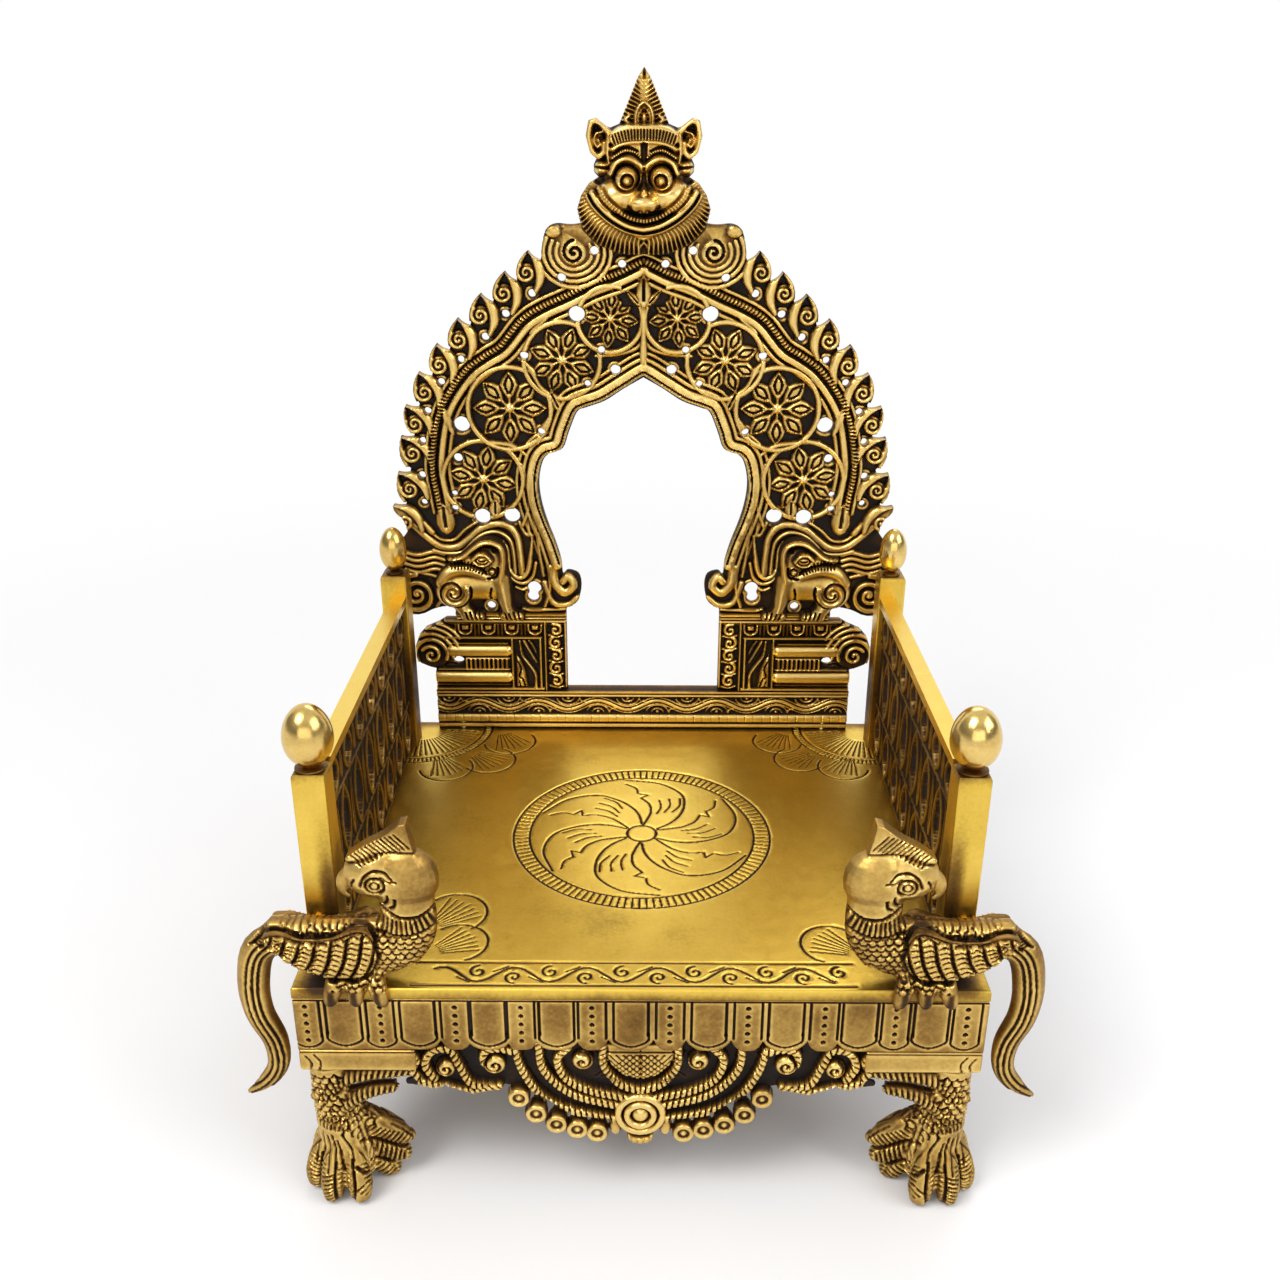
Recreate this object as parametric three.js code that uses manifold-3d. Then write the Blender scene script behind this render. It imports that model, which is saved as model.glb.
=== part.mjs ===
// A brass deity throne: a seat box on four paw legs, pierced side panels between posts with egg finials,
// a tall pierced back with a lion mask on top, and a bird on each front corner.
// Millimetres, +Z up, front towards -Y. The origin is on the floor under the middle of the seat box.
import * as THREE from "three";
import { mergeVertices } from "three/addons/utils/BufferGeometryUtils.js";
import Module from "manifold-3d";

const wasm = await Module();
wasm.setup();

// Seat box
const baseWidth = 200;
const baseDepth = 168;
const standHeight = 76;
const skirtHeight = 18.5;
const skirtThickness = 2;
const seatThickness = 3.5;
const lipRound = 1.2;
const rosetteRadius = 44.4;
const rosetteGroove = 0.8;
const rosetteGrooveDepth = 0.4;

// Clearances and small common sizes
const jointGap = 0.05;
const fitGap = 0.3;
const cutOverrun = 1;
const weldTolerance = 1e-3;

// Shares of this unit place every ornament
const unit = baseWidth / 2;

// Posts, finials, side panels and rails
const postSide = 9.5;
const postInset = 8;
const frontPostY = 17.5;
const rearPostInset = 17;
const frontPostHeight = 62;
const rearPostHeight = 70.5;
const postChamfer = 1.5;
const studRadius = 2;
const studLength = 9;
const nutAcrossFlats = 6;
const nutThickness = 3;
const nutClearance = 1.5;
const threadGap = 0.1;
const frontFinial = { width: 14.2, height: 19.5, neckRadius: 3 };
const rearFinial = { width: 10, height: 17.5, neckRadius: 2.4 };
const eggShare = 0.1;
const finialNeck = 1;
const finialPinRadius = 1.4;
const finialPinLength = 5;
const panelShift = 1.7;
const panelThickness = 2.6;
const panelEntry = 1.5;
const slotPitch = 18;
const slotHalfWidth = 4;
const railWidth = 5.5;
const railThickness = 3;
const railGroove = 1;
const railTop = 66.5;
const railSeamShare = 0.45;
const tenonLength = 9;

// Back
const sillDepth = 6.2;
const sillInset = 0.5;
const sillTopShare = 0.205;
const sillHalfShare = 0.816;
const pedestalTopShare = 0.51;
const backThickness = 3;
const backSetback = 1;
const backRelief = 1.4;
const tongueThickness = 1.6;
const tongueDepth = 3;
const screwRadius = 1.3;
const screwHeadRadius = 2.2;
const screwHeadHeight = 1.6;
const screwDepth = 9;
const screwPlaceShare = 0.88;
const rivetRadius = 1.1;
const rivetHeadRadius = 2.2;
const rivetHeadHeight = 1.1;
const rivetDepth = 1.8;
const rivetXShare = 0.1;
const rivetZShare = 1.94;
const maskPlate = 2.6;

// Apron and birds
const apronThickness = 2.4;
const apronRelief = 1.6;
const tabPitch = 10.45;
const tabDrop = 3.4;
const scallopHalf = 62.7;
const birdY = 5.5;
const birdStudShare = 0.8;
const birdStudY = 6;
const crestThickness = 3;

const brass = new THREE.Color(0.72, 0.55, 0.2);
const darkBrass = new THREE.Color(0.42, 0.29, 0.1);
const steel = new THREE.Color(0.6, 0.6, 0.6);

// Geometry helpers

const range = (count) => Array.from({ length: count }, (_, i) => i);
const point = (x, z) => new THREE.Vector2(x, z);
const fromShares = (shares, side = 1) => shares.map(([x, z]) => point(side * x * unit, z * unit));
const bothSides = (shares) => [...fromShares(shares), ...fromShares(shares, -1).reverse()];
const sides = [1, -1];
const acrossX = new THREE.Vector3(1, 0, 0);
const acrossY = new THREE.Vector3(0, 1, 0);

// A closed geometry as a solid that can be joined and cut.
function solid(geometry) {
  const plain = geometry.index ? geometry.toNonIndexed() : geometry.clone();
  plain.deleteAttribute("normal");
  plain.deleteAttribute("uv");
  const merged = mergeVertices(plain, weldTolerance);
  return new wasm.Manifold(
    new wasm.Mesh({
      numProp: 3,
      vertProperties: merged.attributes.position.array,
      triVerts: new Uint32Array(merged.index.array),
    }),
  );
}

function toGeometry(body) {
  const mesh = body.getMesh();
  return new THREE.BufferGeometry()
    .setAttribute("position", new THREE.BufferAttribute(mesh.vertProperties, 3))
    .setIndex(new THREE.BufferAttribute(mesh.triVerts, 1));
}

const join = (geometries) => geometries.map(solid).reduce((whole, next) => whole.add(next));
const subtract = (body, cutters) => cutters.reduce((whole, next) => whole.subtract(next), body);
const cutAway = (body, geometries) => subtract(body, geometries.map(solid));

function box(x0, x1, y0, y1, z0, z1) {
  const geometry = new THREE.BoxGeometry(x1 - x0, y1 - y0, z1 - z0);
  return geometry.translate((x0 + x1) / 2, (y0 + y1) / 2, (z0 + z1) / 2);
}

function extrusion(outline, depth, holes = []) {
  const prism = (line, length) => {
    const shape = new THREE.Shape(line);
    return new THREE.ExtrudeGeometry(shape, { depth: length, bevelEnabled: false });
  };
  const cutters = holes.map((hole) => prism(hole, depth + 2 * cutOverrun).translate(0, 0, -cutOverrun));
  const plate = prism(outline, depth);
  return holes.length ? toGeometry(cutAway(solid(plate), cutters)) : plate;
}

// An outline in X and Z, from its front face backwards.
function facePlate(outline, front, thickness, holes) {
  return extrusion(outline, thickness, holes)
    .rotateX(Math.PI / 2)
    .translate(0, front + thickness, 0);
}

// An outline in X and Y, from its lowest level upwards.
function floorPlate(outline, bottom, thickness, holes) {
  return extrusion(outline, thickness, holes).translate(0, 0, bottom);
}

// An outline in Y and Z, carried along X.
function sidePlate(outline, x0, x1, holes) {
  return extrusion(outline, x1 - x0, holes)
    .rotateX(Math.PI / 2)
    .rotateZ(Math.PI / 2)
    .translate(x0, 0, 0);
}

function circle(x, z, radius, count) {
  return range(count).map((i) => {
    const angle = (2 * Math.PI * i) / count;
    return point(x + radius * Math.cos(angle), z + radius * Math.sin(angle));
  });
}

const rectangle = (x0, x1, z0, z1) => [point(x0, z0), point(x1, z0), point(x1, z1), point(x0, z1)];

// A line moved sideways: to its left where the distance is positive.
function offsetLine(line, distance) {
  return line.map((at, i) => {
    const before = line[Math.max(i - 1, 0)];
    const after = line[Math.min(i + 1, line.length - 1)];
    const along = after.clone().sub(before).normalize();
    return point(at.x - along.y * distance, at.y + along.x * distance);
  });
}

const ribbon = (line, width) => [...offsetLine(line, width / 2), ...offsetLine(line, -width / 2).reverse()];

// A body through rings of equal count, closed at both ends, with its faces turned outwards.
function loft(rings) {
  const count = rings[0].length;
  const middle = (ring) => ring.reduce((sum, at) => sum.add(at), new THREE.Vector3()).divideScalar(count);
  const points = [...rings.flat(), middle(rings[0]), middle(rings[rings.length - 1])];
  const faces = [];
  range(rings.length - 1).forEach((level) => {
    range(count).forEach((i) => {
      const next = (i + 1) % count;
      const low = level * count;
      const high = low + count;
      faces.push([low + i, low + next, high + next], [low + i, high + next, high + i]);
    });
  });
  const last = (rings.length - 1) * count;
  range(count).forEach((i) => {
    const next = (i + 1) % count;
    faces.push([next, i, points.length - 2], [last + i, last + next, points.length - 1]);
  });
  const product = ([a, b, c]) => points[a].dot(points[b].clone().cross(points[c]));
  const volume = faces.reduce((sum, face) => sum + product(face), 0);
  const outward = volume < 0 ? faces.map((face) => [...face].reverse()) : faces;
  return new THREE.BufferGeometry().setFromPoints(points).setIndex(outward.flat());
}

// A tapering body along stations of [centre, half size along across, half size square to it].
function limb(stations, across, count) {
  const rings = stations.map(([centre, halfAcross, halfOther], i) => {
    const before = stations[Math.max(i - 1, 0)][0];
    const after = stations[Math.min(i + 1, stations.length - 1)][0];
    const along = after.clone().sub(before).normalize();
    const other = along.clone().cross(across).normalize();
    const level = other.clone().cross(along);
    return range(count).map((k) => {
      const angle = (2 * Math.PI * (k + 1 / 2)) / count;
      const reach = level.clone().multiplyScalar(halfAcross * Math.cos(angle));
      return centre.clone().add(reach).addScaledVector(other, halfOther * Math.sin(angle));
    });
  });
  return loft(rings);
}

// A limb in the XZ plane at a set depth, from rows of shares [x, z, half depth, half width].
function flatLimb(rows, depth, count) {
  const stations = rows.map(([x, z, halfDepth, halfWidth]) => [
    new THREE.Vector3(x * unit, depth, z * unit),
    halfDepth * unit,
    halfWidth * unit,
  ]);
  return limb(stations, acrossY, count);
}

// A swelling in relief: an ellipsoid from shares [x, z, half width, half height, depth].
function swelling([x, z, halfWidth, halfHeight, depth], y = 0) {
  const geometry = new THREE.SphereGeometry(1, 10, 6);
  geometry.scale(halfWidth * unit, depth * unit, halfHeight * unit);
  return geometry.translate(x * unit, y, z * unit);
}

const lathe = (profile, count) => new THREE.LatheGeometry(profile, count).rotateX(Math.PI / 2);

const rod = (radius, bottom, top, count) =>
  lathe([point(0, bottom), point(radius, bottom), point(radius, top), point(0, top)], count);

const smooth = (points, count) => new THREE.SplineCurve(points).getPoints(count);

function piece(name, body, color) {
  const geometry = body.isBufferGeometry ? body : toGeometry(body);
  const material = new THREE.MeshStandardMaterial({ color, roughness: 0.35, metalness: 1 });
  const mesh = new THREE.Mesh(geometry, material);
  mesh.name = name;
  return mesh;
}

function placed(mesh, x, y, z) {
  mesh.position.set(x, y, z);
  return mesh;
}

// The same body on the right and mirrored on the left, both placed from the middle plane.
function pair(name, body, color, x = 0, y = 0, z = 0) {
  const right = placed(piece(name + "_right", body, color), x, y, z);
  const left = placed(piece(name + "_left", body, color), -x, y, z);
  left.scale.x = -1;
  return [right, left];
}

function groupOf(children, x, y, z) {
  const made = new THREE.Group();
  made.add(...children);
  made.position.set(x, y, z);
  return made;
}

// Places shared by several pieces. Y counts back from the front face and Z up from the top of the skirts.

const postX = baseWidth / 2 - postInset;
const rearPostY = baseDepth - rearPostInset;
const panelX = postX - panelShift;
const birdStudX = birdStudShare * unit;
const sillTop = sillTopShare * unit;
const sillHalf = sillHalfShare * unit;
const pedestalTop = pedestalTopShare * unit;
const panelStart = frontPostY + postSide / 2 - panelEntry + fitGap;
const panelEnd = rearPostY - postSide / 2 + panelEntry - fitGap;
const panelTop = railTop - railThickness + railGroove;
const tenonPlaceShares = [0.3, 0.7];
const tenonYs = tenonPlaceShares.map((share) => panelStart + share * (panelEnd - panelStart));
const backFront = baseDepth - sillInset - sillDepth;
const plateFront = backFront + backSetback;
const tongueY = plateFront + backThickness / 2;
const tongueShares = [0.42, 0.62];
const screwY = backFront + screwHeadRadius + jointGap;
const screwX = screwPlaceShare * sillHalf;
const rivetX = rivetXShare * unit;
const rivetZ = rivetZShare * unit;

// Seat plate: a rounded front lip, an engraved circle round the middle, holes for the studs and screws,
// and slots for the panel tenons.
function seatPlate() {
  const half = baseWidth / 2;
  const slotHalf = panelThickness / 2 + fitGap;
  const slotReach = tenonLength / 2 + fitGap;
  const holes = sides.flatMap((side) => [
    circle(side * postX, frontPostY, studRadius + fitGap, 10),
    circle(side * postX, rearPostY, studRadius + fitGap, 10),
    circle(side * birdStudX, birdStudY, studRadius + fitGap, 10),
    circle(side * screwX, screwY, screwRadius + fitGap, 8),
    ...tenonYs.map((y) =>
      rectangle(side * panelX - slotHalf, side * panelX + slotHalf, y - slotReach, y + slotReach),
    ),
  ]);
  const behindLip = rectangle(-half, half, lipRound, baseDepth);
  const plate = floorPlate(behindLip, jointGap, seatThickness - jointGap, holes);
  const lipOutline = [
    point(lipRound + cutOverrun, jointGap),
    point(lipRound, jointGap),
    point(0, lipRound),
    point(0, seatThickness - lipRound),
    point(lipRound, seatThickness),
    point(lipRound + cutOverrun, seatThickness),
  ];
  const circled = (radius) => circle(0, baseDepth / 2, radius, 24);
  const floor = seatThickness - rosetteGrooveDepth;
  const inner = circled(rosetteRadius - rosetteGroove);
  const groove = floorPlate(circled(rosetteRadius), floor, rosetteGrooveDepth + cutOverrun, [inner]);
  return cutAway(join([plate, sidePlate(lipOutline, -half, half)]), [groove]);
}

// Skirts: a band with a scalloped lower edge, plain over the legs.
const notchShares = [
  [-0.5, 1],
  [-0.25, 0.75],
  [0, 0],
  [0.25, 0.75],
  [0.5, 1],
];

function skirt(halfLength, scallopedHalf) {
  const tabs = Math.round((2 * scallopedHalf) / tabPitch);
  const pitch = (2 * scallopedHalf) / tabs;
  const notches = range(tabs + 1).map((tab) => {
    const middle = -scallopedHalf + tab * pitch;
    const edge = notchShares.map(([along, down]) =>
      point(middle + along * pitch, tabDrop * (1 - down) - skirtHeight),
    );
    const [start, end] = [edge[0], edge[edge.length - 1]];
    return [...edge, point(end.x, end.y - cutOverrun), point(start.x, start.y - cutOverrun)];
  });
  return facePlate(rectangle(-halfLength, halfLength, -skirtHeight, 0), 0, skirtThickness, notches);
}

const faceSkirt = () => skirt(baseWidth / 2, scallopHalf);

function sideSkirt() {
  const halfLength = baseDepth / 2 - skirtThickness - jointGap;
  return skirt(halfLength, scallopHalf - (baseWidth - baseDepth) / 2)
    .rotateZ(Math.PI / 2)
    .translate(baseWidth / 2, baseDepth / 2, 0);
}

// Front apron: a carved pendant of bands, rings and scrolls, hung behind the tabs.
const apronShares = [
  [0.7, -0.01],
  [0.69, -0.27],
  [0.64, -0.345],
  [0.58, -0.31],
  [0.5, -0.345],
  [0.42, -0.335],
  [0.375, -0.37],
  [0.32, -0.43],
  [0.255, -0.47],
  [0.195, -0.49],
  [0.13, -0.505],
  [0.08, -0.5],
  [0.06, -0.525],
  [0.035, -0.52],
  [0.02, -0.56],
];
const ringShares = [
  [0.37, -0.37],
  [0.32, -0.43],
  [0.255, -0.47],
  [0.195, -0.49],
  [0.135, -0.505],
];
const ringRadiusShare = 0.036;
const medallionShares = { z: -0.43, radius: 0.065, boss: 0.033 };
const basketShares = [
  [0.1, -0.19],
  [0.085, -0.26],
  [0.045, -0.295],
];
const bandWidthShare = 0.045;
const bandShares = [
  [
    [0.155, -0.2],
    [0.15, -0.27],
    [0.1, -0.33],
    [0.03, -0.35],
  ],
  [
    [0.28, -0.2],
    [0.26, -0.28],
    [0.19, -0.35],
    [0.085, -0.385],
  ],
  [
    [0.39, -0.2],
    [0.36, -0.29],
    [0.29, -0.37],
    [0.19, -0.42],
    [0.085, -0.435],
  ],
];
const scrollShares = [
  [0.2, -0.235, 0.035],
  [0.415, -0.25, 0.04],
  [0.57, -0.25, 0.05],
];

function frontApron() {
  const back = skirtThickness + jointGap;
  const relief = (outline, height) => facePlate(outline, back - height, height + apronThickness / 2);
  const disc = (x, z, radius, count, height) => {
    const outline = circle(x * unit, z * unit, radius * unit, count);
    return relief(outline, height);
  };
  const striped = (band, side) => {
    const line = smooth(fromShares(band, side), 5);
    return relief(ribbon(line, bandWidthShare * unit), apronRelief);
  };
  const ornaments = sides.flatMap((side) => [
    ...ringShares.map(([x, z]) => disc(side * x, z, ringRadiusShare, 10, apronRelief)),
    ...bandShares.map((band) => striped(band, side)),
    ...scrollShares.map(([x, z, radius]) => disc(side * x, z, radius, 10, apronRelief)),
  ]);
  return join([
    facePlate(bothSides(apronShares), back, apronThickness),
    ...ornaments,
    relief(bothSides(basketShares), apronRelief),
    disc(0, medallionShares.z, medallionShares.radius, 16, skirtThickness),
    disc(0, medallionShares.z, medallionShares.boss, 12, skirtThickness + apronRelief / 2),
  ]);
}

// Legs: a corner bracket with two arms on each face, a shank and a clawed paw, open at the back.
// Rows count in from the side face and in from the front face, then give a height as a share of the stand,
// then half sizes.
const bracketShares = { reach: 0.34, bottom: -0.342, block: 0.15 };
const coreDepth = rearPostInset - nutAcrossFlats / Math.sqrt(3) - nutClearance;
const armDepthShare = 0.045;
const armShares = [
  [
    [0.07, -0.395, 0.034, 0.034],
    [0.15, -0.395, 0.028, 0.032],
    [0.23, -0.382, 0.026, 0.03],
    [0.3, -0.395, 0.018, 0.024],
  ],
  [
    [0.08, -0.553, 0.034, 0.034],
    [0.135, -0.507, 0.028, 0.032],
    [0.2, -0.48, 0.024, 0.028],
    [0.26, -0.467, 0.014, 0.02],
  ],
];
const shankShares = [
  [0.075, 0.075, -0.316, 0.065, 0.065],
  [0.07, 0.07, -0.447, 0.066, 0.066],
  [0.075, 0.075, -0.605, 0.075, 0.075],
  [0.09, 0.085, -0.711, 0.09, 0.085],
  [0.105, 0.1, -0.816, 0.105, 0.1],
  [0.11, 0.105, -0.921, 0.11, 0.105],
  [0.105, 0.105, -1.039, 0.105, 0.105],
];
const footShare = 0.1;
const toeAngles = [-66, -22, 22, 66].map((degrees) => THREE.MathUtils.degToRad(45 + degrees));
const toeShares = [
  [0.05, -0.789, 0.03],
  [0.1, -0.862, 0.036],
  [0.112, -0.947, 0.038],
  [0.108, -1.039, 0.034],
];
const heelShares = [
  [0.14, 0.13, -0.934, 0.06, 0.05],
  [0.2, 0.16, -0.895, 0.06, 0.06],
  [0.245, 0.18, -0.803, 0.045, 0.05],
  [0.25, 0.18, -0.697, 0.036, 0.04],
  [0.235, 0.17, -0.645, 0.018, 0.02],
];
const hollowShares = [
  [0.15, 0.15, -0.408, 0.03, 0.03],
  [0.16, 0.155, -0.553, 0.048, 0.05],
  [0.17, 0.17, -0.684, 0.05, 0.055],
  [0.165, 0.175, -0.816, 0.035, 0.05],
];

function leg() {
  const at = (inX, inY, z) => new THREE.Vector3((1 - inX) * unit, inY * unit, z * standHeight);
  const column = (rows) =>
    limb(
      rows.map(([inX, inY, z, halfX, halfY]) => [at(inX, inY, z), halfX * unit, halfY * unit]),
      acrossX,
      8,
    );
  const arm = (rows, across, place) =>
    limb(
      rows.map(([along, z, half, depth]) => [place(along, z), depth * unit, half * unit]),
      across,
      6,
    );
  const toe = (angle) => {
    const outX = Math.cos(angle);
    const outY = Math.sin(angle);
    const rows = toeShares.map(([reach, z, half]) => [
      at(footShare - reach * outX, footShare - reach * outY, z),
      half * unit,
      half * unit,
    ]);
    return limb(rows, new THREE.Vector3(outY, outX, 0), 6);
  };
  const { reach, bottom, block } = bracketShares;
  const inner = (1 - reach) * unit;
  const edge = -skirtHeight - jointGap;
  const low = bottom * standHeight;
  const behind = skirtThickness + jointGap;
  const arms = armShares.flatMap((rows) => [
    arm(rows, acrossY, (along, z) => at(along, armDepthShare, z)),
    arm(rows, acrossX, (along, z) => at(armDepthShare, along, z)),
  ]);
  const body = join([
    box(inner, unit, 0, skirtThickness, low, edge),
    box(unit - skirtThickness, unit, 0, reach * unit, low, edge),
    box((1 - block) * unit, unit, 0, block * unit, low, edge),
    box((1 - block) * unit, unit - behind, behind, coreDepth, low, -jointGap),
    ...arms,
    column(shankShares),
    column(heelShares),
    ...toeAngles.map(toe),
  ]);
  const floor = box(0, baseWidth, -unit, unit, -standHeight - unit, -standHeight);
  return cutAway(body, [column(hollowShares), floor]);
}

// Posts, from the seat upwards: a blind hole for the finial and a groove for the panel end.
function post(height, grooveSide) {
  const half = postSide / 2;
  const ring = (reach, z) => [
    new THREE.Vector3(reach, reach, z),
    new THREE.Vector3(-reach, reach, z),
    new THREE.Vector3(-reach, -reach, z),
    new THREE.Vector3(reach, -reach, z),
  ];
  const top = height - jointGap;
  const shaft = loft([ring(half, 0), ring(half, top - postChamfer), ring(half - postChamfer, top)]);
  const body = join([shaft, rod(studRadius, -studLength, cutOverrun, 10)]);
  const grooveHalf = panelThickness / 2 + fitGap;
  const grooveX = panelX - postX;
  const grooveReaches = [half - panelEntry, half + cutOverrun];
  const grooveEnds = grooveReaches.map((reach) => grooveSide * reach).sort((a, b) => a - b);
  return cutAway(body, [
    rod(finialPinRadius + fitGap, top - finialPinLength - fitGap, top + cutOverrun, 8),
    box(
      grooveX - grooveHalf,
      grooveX + grooveHalf,
      ...grooveEnds,
      -cutOverrun,
      panelTop - seatThickness - jointGap + fitGap,
    ),
  ]);
}

// Finials: an egg on a short neck, with a pin below.
function finial({ width, height, neckRadius }) {
  const levels = 8;
  const egg = range(levels)
    .slice(1)
    .map((i) => {
      const angle = (Math.PI * i) / levels;
      const z = finialNeck + ((height - finialNeck) * (1 - Math.cos(angle))) / 2;
      return point((width / 2) * Math.sin(angle) * (1 + eggShare * Math.cos(angle)), z);
    });
  return lathe(
    [
      point(0, -finialPinLength),
      point(finialPinRadius, -finialPinLength),
      point(finialPinRadius, 0),
      point(neckRadius, 0),
      point(neckRadius, finialNeck),
      ...egg,
      point(0, height),
    ],
    12,
  );
}

// Side panels: rows of pointed slots between the posts, with two tenons into the seat.
const slotRowShares = [
  { bottom: 0.06, top: 0.22, staggered: false },
  { bottom: 0.25, top: 0.47, staggered: true },
  { bottom: 0.5, top: 0.61, staggered: false },
];
const slotShares = [
  [0, 0],
  [0.75, 0.22],
  [1, 0.5],
  [0.75, 0.78],
  [0, 1],
  [-0.75, 0.78],
  [-1, 0.5],
  [-0.75, 0.22],
];

function sidePanel() {
  const bottom = seatThickness + jointGap;
  const middle = (panelStart + panelEnd) / 2;
  const columns = Math.floor((panelEnd - panelStart) / slotPitch);
  const slots = slotRowShares.flatMap((row) => {
    const count = row.staggered ? columns - 1 : columns;
    return range(count).map((i) => {
      const y = middle + (i - (count - 1) / 2) * slotPitch;
      return slotShares.map(([across, up]) =>
        point(y + across * slotHalfWidth, (row.bottom + up * (row.top - row.bottom)) * unit),
      );
    });
  });
  const half = panelThickness / 2;
  const plate = (outline, holes) => sidePlate(outline, panelX - half, panelX + half, holes);
  const tenon = (y) => {
    const reach = tenonLength / 2;
    return plate(rectangle(y - reach, y + reach, jointGap, bottom + cutOverrun));
  };
  return join([plate(rectangle(panelStart, panelEnd, bottom, panelTop), slots), ...tenonYs.map(tenon)]);
}

// Top rails: a flat bar grooved below for the panel's top edge. The right one is in two lengths.
function rail(start, end) {
  const half = railWidth / 2;
  const grooveHalf = panelThickness / 2 + fitGap;
  const bottom = railTop - railThickness;
  const outline = [
    point(half, bottom),
    point(half, railTop),
    point(-half, railTop),
    point(-half, bottom),
    point(-grooveHalf, bottom),
    point(-grooveHalf, panelTop + jointGap),
    point(grooveHalf, panelTop + jointGap),
    point(grooveHalf, bottom),
  ];
  return facePlate(outline, start, end - start);
}

const railStart = frontPostY + postSide / 2 + jointGap;
const railEnd = rearPostY - postSide / 2 - jointGap;
const railSeamY = railStart + railSeamShare * (railEnd - railStart);

// Sill: a moulding across the back of the seat, drilled for two screws and slotted for the pedestals.
const sillFaceShare = 0.15;
const sillRollShares = [
  [
    [0.5, 0.08],
    [0.5, 0.37],
    [0, 0.33],
    [0, 0.12],
  ],
  [
    [0.5, 0.82],
    [0.5, 1],
    [0, 1],
    [0, 0.86],
  ],
];

function tongueHalves(y, z0, z1, gap) {
  const [start, end] = tongueShares.map((share) => share * unit);
  const half = tongueThickness / 2 + gap;
  return [start - gap, end + gap, y - half, y + half, z0, z1];
}

function sill() {
  const bottom = seatThickness + jointGap;
  const rolls = sillRollShares.map((rows) => {
    const outline = rows.map(([back, up]) =>
      point(backFront + back * sillDepth, bottom + up * (sillTop - bottom)),
    );
    return sidePlate(outline, -sillHalf, sillHalf);
  });
  const face = backFront + sillFaceShare * sillDepth;
  const slot = box(...tongueHalves(tongueY, sillTop - tongueDepth - fitGap, sillTop + cutOverrun, fitGap));
  const screwHole = rod(screwRadius + threadGap, bottom - cutOverrun, screwDepth + fitGap, 8);
  const cuts = [slot, screwHole.translate(screwX, screwY, 0)];
  const mirrored = cuts.map((cut) => solid(cut).mirror([1, 0, 0]));
  const block = box(-sillHalf, sillHalf, face, backFront + sillDepth, bottom, sillTop);
  const body = cutAway(join([block, ...rolls]), cuts);
  return mirrored.reduce((whole, next) => whole.subtract(next), body);
}

// Pedestals: a block with a chain, a leaf panel, rolls and a frieze, and a volute on its outer side.
const pedestalShares = [
  [0.295, 0.51],
  [0.295, 0.205],
  [0.72, 0.205],
  [0.74, 0.235],
  [0.8, 0.255],
  [0.86, 0.285],
  [0.885, 0.34],
  [0.86, 0.395],
  [0.8, 0.415],
  [0.745, 0.4],
  [0.73, 0.45],
  [0.74, 0.51],
];
const pedestalBarShares = [
  [0.305, 0.36, 0.225, 0.45],
  [0.39, 0.5, 0.225, 0.245],
  [0.39, 0.5, 0.42, 0.44],
  [0.39, 0.41, 0.245, 0.42],
  [0.48, 0.5, 0.245, 0.42],
  [0.52, 0.7, 0.24, 0.29],
  [0.52, 0.7, 0.3, 0.35],
  [0.52, 0.7, 0.365, 0.405],
  [0.305, 0.72, 0.45, 0.475],
  [0.305, 0.73, 0.488, 0.51],
];
const leafShares = [
  [0.445, 0.26],
  [0.465, 0.31],
  [0.455, 0.38],
  [0.445, 0.405],
  [0.435, 0.38],
  [0.425, 0.31],
];
const voluteShares = { x: 0.81, z: 0.335, outer: 0.07, inner: 0.045, boss: 0.02 };
const pedestalHoleShares = [0.72, 0.33, 0.018];

function pedestal() {
  const toZ = (z) => Math.min(Math.max(z * unit, sillTop + jointGap), pedestalTop);
  const outline = pedestalShares.map(([x, z]) => point(x * unit, toZ(z)));
  const relief = (line, holes) => facePlate(line, plateFront - backSetback / 2, backSetback, holes);
  const bars = pedestalBarShares.map(([x0, x1, z0, z1]) =>
    relief(rectangle(x0 * unit, x1 * unit, toZ(z0), toZ(z1))),
  );
  const { x, z, outer, inner, boss } = voluteShares;
  const ring = (radius, count) => circle(x * unit, z * unit, radius * unit, count);
  const [holeX, holeZ, holeRadius] = pedestalHoleShares.map((share) => share * unit);
  const body = join([
    facePlate(outline, plateFront, backThickness),
    ...bars,
    relief(fromShares(leafShares)),
    relief(ring(outer, 14), [ring(inner, 10)]),
    relief(ring(boss, 8)),
    box(...tongueHalves(tongueY, sillTop - tongueDepth, sillTop + cutOverrun, 0)),
  ]);
  return cutAway(body, [
    facePlate(circle(holeX, holeZ, holeRadius, 8), backFront - cutOverrun, sillDepth + cutOverrun),
    box(...tongueHalves(tongueY, pedestalTop - tongueDepth - fitGap, pedestalTop + cutOverrun, fitGap)),
  ]);
}

// Arch: the pierced back plate, with a raised rim, a rope line, roundels, flames and wings.
const wingShares = [
  [0.295, 0.51],
  [0.715, 0.51],
  [0.73, 0.56],
  [0.8, 0.545],
  [0.86, 0.515],
  [0.93, 0.52],
  [0.98, 0.56],
  [0.99, 0.64],
  [0.975, 0.72],
  [0.93, 0.8],
  [0.885, 0.865],
  [0.9, 0.92],
];
const flameShares = [
  [0.93, 0.965, 0.865, 1.045],
  [0.9, 1.085, 0.83, 1.155],
  [0.88, 1.225, 0.83, 1.27],
  [0.855, 1.34, 0.8, 1.385],
  [0.8, 1.455, 0.75, 1.485],
  [0.73, 1.555, 0.69, 1.575],
  [0.65, 1.64, 0.6, 1.66],
  [0.565, 1.725, 0.515, 1.745],
  [0.478, 1.8, 0.43, 1.82],
  [0.39, 1.87, 0.335, 1.88],
];
const flameBulgeShare = 0.022;
const crownShares = [
  [0.345, 1.93],
  [0.3, 1.965],
  [0.2, 1.97],
  [0.12, 1.99],
  [0, 2.02],
];
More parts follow.
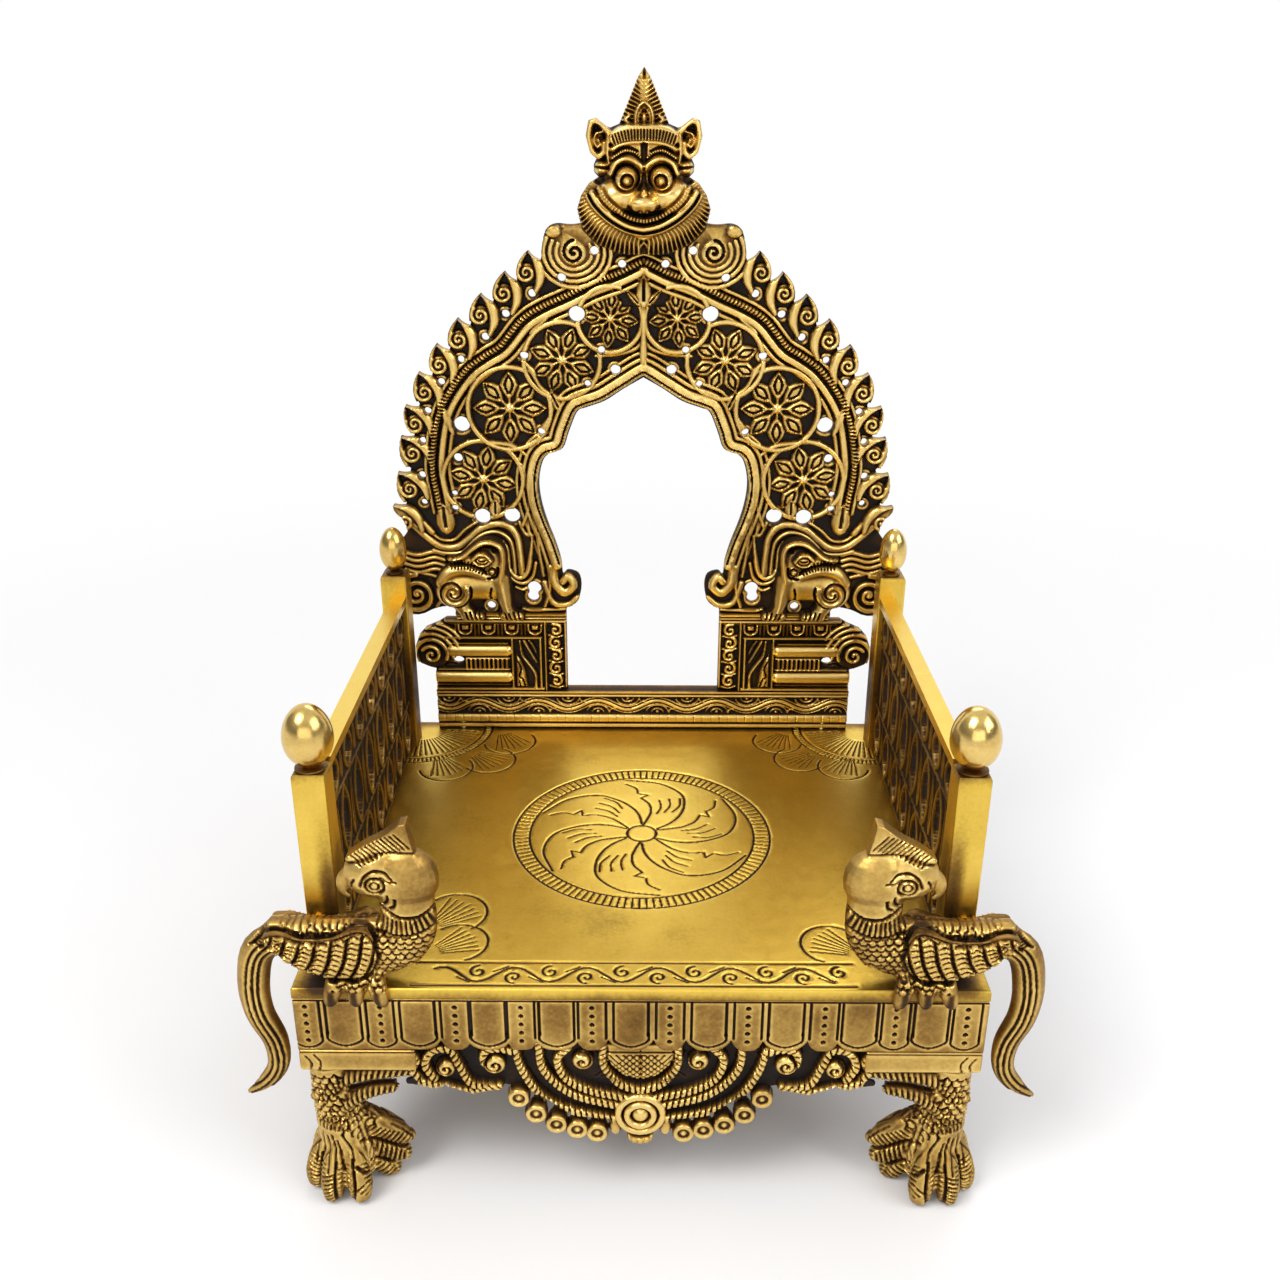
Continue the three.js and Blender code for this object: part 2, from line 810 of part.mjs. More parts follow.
const openingShares = [
  [0.295, 0.55],
  [0.25, 0.585],
  [0.235, 0.64],
  [0.245, 0.69],
  [0.285, 0.705],
  [0.305, 0.69],
  [0.31, 0.745],
  [0.33, 0.82],
  [0.36, 0.905],
  [0.38, 0.985],
  [0.385, 1.06],
  [0.37, 1.13],
  [0.355, 1.15],
  [0.295, 1.18],
  [0.27, 1.245],
  [0.24, 1.315],
  [0.21, 1.33],
  [0.14, 1.355],
  [0.07, 1.4],
  [0, 1.44],
];
const rimWidthShare = 0.04;
const rimShares = [
  [0.325, 0.53],
  [0.3, 0.59],
  [0.27, 0.64],
  [0.29, 0.69],
  [0.335, 0.71],
  [0.36, 0.82],
  [0.39, 0.9],
  [0.41, 0.985],
  [0.415, 1.065],
  [0.4, 1.14],
  [0.35, 1.185],
  [0.305, 1.25],
  [0.27, 1.335],
  [0.225, 1.36],
  [0.155, 1.385],
  [0.08, 1.43],
  [0, 1.475],
];
const ropeWidthShare = 0.03;
const ropeShares = [
  [0.755, 0.95],
  [0.763, 1.0],
  [0.775, 1.1],
  [0.765, 1.2],
  [0.742, 1.3],
  [0.7, 1.385],
  [0.63, 1.473],
  [0.56, 1.523],
  [0.505, 1.558],
  [0.43, 1.645],
  [0.36, 1.69],
  [0.27, 1.73],
  [0.18, 1.773],
  [0.09, 1.805],
  [0, 1.845],
];
const roundelShares = [
  [0.59, 1.065, 0.14],
  [0.483, 1.33, 0.147],
  [0.29, 1.503, 0.133],
  [0.118, 1.648, 0.115],
];
const roundelRingShare = 0.82;
const petalTipShare = 0.7;
const petalNotchShare = 0.38;
const petalCount = 8;
const flameScrollShares = { inX: 0.035, inZ: 0.065, radius: 0.032 };
const wingSpiralShares = [
  { x: 0.87, z: 0.66, outer: 0.1, inner: 0.065 },
  { x: 0.87, z: 0.66, outer: 0.035, inner: 0.018 },
];
const archHoleShares = [
  [0.66, 1.27, 0.029],
  [0.235, 1.665, 0.028],
  [0.6, 0.94, 0.024],
  [0.48, 0.925, 0.03],
  [0.68, 0.96, 0.014],
  [0.805, 1.21, 0.013],
  [0.775, 1.32, 0.013],
  [0.72, 1.42, 0.013],
  [0.65, 1.505, 0.013],
  [0.56, 1.585, 0.014],
  [0.485, 1.665, 0.014],
  [0.39, 1.735, 0.014],
  [0.285, 1.79, 0.015],
  [0.17, 1.88, 0.015],
  [0.77, 0.86, 0.013],
  [0.395, 0.6, 0.03],
];

function archOutline() {
  const flames = flameShares.flatMap(([tipX, tipZ, notchX, notchZ], i) => {
    const [beforeX, beforeZ] = i ? flameShares[i - 1].slice(2) : wingShares[wingShares.length - 1];
    const bulge = [(tipX + beforeX) / 2 + flameBulgeShare, (tipZ + beforeZ) / 2];
    return [...(i ? [bulge] : []), [tipX, tipZ], [notchX, notchZ]];
  });
  const outer = [...wingShares, ...flames, ...crownShares];
  const raised = ([x, z]) => point(x * unit, Math.max(z * unit, pedestalTop + jointGap));
  const right = outer.map(raised);
  const opening = openingShares.map(raised);
  const mirrored = (line) => line.map(({ x, y }) => point(-x, y));
  return [
    ...right,
    ...mirrored(right.slice(0, -1)).reverse(),
    ...mirrored(opening),
    ...opening.slice(0, -1).reverse(),
  ];
}

function arch() {
  const relief = (line, holes) => facePlate(line, plateFront - backRelief, 2 * backRelief, holes);
  const low = (line, holes) => facePlate(line, plateFront - backRelief / 2, backRelief, holes);
  const band = (shares, count, width) => {
    const whole = [...fromShares(shares), ...fromShares(shares.slice(0, -1), -1).reverse()];
    return ribbon(smooth(whole, count), width * unit);
  };
  const flower = (x, z, radius) =>
    range(2 * petalCount).map((i) => {
      const reach = radius * (i % 2 ? petalNotchShare : petalTipShare);
      const angle = (Math.PI * i) / petalCount;
      return point((x + reach * Math.cos(angle)) * unit, (z + reach * Math.sin(angle)) * unit);
    });
  const ring = (x, z, radius, count) => circle(x * unit, z * unit, radius * unit, count);
  const { inX, inZ, radius: scrollRadius } = flameScrollShares;
  const ornaments = sides.flatMap((side) => [
    ...roundelShares.flatMap(([x, z, radius]) => [
      low(ring(side * x, z, radius, 14), [ring(side * x, z, radius * roundelRingShare, 14)]),
      low(flower(side * x, z, radius)),
    ]),
    ...flameShares.map(([x, z]) => low(ring(side * (x - inX), z - inZ, scrollRadius, 8))),
    ...wingSpiralShares.map(({ x, z, outer, inner }) =>
      low(ring(side * x, z, outer, 14), [ring(side * x, z, inner, 10)]),
    ),
  ]);
  const bore = (x, z, radius, count) =>
    facePlate(ring(x, z, radius, count), backFront - cutOverrun, sillDepth + cutOverrun);
  const holes = sides.flatMap((side) => [
    ...archHoleShares.map(([x, z, radius]) => bore(side * x, z, radius, 6)),
    bore(side * rivetXShare, rivetZShare, (rivetRadius + threadGap) / unit, 8),
  ]);
  const [tongueLow, tongueHigh] = [pedestalTop - tongueDepth, pedestalTop + cutOverrun];
  const tongue = solid(box(...tongueHalves(tongueY, tongueLow, tongueHigh, 0)));
  const body = join([
    facePlate(archOutline(), plateFront, backThickness),
    relief(band(rimShares, 44, rimWidthShare)),
    relief(band(ropeShares, 40, ropeWidthShare)),
    ...ornaments,
  ]);
  return cutAway(body.add(tongue).add(tongue.mirror([1, 0, 0])), holes);
}

// Lions: one on each wing, flat behind, with a curled trunk-like snout.
const lionSwellShares = [
  [0.67, 0.62, 0.07, 0.072, 0.05],
  [0.58, 0.655, 0.11, 0.055, 0.05],
  [0.495, 0.625, 0.045, 0.075, 0.045],
  [0.555, 0.705, 0.055, 0.05, 0.05],
  [0.58, 0.755, 0.072, 0.055, 0.062],
  [0.46, 0.548, 0.048, 0.024, 0.04],
  [0.645, 0.548, 0.05, 0.024, 0.04],
];
const trunkShares = [
  [0.56, 0.815, 0.03, 0.02],
  [0.51, 0.795, 0.034, 0.024],
  [0.47, 0.74, 0.034, 0.024],
  [0.435, 0.685, 0.03, 0.02],
  [0.4, 0.69, 0.026, 0.016],
  [0.39, 0.74, 0.02, 0.011],
];
const lionLegShares = [
  [
    [0.495, 0.62, 0.035, 0.03],
    [0.485, 0.545, 0.032, 0.026],
  ],
  [
    [0.67, 0.6, 0.04, 0.035],
    [0.66, 0.545, 0.032, 0.026],
  ],
];

const behindPlane = () => box(-baseWidth, baseWidth, -jointGap, unit, 0, baseWidth + unit);

function lion() {
  const body = join([
    ...lionSwellShares.map((shares) => swelling(shares)),
    flatLimb(trunkShares, 0, 6),
    ...lionLegShares.map((rows) => flatLimb(rows, 0, 6)),
  ]);
  return cutAway(body, [behindPlane()]);
}

// Mask: a lion face in a fan of hair, with leaf ears, a headband and a pointed crest.
const maskShares = [
  [0, 1.87],
  [0.08, 1.875],
  [0.16, 1.9],
  [0.21, 1.95],
  [0.225, 2.02],
  [0.2, 2.075],
  [0.155, 2.1],
  [0.16, 2.185],
  [0.178, 2.21],
  [0.178, 2.26],
  [0.155, 2.305],
  [0.115, 2.275],
  [0.085, 2.3],
  [0.05, 2.36],
  [0.02, 2.42],
  [0, 2.46],
];
const faceSwellShares = [
  [0, 2.09, 0.115, 0.13, 0.085],
  [0, 2.04, 0.042, 0.032, 0.128],
  [0, 1.985, 0.1, 0.032, 0.075],
  [0, 2.33, 0.05, 0.06, 0.045],
];
const sideSwellShares = [
  [0.082, 2.06, 0.065, 0.05, 0.105],
  [0.057, 2.12, 0.038, 0.036, 0.1],
  [0.14, 2.15, 0.027, 0.027, 0.05],
];
const browShares = [
  [0.02, 2.155, 0.04, 0.012],
  [0.057, 2.178, 0.045, 0.014],
  [0.1, 2.155, 0.04, 0.012],
];
const browDepthShare = 0.06;
const headbandShares = [
  [-0.115, 2.25, 0.03, 0.024],
  [0, 2.268, 0.04, 0.028],
  [0.115, 2.25, 0.03, 0.024],
];
const headbandDepthShare = 0.035;

function mask() {
  const outline = [...fromShares(maskShares), ...fromShares(maskShares.slice(1, -1), -1).reverse()];
  const features = sides.flatMap((side) => {
    const turned = (rows) => rows.map(([x, ...rest]) => [side * x, ...rest]);
    const swells = turned(sideSwellShares).map((shares) => swelling(shares));
    return [...swells, flatLimb(turned(browShares), -browDepthShare * unit, 6)];
  });
  const body = join([
    facePlate(outline, -maskPlate, maskPlate - jointGap),
    ...faceSwellShares.map((shares) => swelling(shares)),
    flatLimb(headbandShares, -headbandDepthShare * unit, 6),
    ...features,
  ]);
  const rivetHole = (side) =>
    facePlate(
      circle(side * rivetX, rivetZ, rivetRadius + threadGap, 8),
      -rivetDepth - threadGap,
      maskPlate,
    );
  return cutAway(body, [behindPlane(), ...sides.map(rivetHole)]);
}

// Birds: one on each front corner, looking inwards, with a crest and a long hanging tail.
const birdBodyShares = [
  [1.05, 0.18, 0.025, 0.035],
  [0.97, 0.155, 0.05, 0.075],
  [0.86, 0.145, 0.058, 0.095],
  [0.74, 0.16, 0.058, 0.1],
  [0.67, 0.18, 0.045, 0.075],
  [0.63, 0.19, 0.02, 0.035],
];
const birdNeckShares = [
  [0.7, 0.15, 0.05, 0.06],
  [0.655, 0.25, 0.048, 0.062],
  [0.65, 0.34, 0.046, 0.06],
];
const birdHeadShares = [0.695, 0.375, 0.098, 0.085, 0.055];
const beakShares = [
  [0.75, 0.36, 0.036, 0.055],
  [0.79, 0.345, 0.026, 0.036],
  [0.812, 0.315, 0.016, 0.018],
  [0.808, 0.285, 0.006, 0.006],
];
const crestShares = [
  [0.62, 0.4],
  [0.62, 0.455],
  [0.643, 0.56],
  [0.7, 0.505],
  [0.76, 0.465],
  [0.825, 0.41],
  [0.79, 0.39],
  [0.7, 0.38],
];
const wingPlateShares = [
  [0.66, 0.18],
  [0.72, 0.235],
  [0.82, 0.245],
  [0.95, 0.255],
  [1.07, 0.23],
  [1.02, 0.16],
  [0.95, 0.09],
  [0.84, 0.055],
  [0.74, 0.06],
  [0.67, 0.11],
];
const wingLevelShares = [-0.062, -0.03];
const tailShares = [
  [1.0, 0.18, 0.035, 0.045],
  [1.09, 0.13, 0.036, 0.046],
  [1.12, 0.02, 0.034, 0.044],
  [1.11, -0.09, 0.032, 0.042],
  [1.075, -0.19, 0.028, 0.036],
  [1.075, -0.28, 0.024, 0.032],
  [1.12, -0.345, 0.02, 0.026],
  [1.185, -0.395, 0.008, 0.01],
];
const clawXShares = [0.8, 0.84, 0.88];
const clawRadius = 0.75;

function claw(x) {
  const rows = [
    [seatThickness, seatThickness + 2 * clawRadius],
    [-jointGap - clawRadius, seatThickness + clawRadius],
    [-jointGap - clawRadius, -seatThickness],
  ];
  const stations = rows.map(([y, z]) => [new THREE.Vector3(x * unit, y, z), clawRadius, clawRadius]);
  return limb(stations, acrossX, 6);
}

function bird() {
  const [outer, inner] = wingLevelShares.map((share) => share * unit);
  const wing = (front) => facePlate(fromShares(wingPlateShares), front, inner - outer);
  const bottom = seatThickness + jointGap;
  const [footStart, , footEnd] = clawXShares.map((share) => share * unit);
  const foot = box(
    footStart - studRadius - clawRadius,
    footEnd + clawRadius,
    lipRound,
    2 * birdY - lipRound,
    bottom,
    bottom + 2 * seatThickness,
  );
  return join([
    flatLimb(birdBodyShares, birdY, 10),
    flatLimb(birdNeckShares, birdY, 10),
    swelling(birdHeadShares, birdY),
    flatLimb(beakShares, birdY, 8),
    flatLimb(tailShares, birdY, 8),
    facePlate(fromShares(crestShares), birdY - crestThickness / 2, crestThickness),
    wing(birdY + outer),
    wing(birdY - inner),
    foot,
    ...clawXShares.map(claw),
    rod(studRadius, bottom - studLength, bottom + seatThickness, 10).translate(birdStudX, birdStudY, 0),
  ]);
}

// Fasteners
const nut = () =>
  floorPlate(circle(0, 0, nutAcrossFlats / Math.sqrt(3), 6), -nutThickness - jointGap, nutThickness, [
    circle(0, 0, studRadius + threadGap, 10),
  ]);

const headed = (headRadius, headHeight, radius, length) =>
  lathe(
    [point(0, -headHeight), point(headRadius, -headHeight), point(headRadius, 0), point(radius, 0)].concat([
      point(radius, length),
      point(0, length),
    ]),
    8,
  ).translate(0, 0, -jointGap);

const sillScrew = () => headed(screwHeadRadius, screwHeadHeight, screwRadius, screwDepth);

const rivet = () =>
  headed(rivetHeadRadius, rivetHeadHeight, rivetRadius, backThickness + rivetDepth).rotateX(Math.PI / 2);

// Assembly
const seatTop = seatThickness + jointGap;

const rearLegs = groupOf(pair("leg_rear", leg(), brass), 0, baseDepth, 0);
rearLegs.scale.y = -1;

const rearSkirt = placed(piece("skirt_rear", faceSkirt(), brass), 0, baseDepth, 0);
rearSkirt.scale.y = -1;

const base = groupOf(
  [
    piece("seat_plate", seatPlate(), brass),
    piece("skirt_front", faceSkirt(), brass),
    rearSkirt,
    ...pair("skirt", sideSkirt(), brass),
    piece("apron_front", frontApron(), brass),
    ...pair("leg_front", leg(), brass),
    rearLegs,
  ],
  0,
  0,
  0,
);

const sideFrames = groupOf(
  [
    ...pair("post_front", post(frontPostHeight, 1), brass, postX, frontPostY, seatTop),
    ...pair("post_rear", post(rearPostHeight, -1), brass, postX, rearPostY, seatTop),
    ...pair("finial_front", finial(frontFinial), brass, postX, frontPostY, seatTop + frontPostHeight),
    ...pair("finial_rear", finial(rearFinial), brass, postX, rearPostY, seatTop + rearPostHeight),
    ...pair("side_panel", sidePanel(), darkBrass),
    placed(piece("rail_left", rail(railStart, railEnd), brass), -panelX, 0, 0),
    placed(piece("rail_right_front", rail(railStart, railSeamY - jointGap), brass), panelX, 0, 0),
    placed(piece("rail_right_rear", rail(railSeamY, railEnd), brass), panelX, 0, 0),
  ],
  0,
  0,
  0,
);

const back = groupOf(
  [
    piece("sill", sill(), brass),
    ...pair("pedestal", pedestal(), brass),
    piece("arch", arch(), brass),
    ...pair("lion", lion(), brass, 0, plateFront),
    placed(piece("mask", mask(), brass), 0, plateFront, 0),
  ],
  0,
  0,
  0,
);

const fasteners = groupOf(
  [
    ...pair("post_nut_front", nut(), steel, postX, frontPostY),
    ...pair("post_nut_rear", nut(), steel, postX, rearPostY),
    ...pair("bird_nut", nut(), steel, birdStudX, birdStudY),
    ...pair("sill_screw", sillScrew(), steel, screwX, screwY),
    ...pair("mask_rivet", rivet(), steel, rivetX, plateFront + backThickness, rivetZ),
  ],
  0,
  0,
  0,
);

const birds = groupOf(pair("bird", bird(), brass), 0, 0, 0);

export default groupOf([base, sideFrames, back, birds, fasteners], 0, -baseDepth / 2, standHeight);
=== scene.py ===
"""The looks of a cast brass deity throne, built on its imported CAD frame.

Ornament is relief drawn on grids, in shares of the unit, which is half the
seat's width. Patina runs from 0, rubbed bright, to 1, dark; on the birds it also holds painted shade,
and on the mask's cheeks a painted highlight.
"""

import bmesh
import bpy
import math
import numpy as np
from mathutils import Matrix, Vector
from mathutils.geometry import tessellate_polygon

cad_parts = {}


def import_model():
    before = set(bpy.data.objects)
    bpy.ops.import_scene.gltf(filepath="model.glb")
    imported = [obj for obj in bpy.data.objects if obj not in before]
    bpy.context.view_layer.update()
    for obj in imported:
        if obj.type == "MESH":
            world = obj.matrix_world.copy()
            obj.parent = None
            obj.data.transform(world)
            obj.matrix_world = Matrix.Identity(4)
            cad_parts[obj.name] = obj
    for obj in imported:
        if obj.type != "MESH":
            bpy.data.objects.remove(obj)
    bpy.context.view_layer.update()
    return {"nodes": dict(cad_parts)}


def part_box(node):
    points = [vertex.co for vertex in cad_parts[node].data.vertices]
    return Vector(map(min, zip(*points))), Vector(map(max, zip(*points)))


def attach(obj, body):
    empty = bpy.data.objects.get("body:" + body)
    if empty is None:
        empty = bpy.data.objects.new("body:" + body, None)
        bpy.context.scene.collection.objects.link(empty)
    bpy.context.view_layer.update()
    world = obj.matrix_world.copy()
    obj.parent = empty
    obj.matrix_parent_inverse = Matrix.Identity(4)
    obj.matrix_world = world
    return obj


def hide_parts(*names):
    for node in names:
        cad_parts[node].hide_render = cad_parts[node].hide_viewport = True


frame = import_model()

# Driving sizes

unit = 0.1
half_depth = 0.084
band_top = 0.076
seat_thickness = 0.0035
skirt_thickness = 0.002
plate_front = 0.0783
plate_back = 0.0813
hair_gap = 0.00005
relief_base = 0.0003
mask_plate = 0.0026
apron_plate = 0.0024
sill_depth = 0.0052
sill_round = 0.0009
panel_relief = 0.0004
edge_round = 0.0005
floor_gap = 0.0002

# Grid steps, voxels and the shares of the faces that are kept

fine_step = 0.0003
arch_step = 0.00034
plain_step = 0.0006
mask_step = 0.00016
seat_step = 0.00032
panel_step = 0.00042
body_voxel = 0.0004
leg_voxel = 0.00042
rear_voxel_share = 1.4
keep_shares = {"arch": 0.62, "mask": 0.84, "sill": 0.8, "apron": 0.85, "skirt": 0.55, "seat": 0.28}
sharp_angle = math.radians(50)
least_length = 1e-12
least_weight = 1e-3
least_slope = 0.25
last_cell = 1.001

# Patina

back_patina = 0.5
plain_patina = 0.36
ground_patina = 0.5
open_patina = 0.34
cavity_shares = [(0.006, 0.008, -0.14, 0.5), (0.02, 0.02, -0.14, 0.45)]
dark_shares = {"arch": 0.1, "sill": 0.08, "apron": 0.08, "lion": 0.05, "skirt": 0.07, "leg": 0.04}
etch_shares = {"lion": 0.3, "mask": 0.4, "skirt": 0.4, "seat": 0.42}
bright_share = 0.1


# Lines and curves


def smooth_line(points, count):
    """Points along a Catmull-Rom curve through the given ones."""
    p = np.asarray(points, float)
    ends = np.vstack([2 * p[0] - p[1], p, 2 * p[-1] - p[-2]])
    out = []
    for i in range(len(p) - 1):
        a, b, c, d = ends[i : i + 4]
        t = np.linspace(0, 1, count, endpoint=False)[:, None]
        curve = 2 * b + (c - a) * t + (2 * a - 5 * b + 4 * c - d) * t**2 + (3 * b - a - 3 * c + d) * t**3
        out.append(curve / 2)
    return np.vstack(out + [p[-1:]])


def directions(points):
    """The way along a line at each of its points."""
    along = np.gradient(np.asarray(points, float), axis=0)
    return along / np.hypot(*along.T)[:, None]


def square_to(way):
    """A way turned left by a right angle."""
    return np.stack([-way[..., 1], way[..., 0]], -1)


def resample(points, pitch):
    """Points and directions at equal steps along a line."""
    p = np.asarray(points, float)
    lengths = np.r_[0, np.cumsum(np.hypot(*np.diff(p, axis=0).T))]
    count = max(int(round(lengths[-1] / pitch)), 1)
    at = np.linspace(0, lengths[-1], count + 1)
    q = np.stack([np.interp(at, lengths, p[:, k]) for k in (0, 1)], 1)
    return q, directions(q)


def beside(points, distance):
    """The line moved to its left by a distance."""
    return np.asarray(points, float) + square_to(directions(points)) * distance


def arc(x, z, radius, start, end, count, tall=1.0):
    """Points of an oval arc round a place; tall is its height over its width."""
    angle = np.linspace(start, end, count)
    return np.stack([x + radius * np.cos(angle), z + radius * tall * np.sin(angle)], 1)


def circle(x, z, radius, count=48):
    return arc(x, z, radius, 0, 2 * math.pi, count + 1)[:-1]


def closed(points):
    return np.vstack([points, points[:1]])


def ring(x, z, radius, count=48):
    return closed(circle(x, z, radius, count))


def spiral(x, z, radius, turns, start, inner=0.12, count=36):
    """A scroll that winds inwards from its radius; negative turns wind clockwise."""
    t = np.linspace(0, 1, count)
    angle = start + 2 * math.pi * turns * t
    reach = radius * (1 - (1 - inner) * t)
    return np.stack([x + reach * np.cos(angle), z + reach * np.sin(angle)], 1)


def wave(middle, depth, period, start, end, step):
    """Points of a sine line along X."""
    x = np.arange(start, end, step)
    return np.stack([x, middle + depth * np.sin(2 * math.pi * x / period)], 1)


def bulged(a, b, bulge, count=6):
    """Points from a towards b along an arc that swells to the right of the way."""
    a, b = np.array(a, float), np.array(b, float)
    t = np.linspace(0, 1, count, endpoint=False)[:, None]
    return a + t * (b - a) - 4 * t * (1 - t) * bulge * square_to(b - a)


def mirrored(points):
    """An outline from its right half, which starts and ends at the middle or meets its own image."""
    return points + [(-x, z) for x, z in points[::-1]]


def tuples(points):
    return [tuple(p) for p in points]


def shifted(points, x, z):
    return [(x + a, z + b) for a, b in points]


def rectangle(x0, x1, z0, z1):
    return [(x0, z0), (x1, z0), (x1, z1), (x0, z1)]


def spread(values, count):
    """Values spread evenly over a number of places."""
    values = np.atleast_1d(values)
    return np.interp(np.linspace(0, 1, count), np.linspace(0, 1, len(values)), values)


def nearest(X, Z, a, b):
    """The share of the way along a segment where it passes nearest to each place, and the distance there."""
    along = b - a
    t = ((X - a[0]) * along[0] + (Z - a[1]) * along[1]) / max(along @ along, least_length)
    t = np.clip(t, 0, 1)
    return t, np.hypot(X - a[0] - t * along[0], Z - a[1] - t * along[1])


def blur(field, cells):
    """A soft average over a number of cells, by three box filters each way."""
    size = max(int(cells) | 1, 3)
    out = field
    for _ in range(3):
        for axis in (0, 1):
            pad = [(0, 0), (0, 0)]
            pad[axis] = (size // 2 + 1, size // 2)
            total = np.cumsum(np.pad(out, pad, mode="edge"), axis=axis)
            high = np.take(total, range(size, total.shape[axis]), axis=axis)
            low = np.take(total, range(0, total.shape[axis] - size), axis=axis)
            out = (high - low) / size
    return out


# Relief canvas

leaf_width_shares = [0.35, 0.8, 1.0, 0.95, 0.75, 0.45, 0.08]
leaf_vein_shares = (0.2, 0.85, 0.1, 0.5)
scale_shares = {"gap": 1.5, "wide": 0.8, "low": 0.75, "sweep": (0.1, 3.04), "line": (0.1, 0.24, 0.1)}


class Canvas:
    """A relief on a grid, in shares of the unit: forward height, and distance inside the outline."""

    def __init__(self, x0, x1, z0, z1, step, etch=0):
        self.step = step / unit
        self.x = np.linspace(x0, x1, int(round((x1 - x0) / self.step)) + 1)
        self.z = np.linspace(z0, z1, int(round((z1 - z0) / self.step)) + 1)
        self.X, self.Z = np.meshgrid(self.x, self.z)
        self.height = np.zeros_like(self.X)
        self.inside = np.full_like(self.X, -1.0)
        self.shine = np.zeros_like(self.X)
        self.dark = np.zeros_like(self.X)
        self.relief_scale = 1
        self.etch = etch

    def ground(self, height, patina=ground_patina):
        """Starts from a sunk and darkened ground."""
        self.height[:] = height
        self.shine[:] = -patina

    def window(self, points, reach):
        """The part of the grid within reach of some points."""
        p = np.asarray(points, float)
        low, high = p.min(0) - reach, p.max(0) + reach
        i = np.clip(np.searchsorted(self.x, [low[0], high[0]]), 0, len(self.x))
        k = np.clip(np.searchsorted(self.z, [low[1], high[1]]), 0, len(self.z))
        return slice(k[0], k[1]), slice(i[0], i[1])

    def along_line(self, points, radii, margin, measure):
        """The greatest measure of distance and radius over a line's segments, and the window it fills."""
        p = np.asarray(points, float)
        r = spread(radii, len(p))
        window = self.window(p, r.max() + margin)
        X, Z = self.X[window], self.Z[window]
        best = np.full_like(X, -1.0)
        for a, b, ra, rb in zip(p[:-1], p[1:], r[:-1], r[1:]):
            t, gap = nearest(X, Z, a, b)
            best = np.maximum(best, measure(gap, ra + t * (rb - ra)))
        return window, best

    def roundness(self, points, radii):
        """1 on a line and 0 at its radius, with the radius changing along it."""
        return self.along_line(points, radii, 0, lambda gap, radius: 1 - (gap / radius) ** 2)

    def oval(self, x, z, across, up, angle=0.0):
        """1 at the middle of an oval and 0 at its rim, and the window it fills."""
        window = self.window([(x, z)], max(across, up))
        X, Z = self.X[window] - x, self.Z[window] - z
        turn, lean = math.cos(angle), math.sin(angle)
        return window, 1 - ((X * turn + Z * lean) / across) ** 2 - ((Z * turn - X * lean) / up) ** 2

    def signed(self, polygon, window=(slice(None), slice(None))):
        """Distance inside a closed outline, negative outside."""
        p = np.asarray(polygon, float)
        X, Z = self.X[window], self.Z[window]
        gap = np.full_like(X, np.inf)
        odd = np.zeros(X.shape, bool)
        for a, b in zip(p, np.roll(p, -1, axis=0)):
            gap = np.minimum(gap, nearest(X, Z, a, b)[1])
            if a[1] != b[1]:
                between = (Z >= min(a[1], b[1])) & (Z < max(a[1], b[1]))
                odd ^= between & (X < a[0] + (Z - a[1]) * (b[0] - a[0]) / (b[1] - a[1]))
        return np.where(odd, gap, -gap)

    def add_outline(self, polygon):
        self.inside = np.maximum(self.inside, self.signed(polygon))

    def cut_outline(self, polygon):
        self.inside = np.minimum(self.inside, -self.signed(polygon))

    def add_limb(self, points, radii):
        """Adds a line's own width to the outline."""
        window, depth = self.along_line(points, radii, 4 * self.step, lambda gap, radius: radius - gap)
        self.inside[window] = np.maximum(self.inside[window], depth)

    def pierce(self, x, z, across, up):
        gap = np.hypot((self.X - x) / across, (self.Z - z) / up) - 1
        self.inside = np.minimum(self.inside, gap * min(across, up))

    def mirror(self):
        """Copies the right half onto the left."""
        half = len(self.x) // 2
        for field in (self.height, self.inside, self.shine, self.dark):
            field[:, :half] = field[:, ::-1][:, :half]

    def level(self, polygon, height):
        """Sets everything inside an outline to one height."""
        window = self.window(polygon, 0)
        within = self.signed(polygon, window) > 0
        self.height[window] = np.where(within, height, self.height[window])
        self.shine[window] = np.where(within, -ground_patina, self.shine[window])

    def lift(self, window, level, top, shine, core=bright_share):
        """Raises a window to a top where the level is above zero, and brightens it above the core's level."""
        self.height[window] = np.maximum(self.height[window], np.where(level > 0, top, -1.0))
        bright = np.maximum(self.shine[window], shine)
        self.shine[window] = np.where(level > core, bright, self.shine[window])

    def press(self, window, level, depth, steepness=1):
        """Lowers a window by a depth times the level, and darkens it."""
        self.height[window] -= depth * np.clip(steepness * level, 0, 1)
        self.dark[window] = np.maximum(self.dark[window], self.etch * np.clip(2 * level, 0, 1))

    def line(self, points, radii, height, base=0.0, flat=0.0, shine=0.0):
        """A raised line; flat is the share of its width that is level."""
        window, level = self.roundness(points, radii)
        soft = np.sqrt(np.clip(level / max(1 - flat, least_weight), 0, 1))
        self.lift(window, level, base + height * soft, shine)

    def curve(self, points, *values):
        self.line(smooth_line(points, 6), *values)

    def hoop(self, circle_values, *values):
        self.line(ring(*circle_values), *values)

    def bow(self, arc_values, *values):
        self.line(arc(*arc_values), *values)

    def scroll(self, spiral_values, *values):
        self.line(spiral(*spiral_values), *values)

    def groove(self, points, radii, depth):
        self.press(*self.roundness(points, radii), depth)

    def cut(self, points, *values):
        self.groove(smooth_line(points, 6), *values)

    def ring(self, x, z, radius, *values):
        self.groove(ring(x, z, radius), *values)

    def wind(self, spiral_values, *values):
        self.groove(spiral(*spiral_values), *values)

    def dome(self, x, z, across, up, height, base=0.0, angle=0.0, shine=0.0):
        window, level = self.oval(x, z, across, up, angle)
        self.lift(window, level, base + height * np.clip(level, 0, 1) ** 0.5, shine)

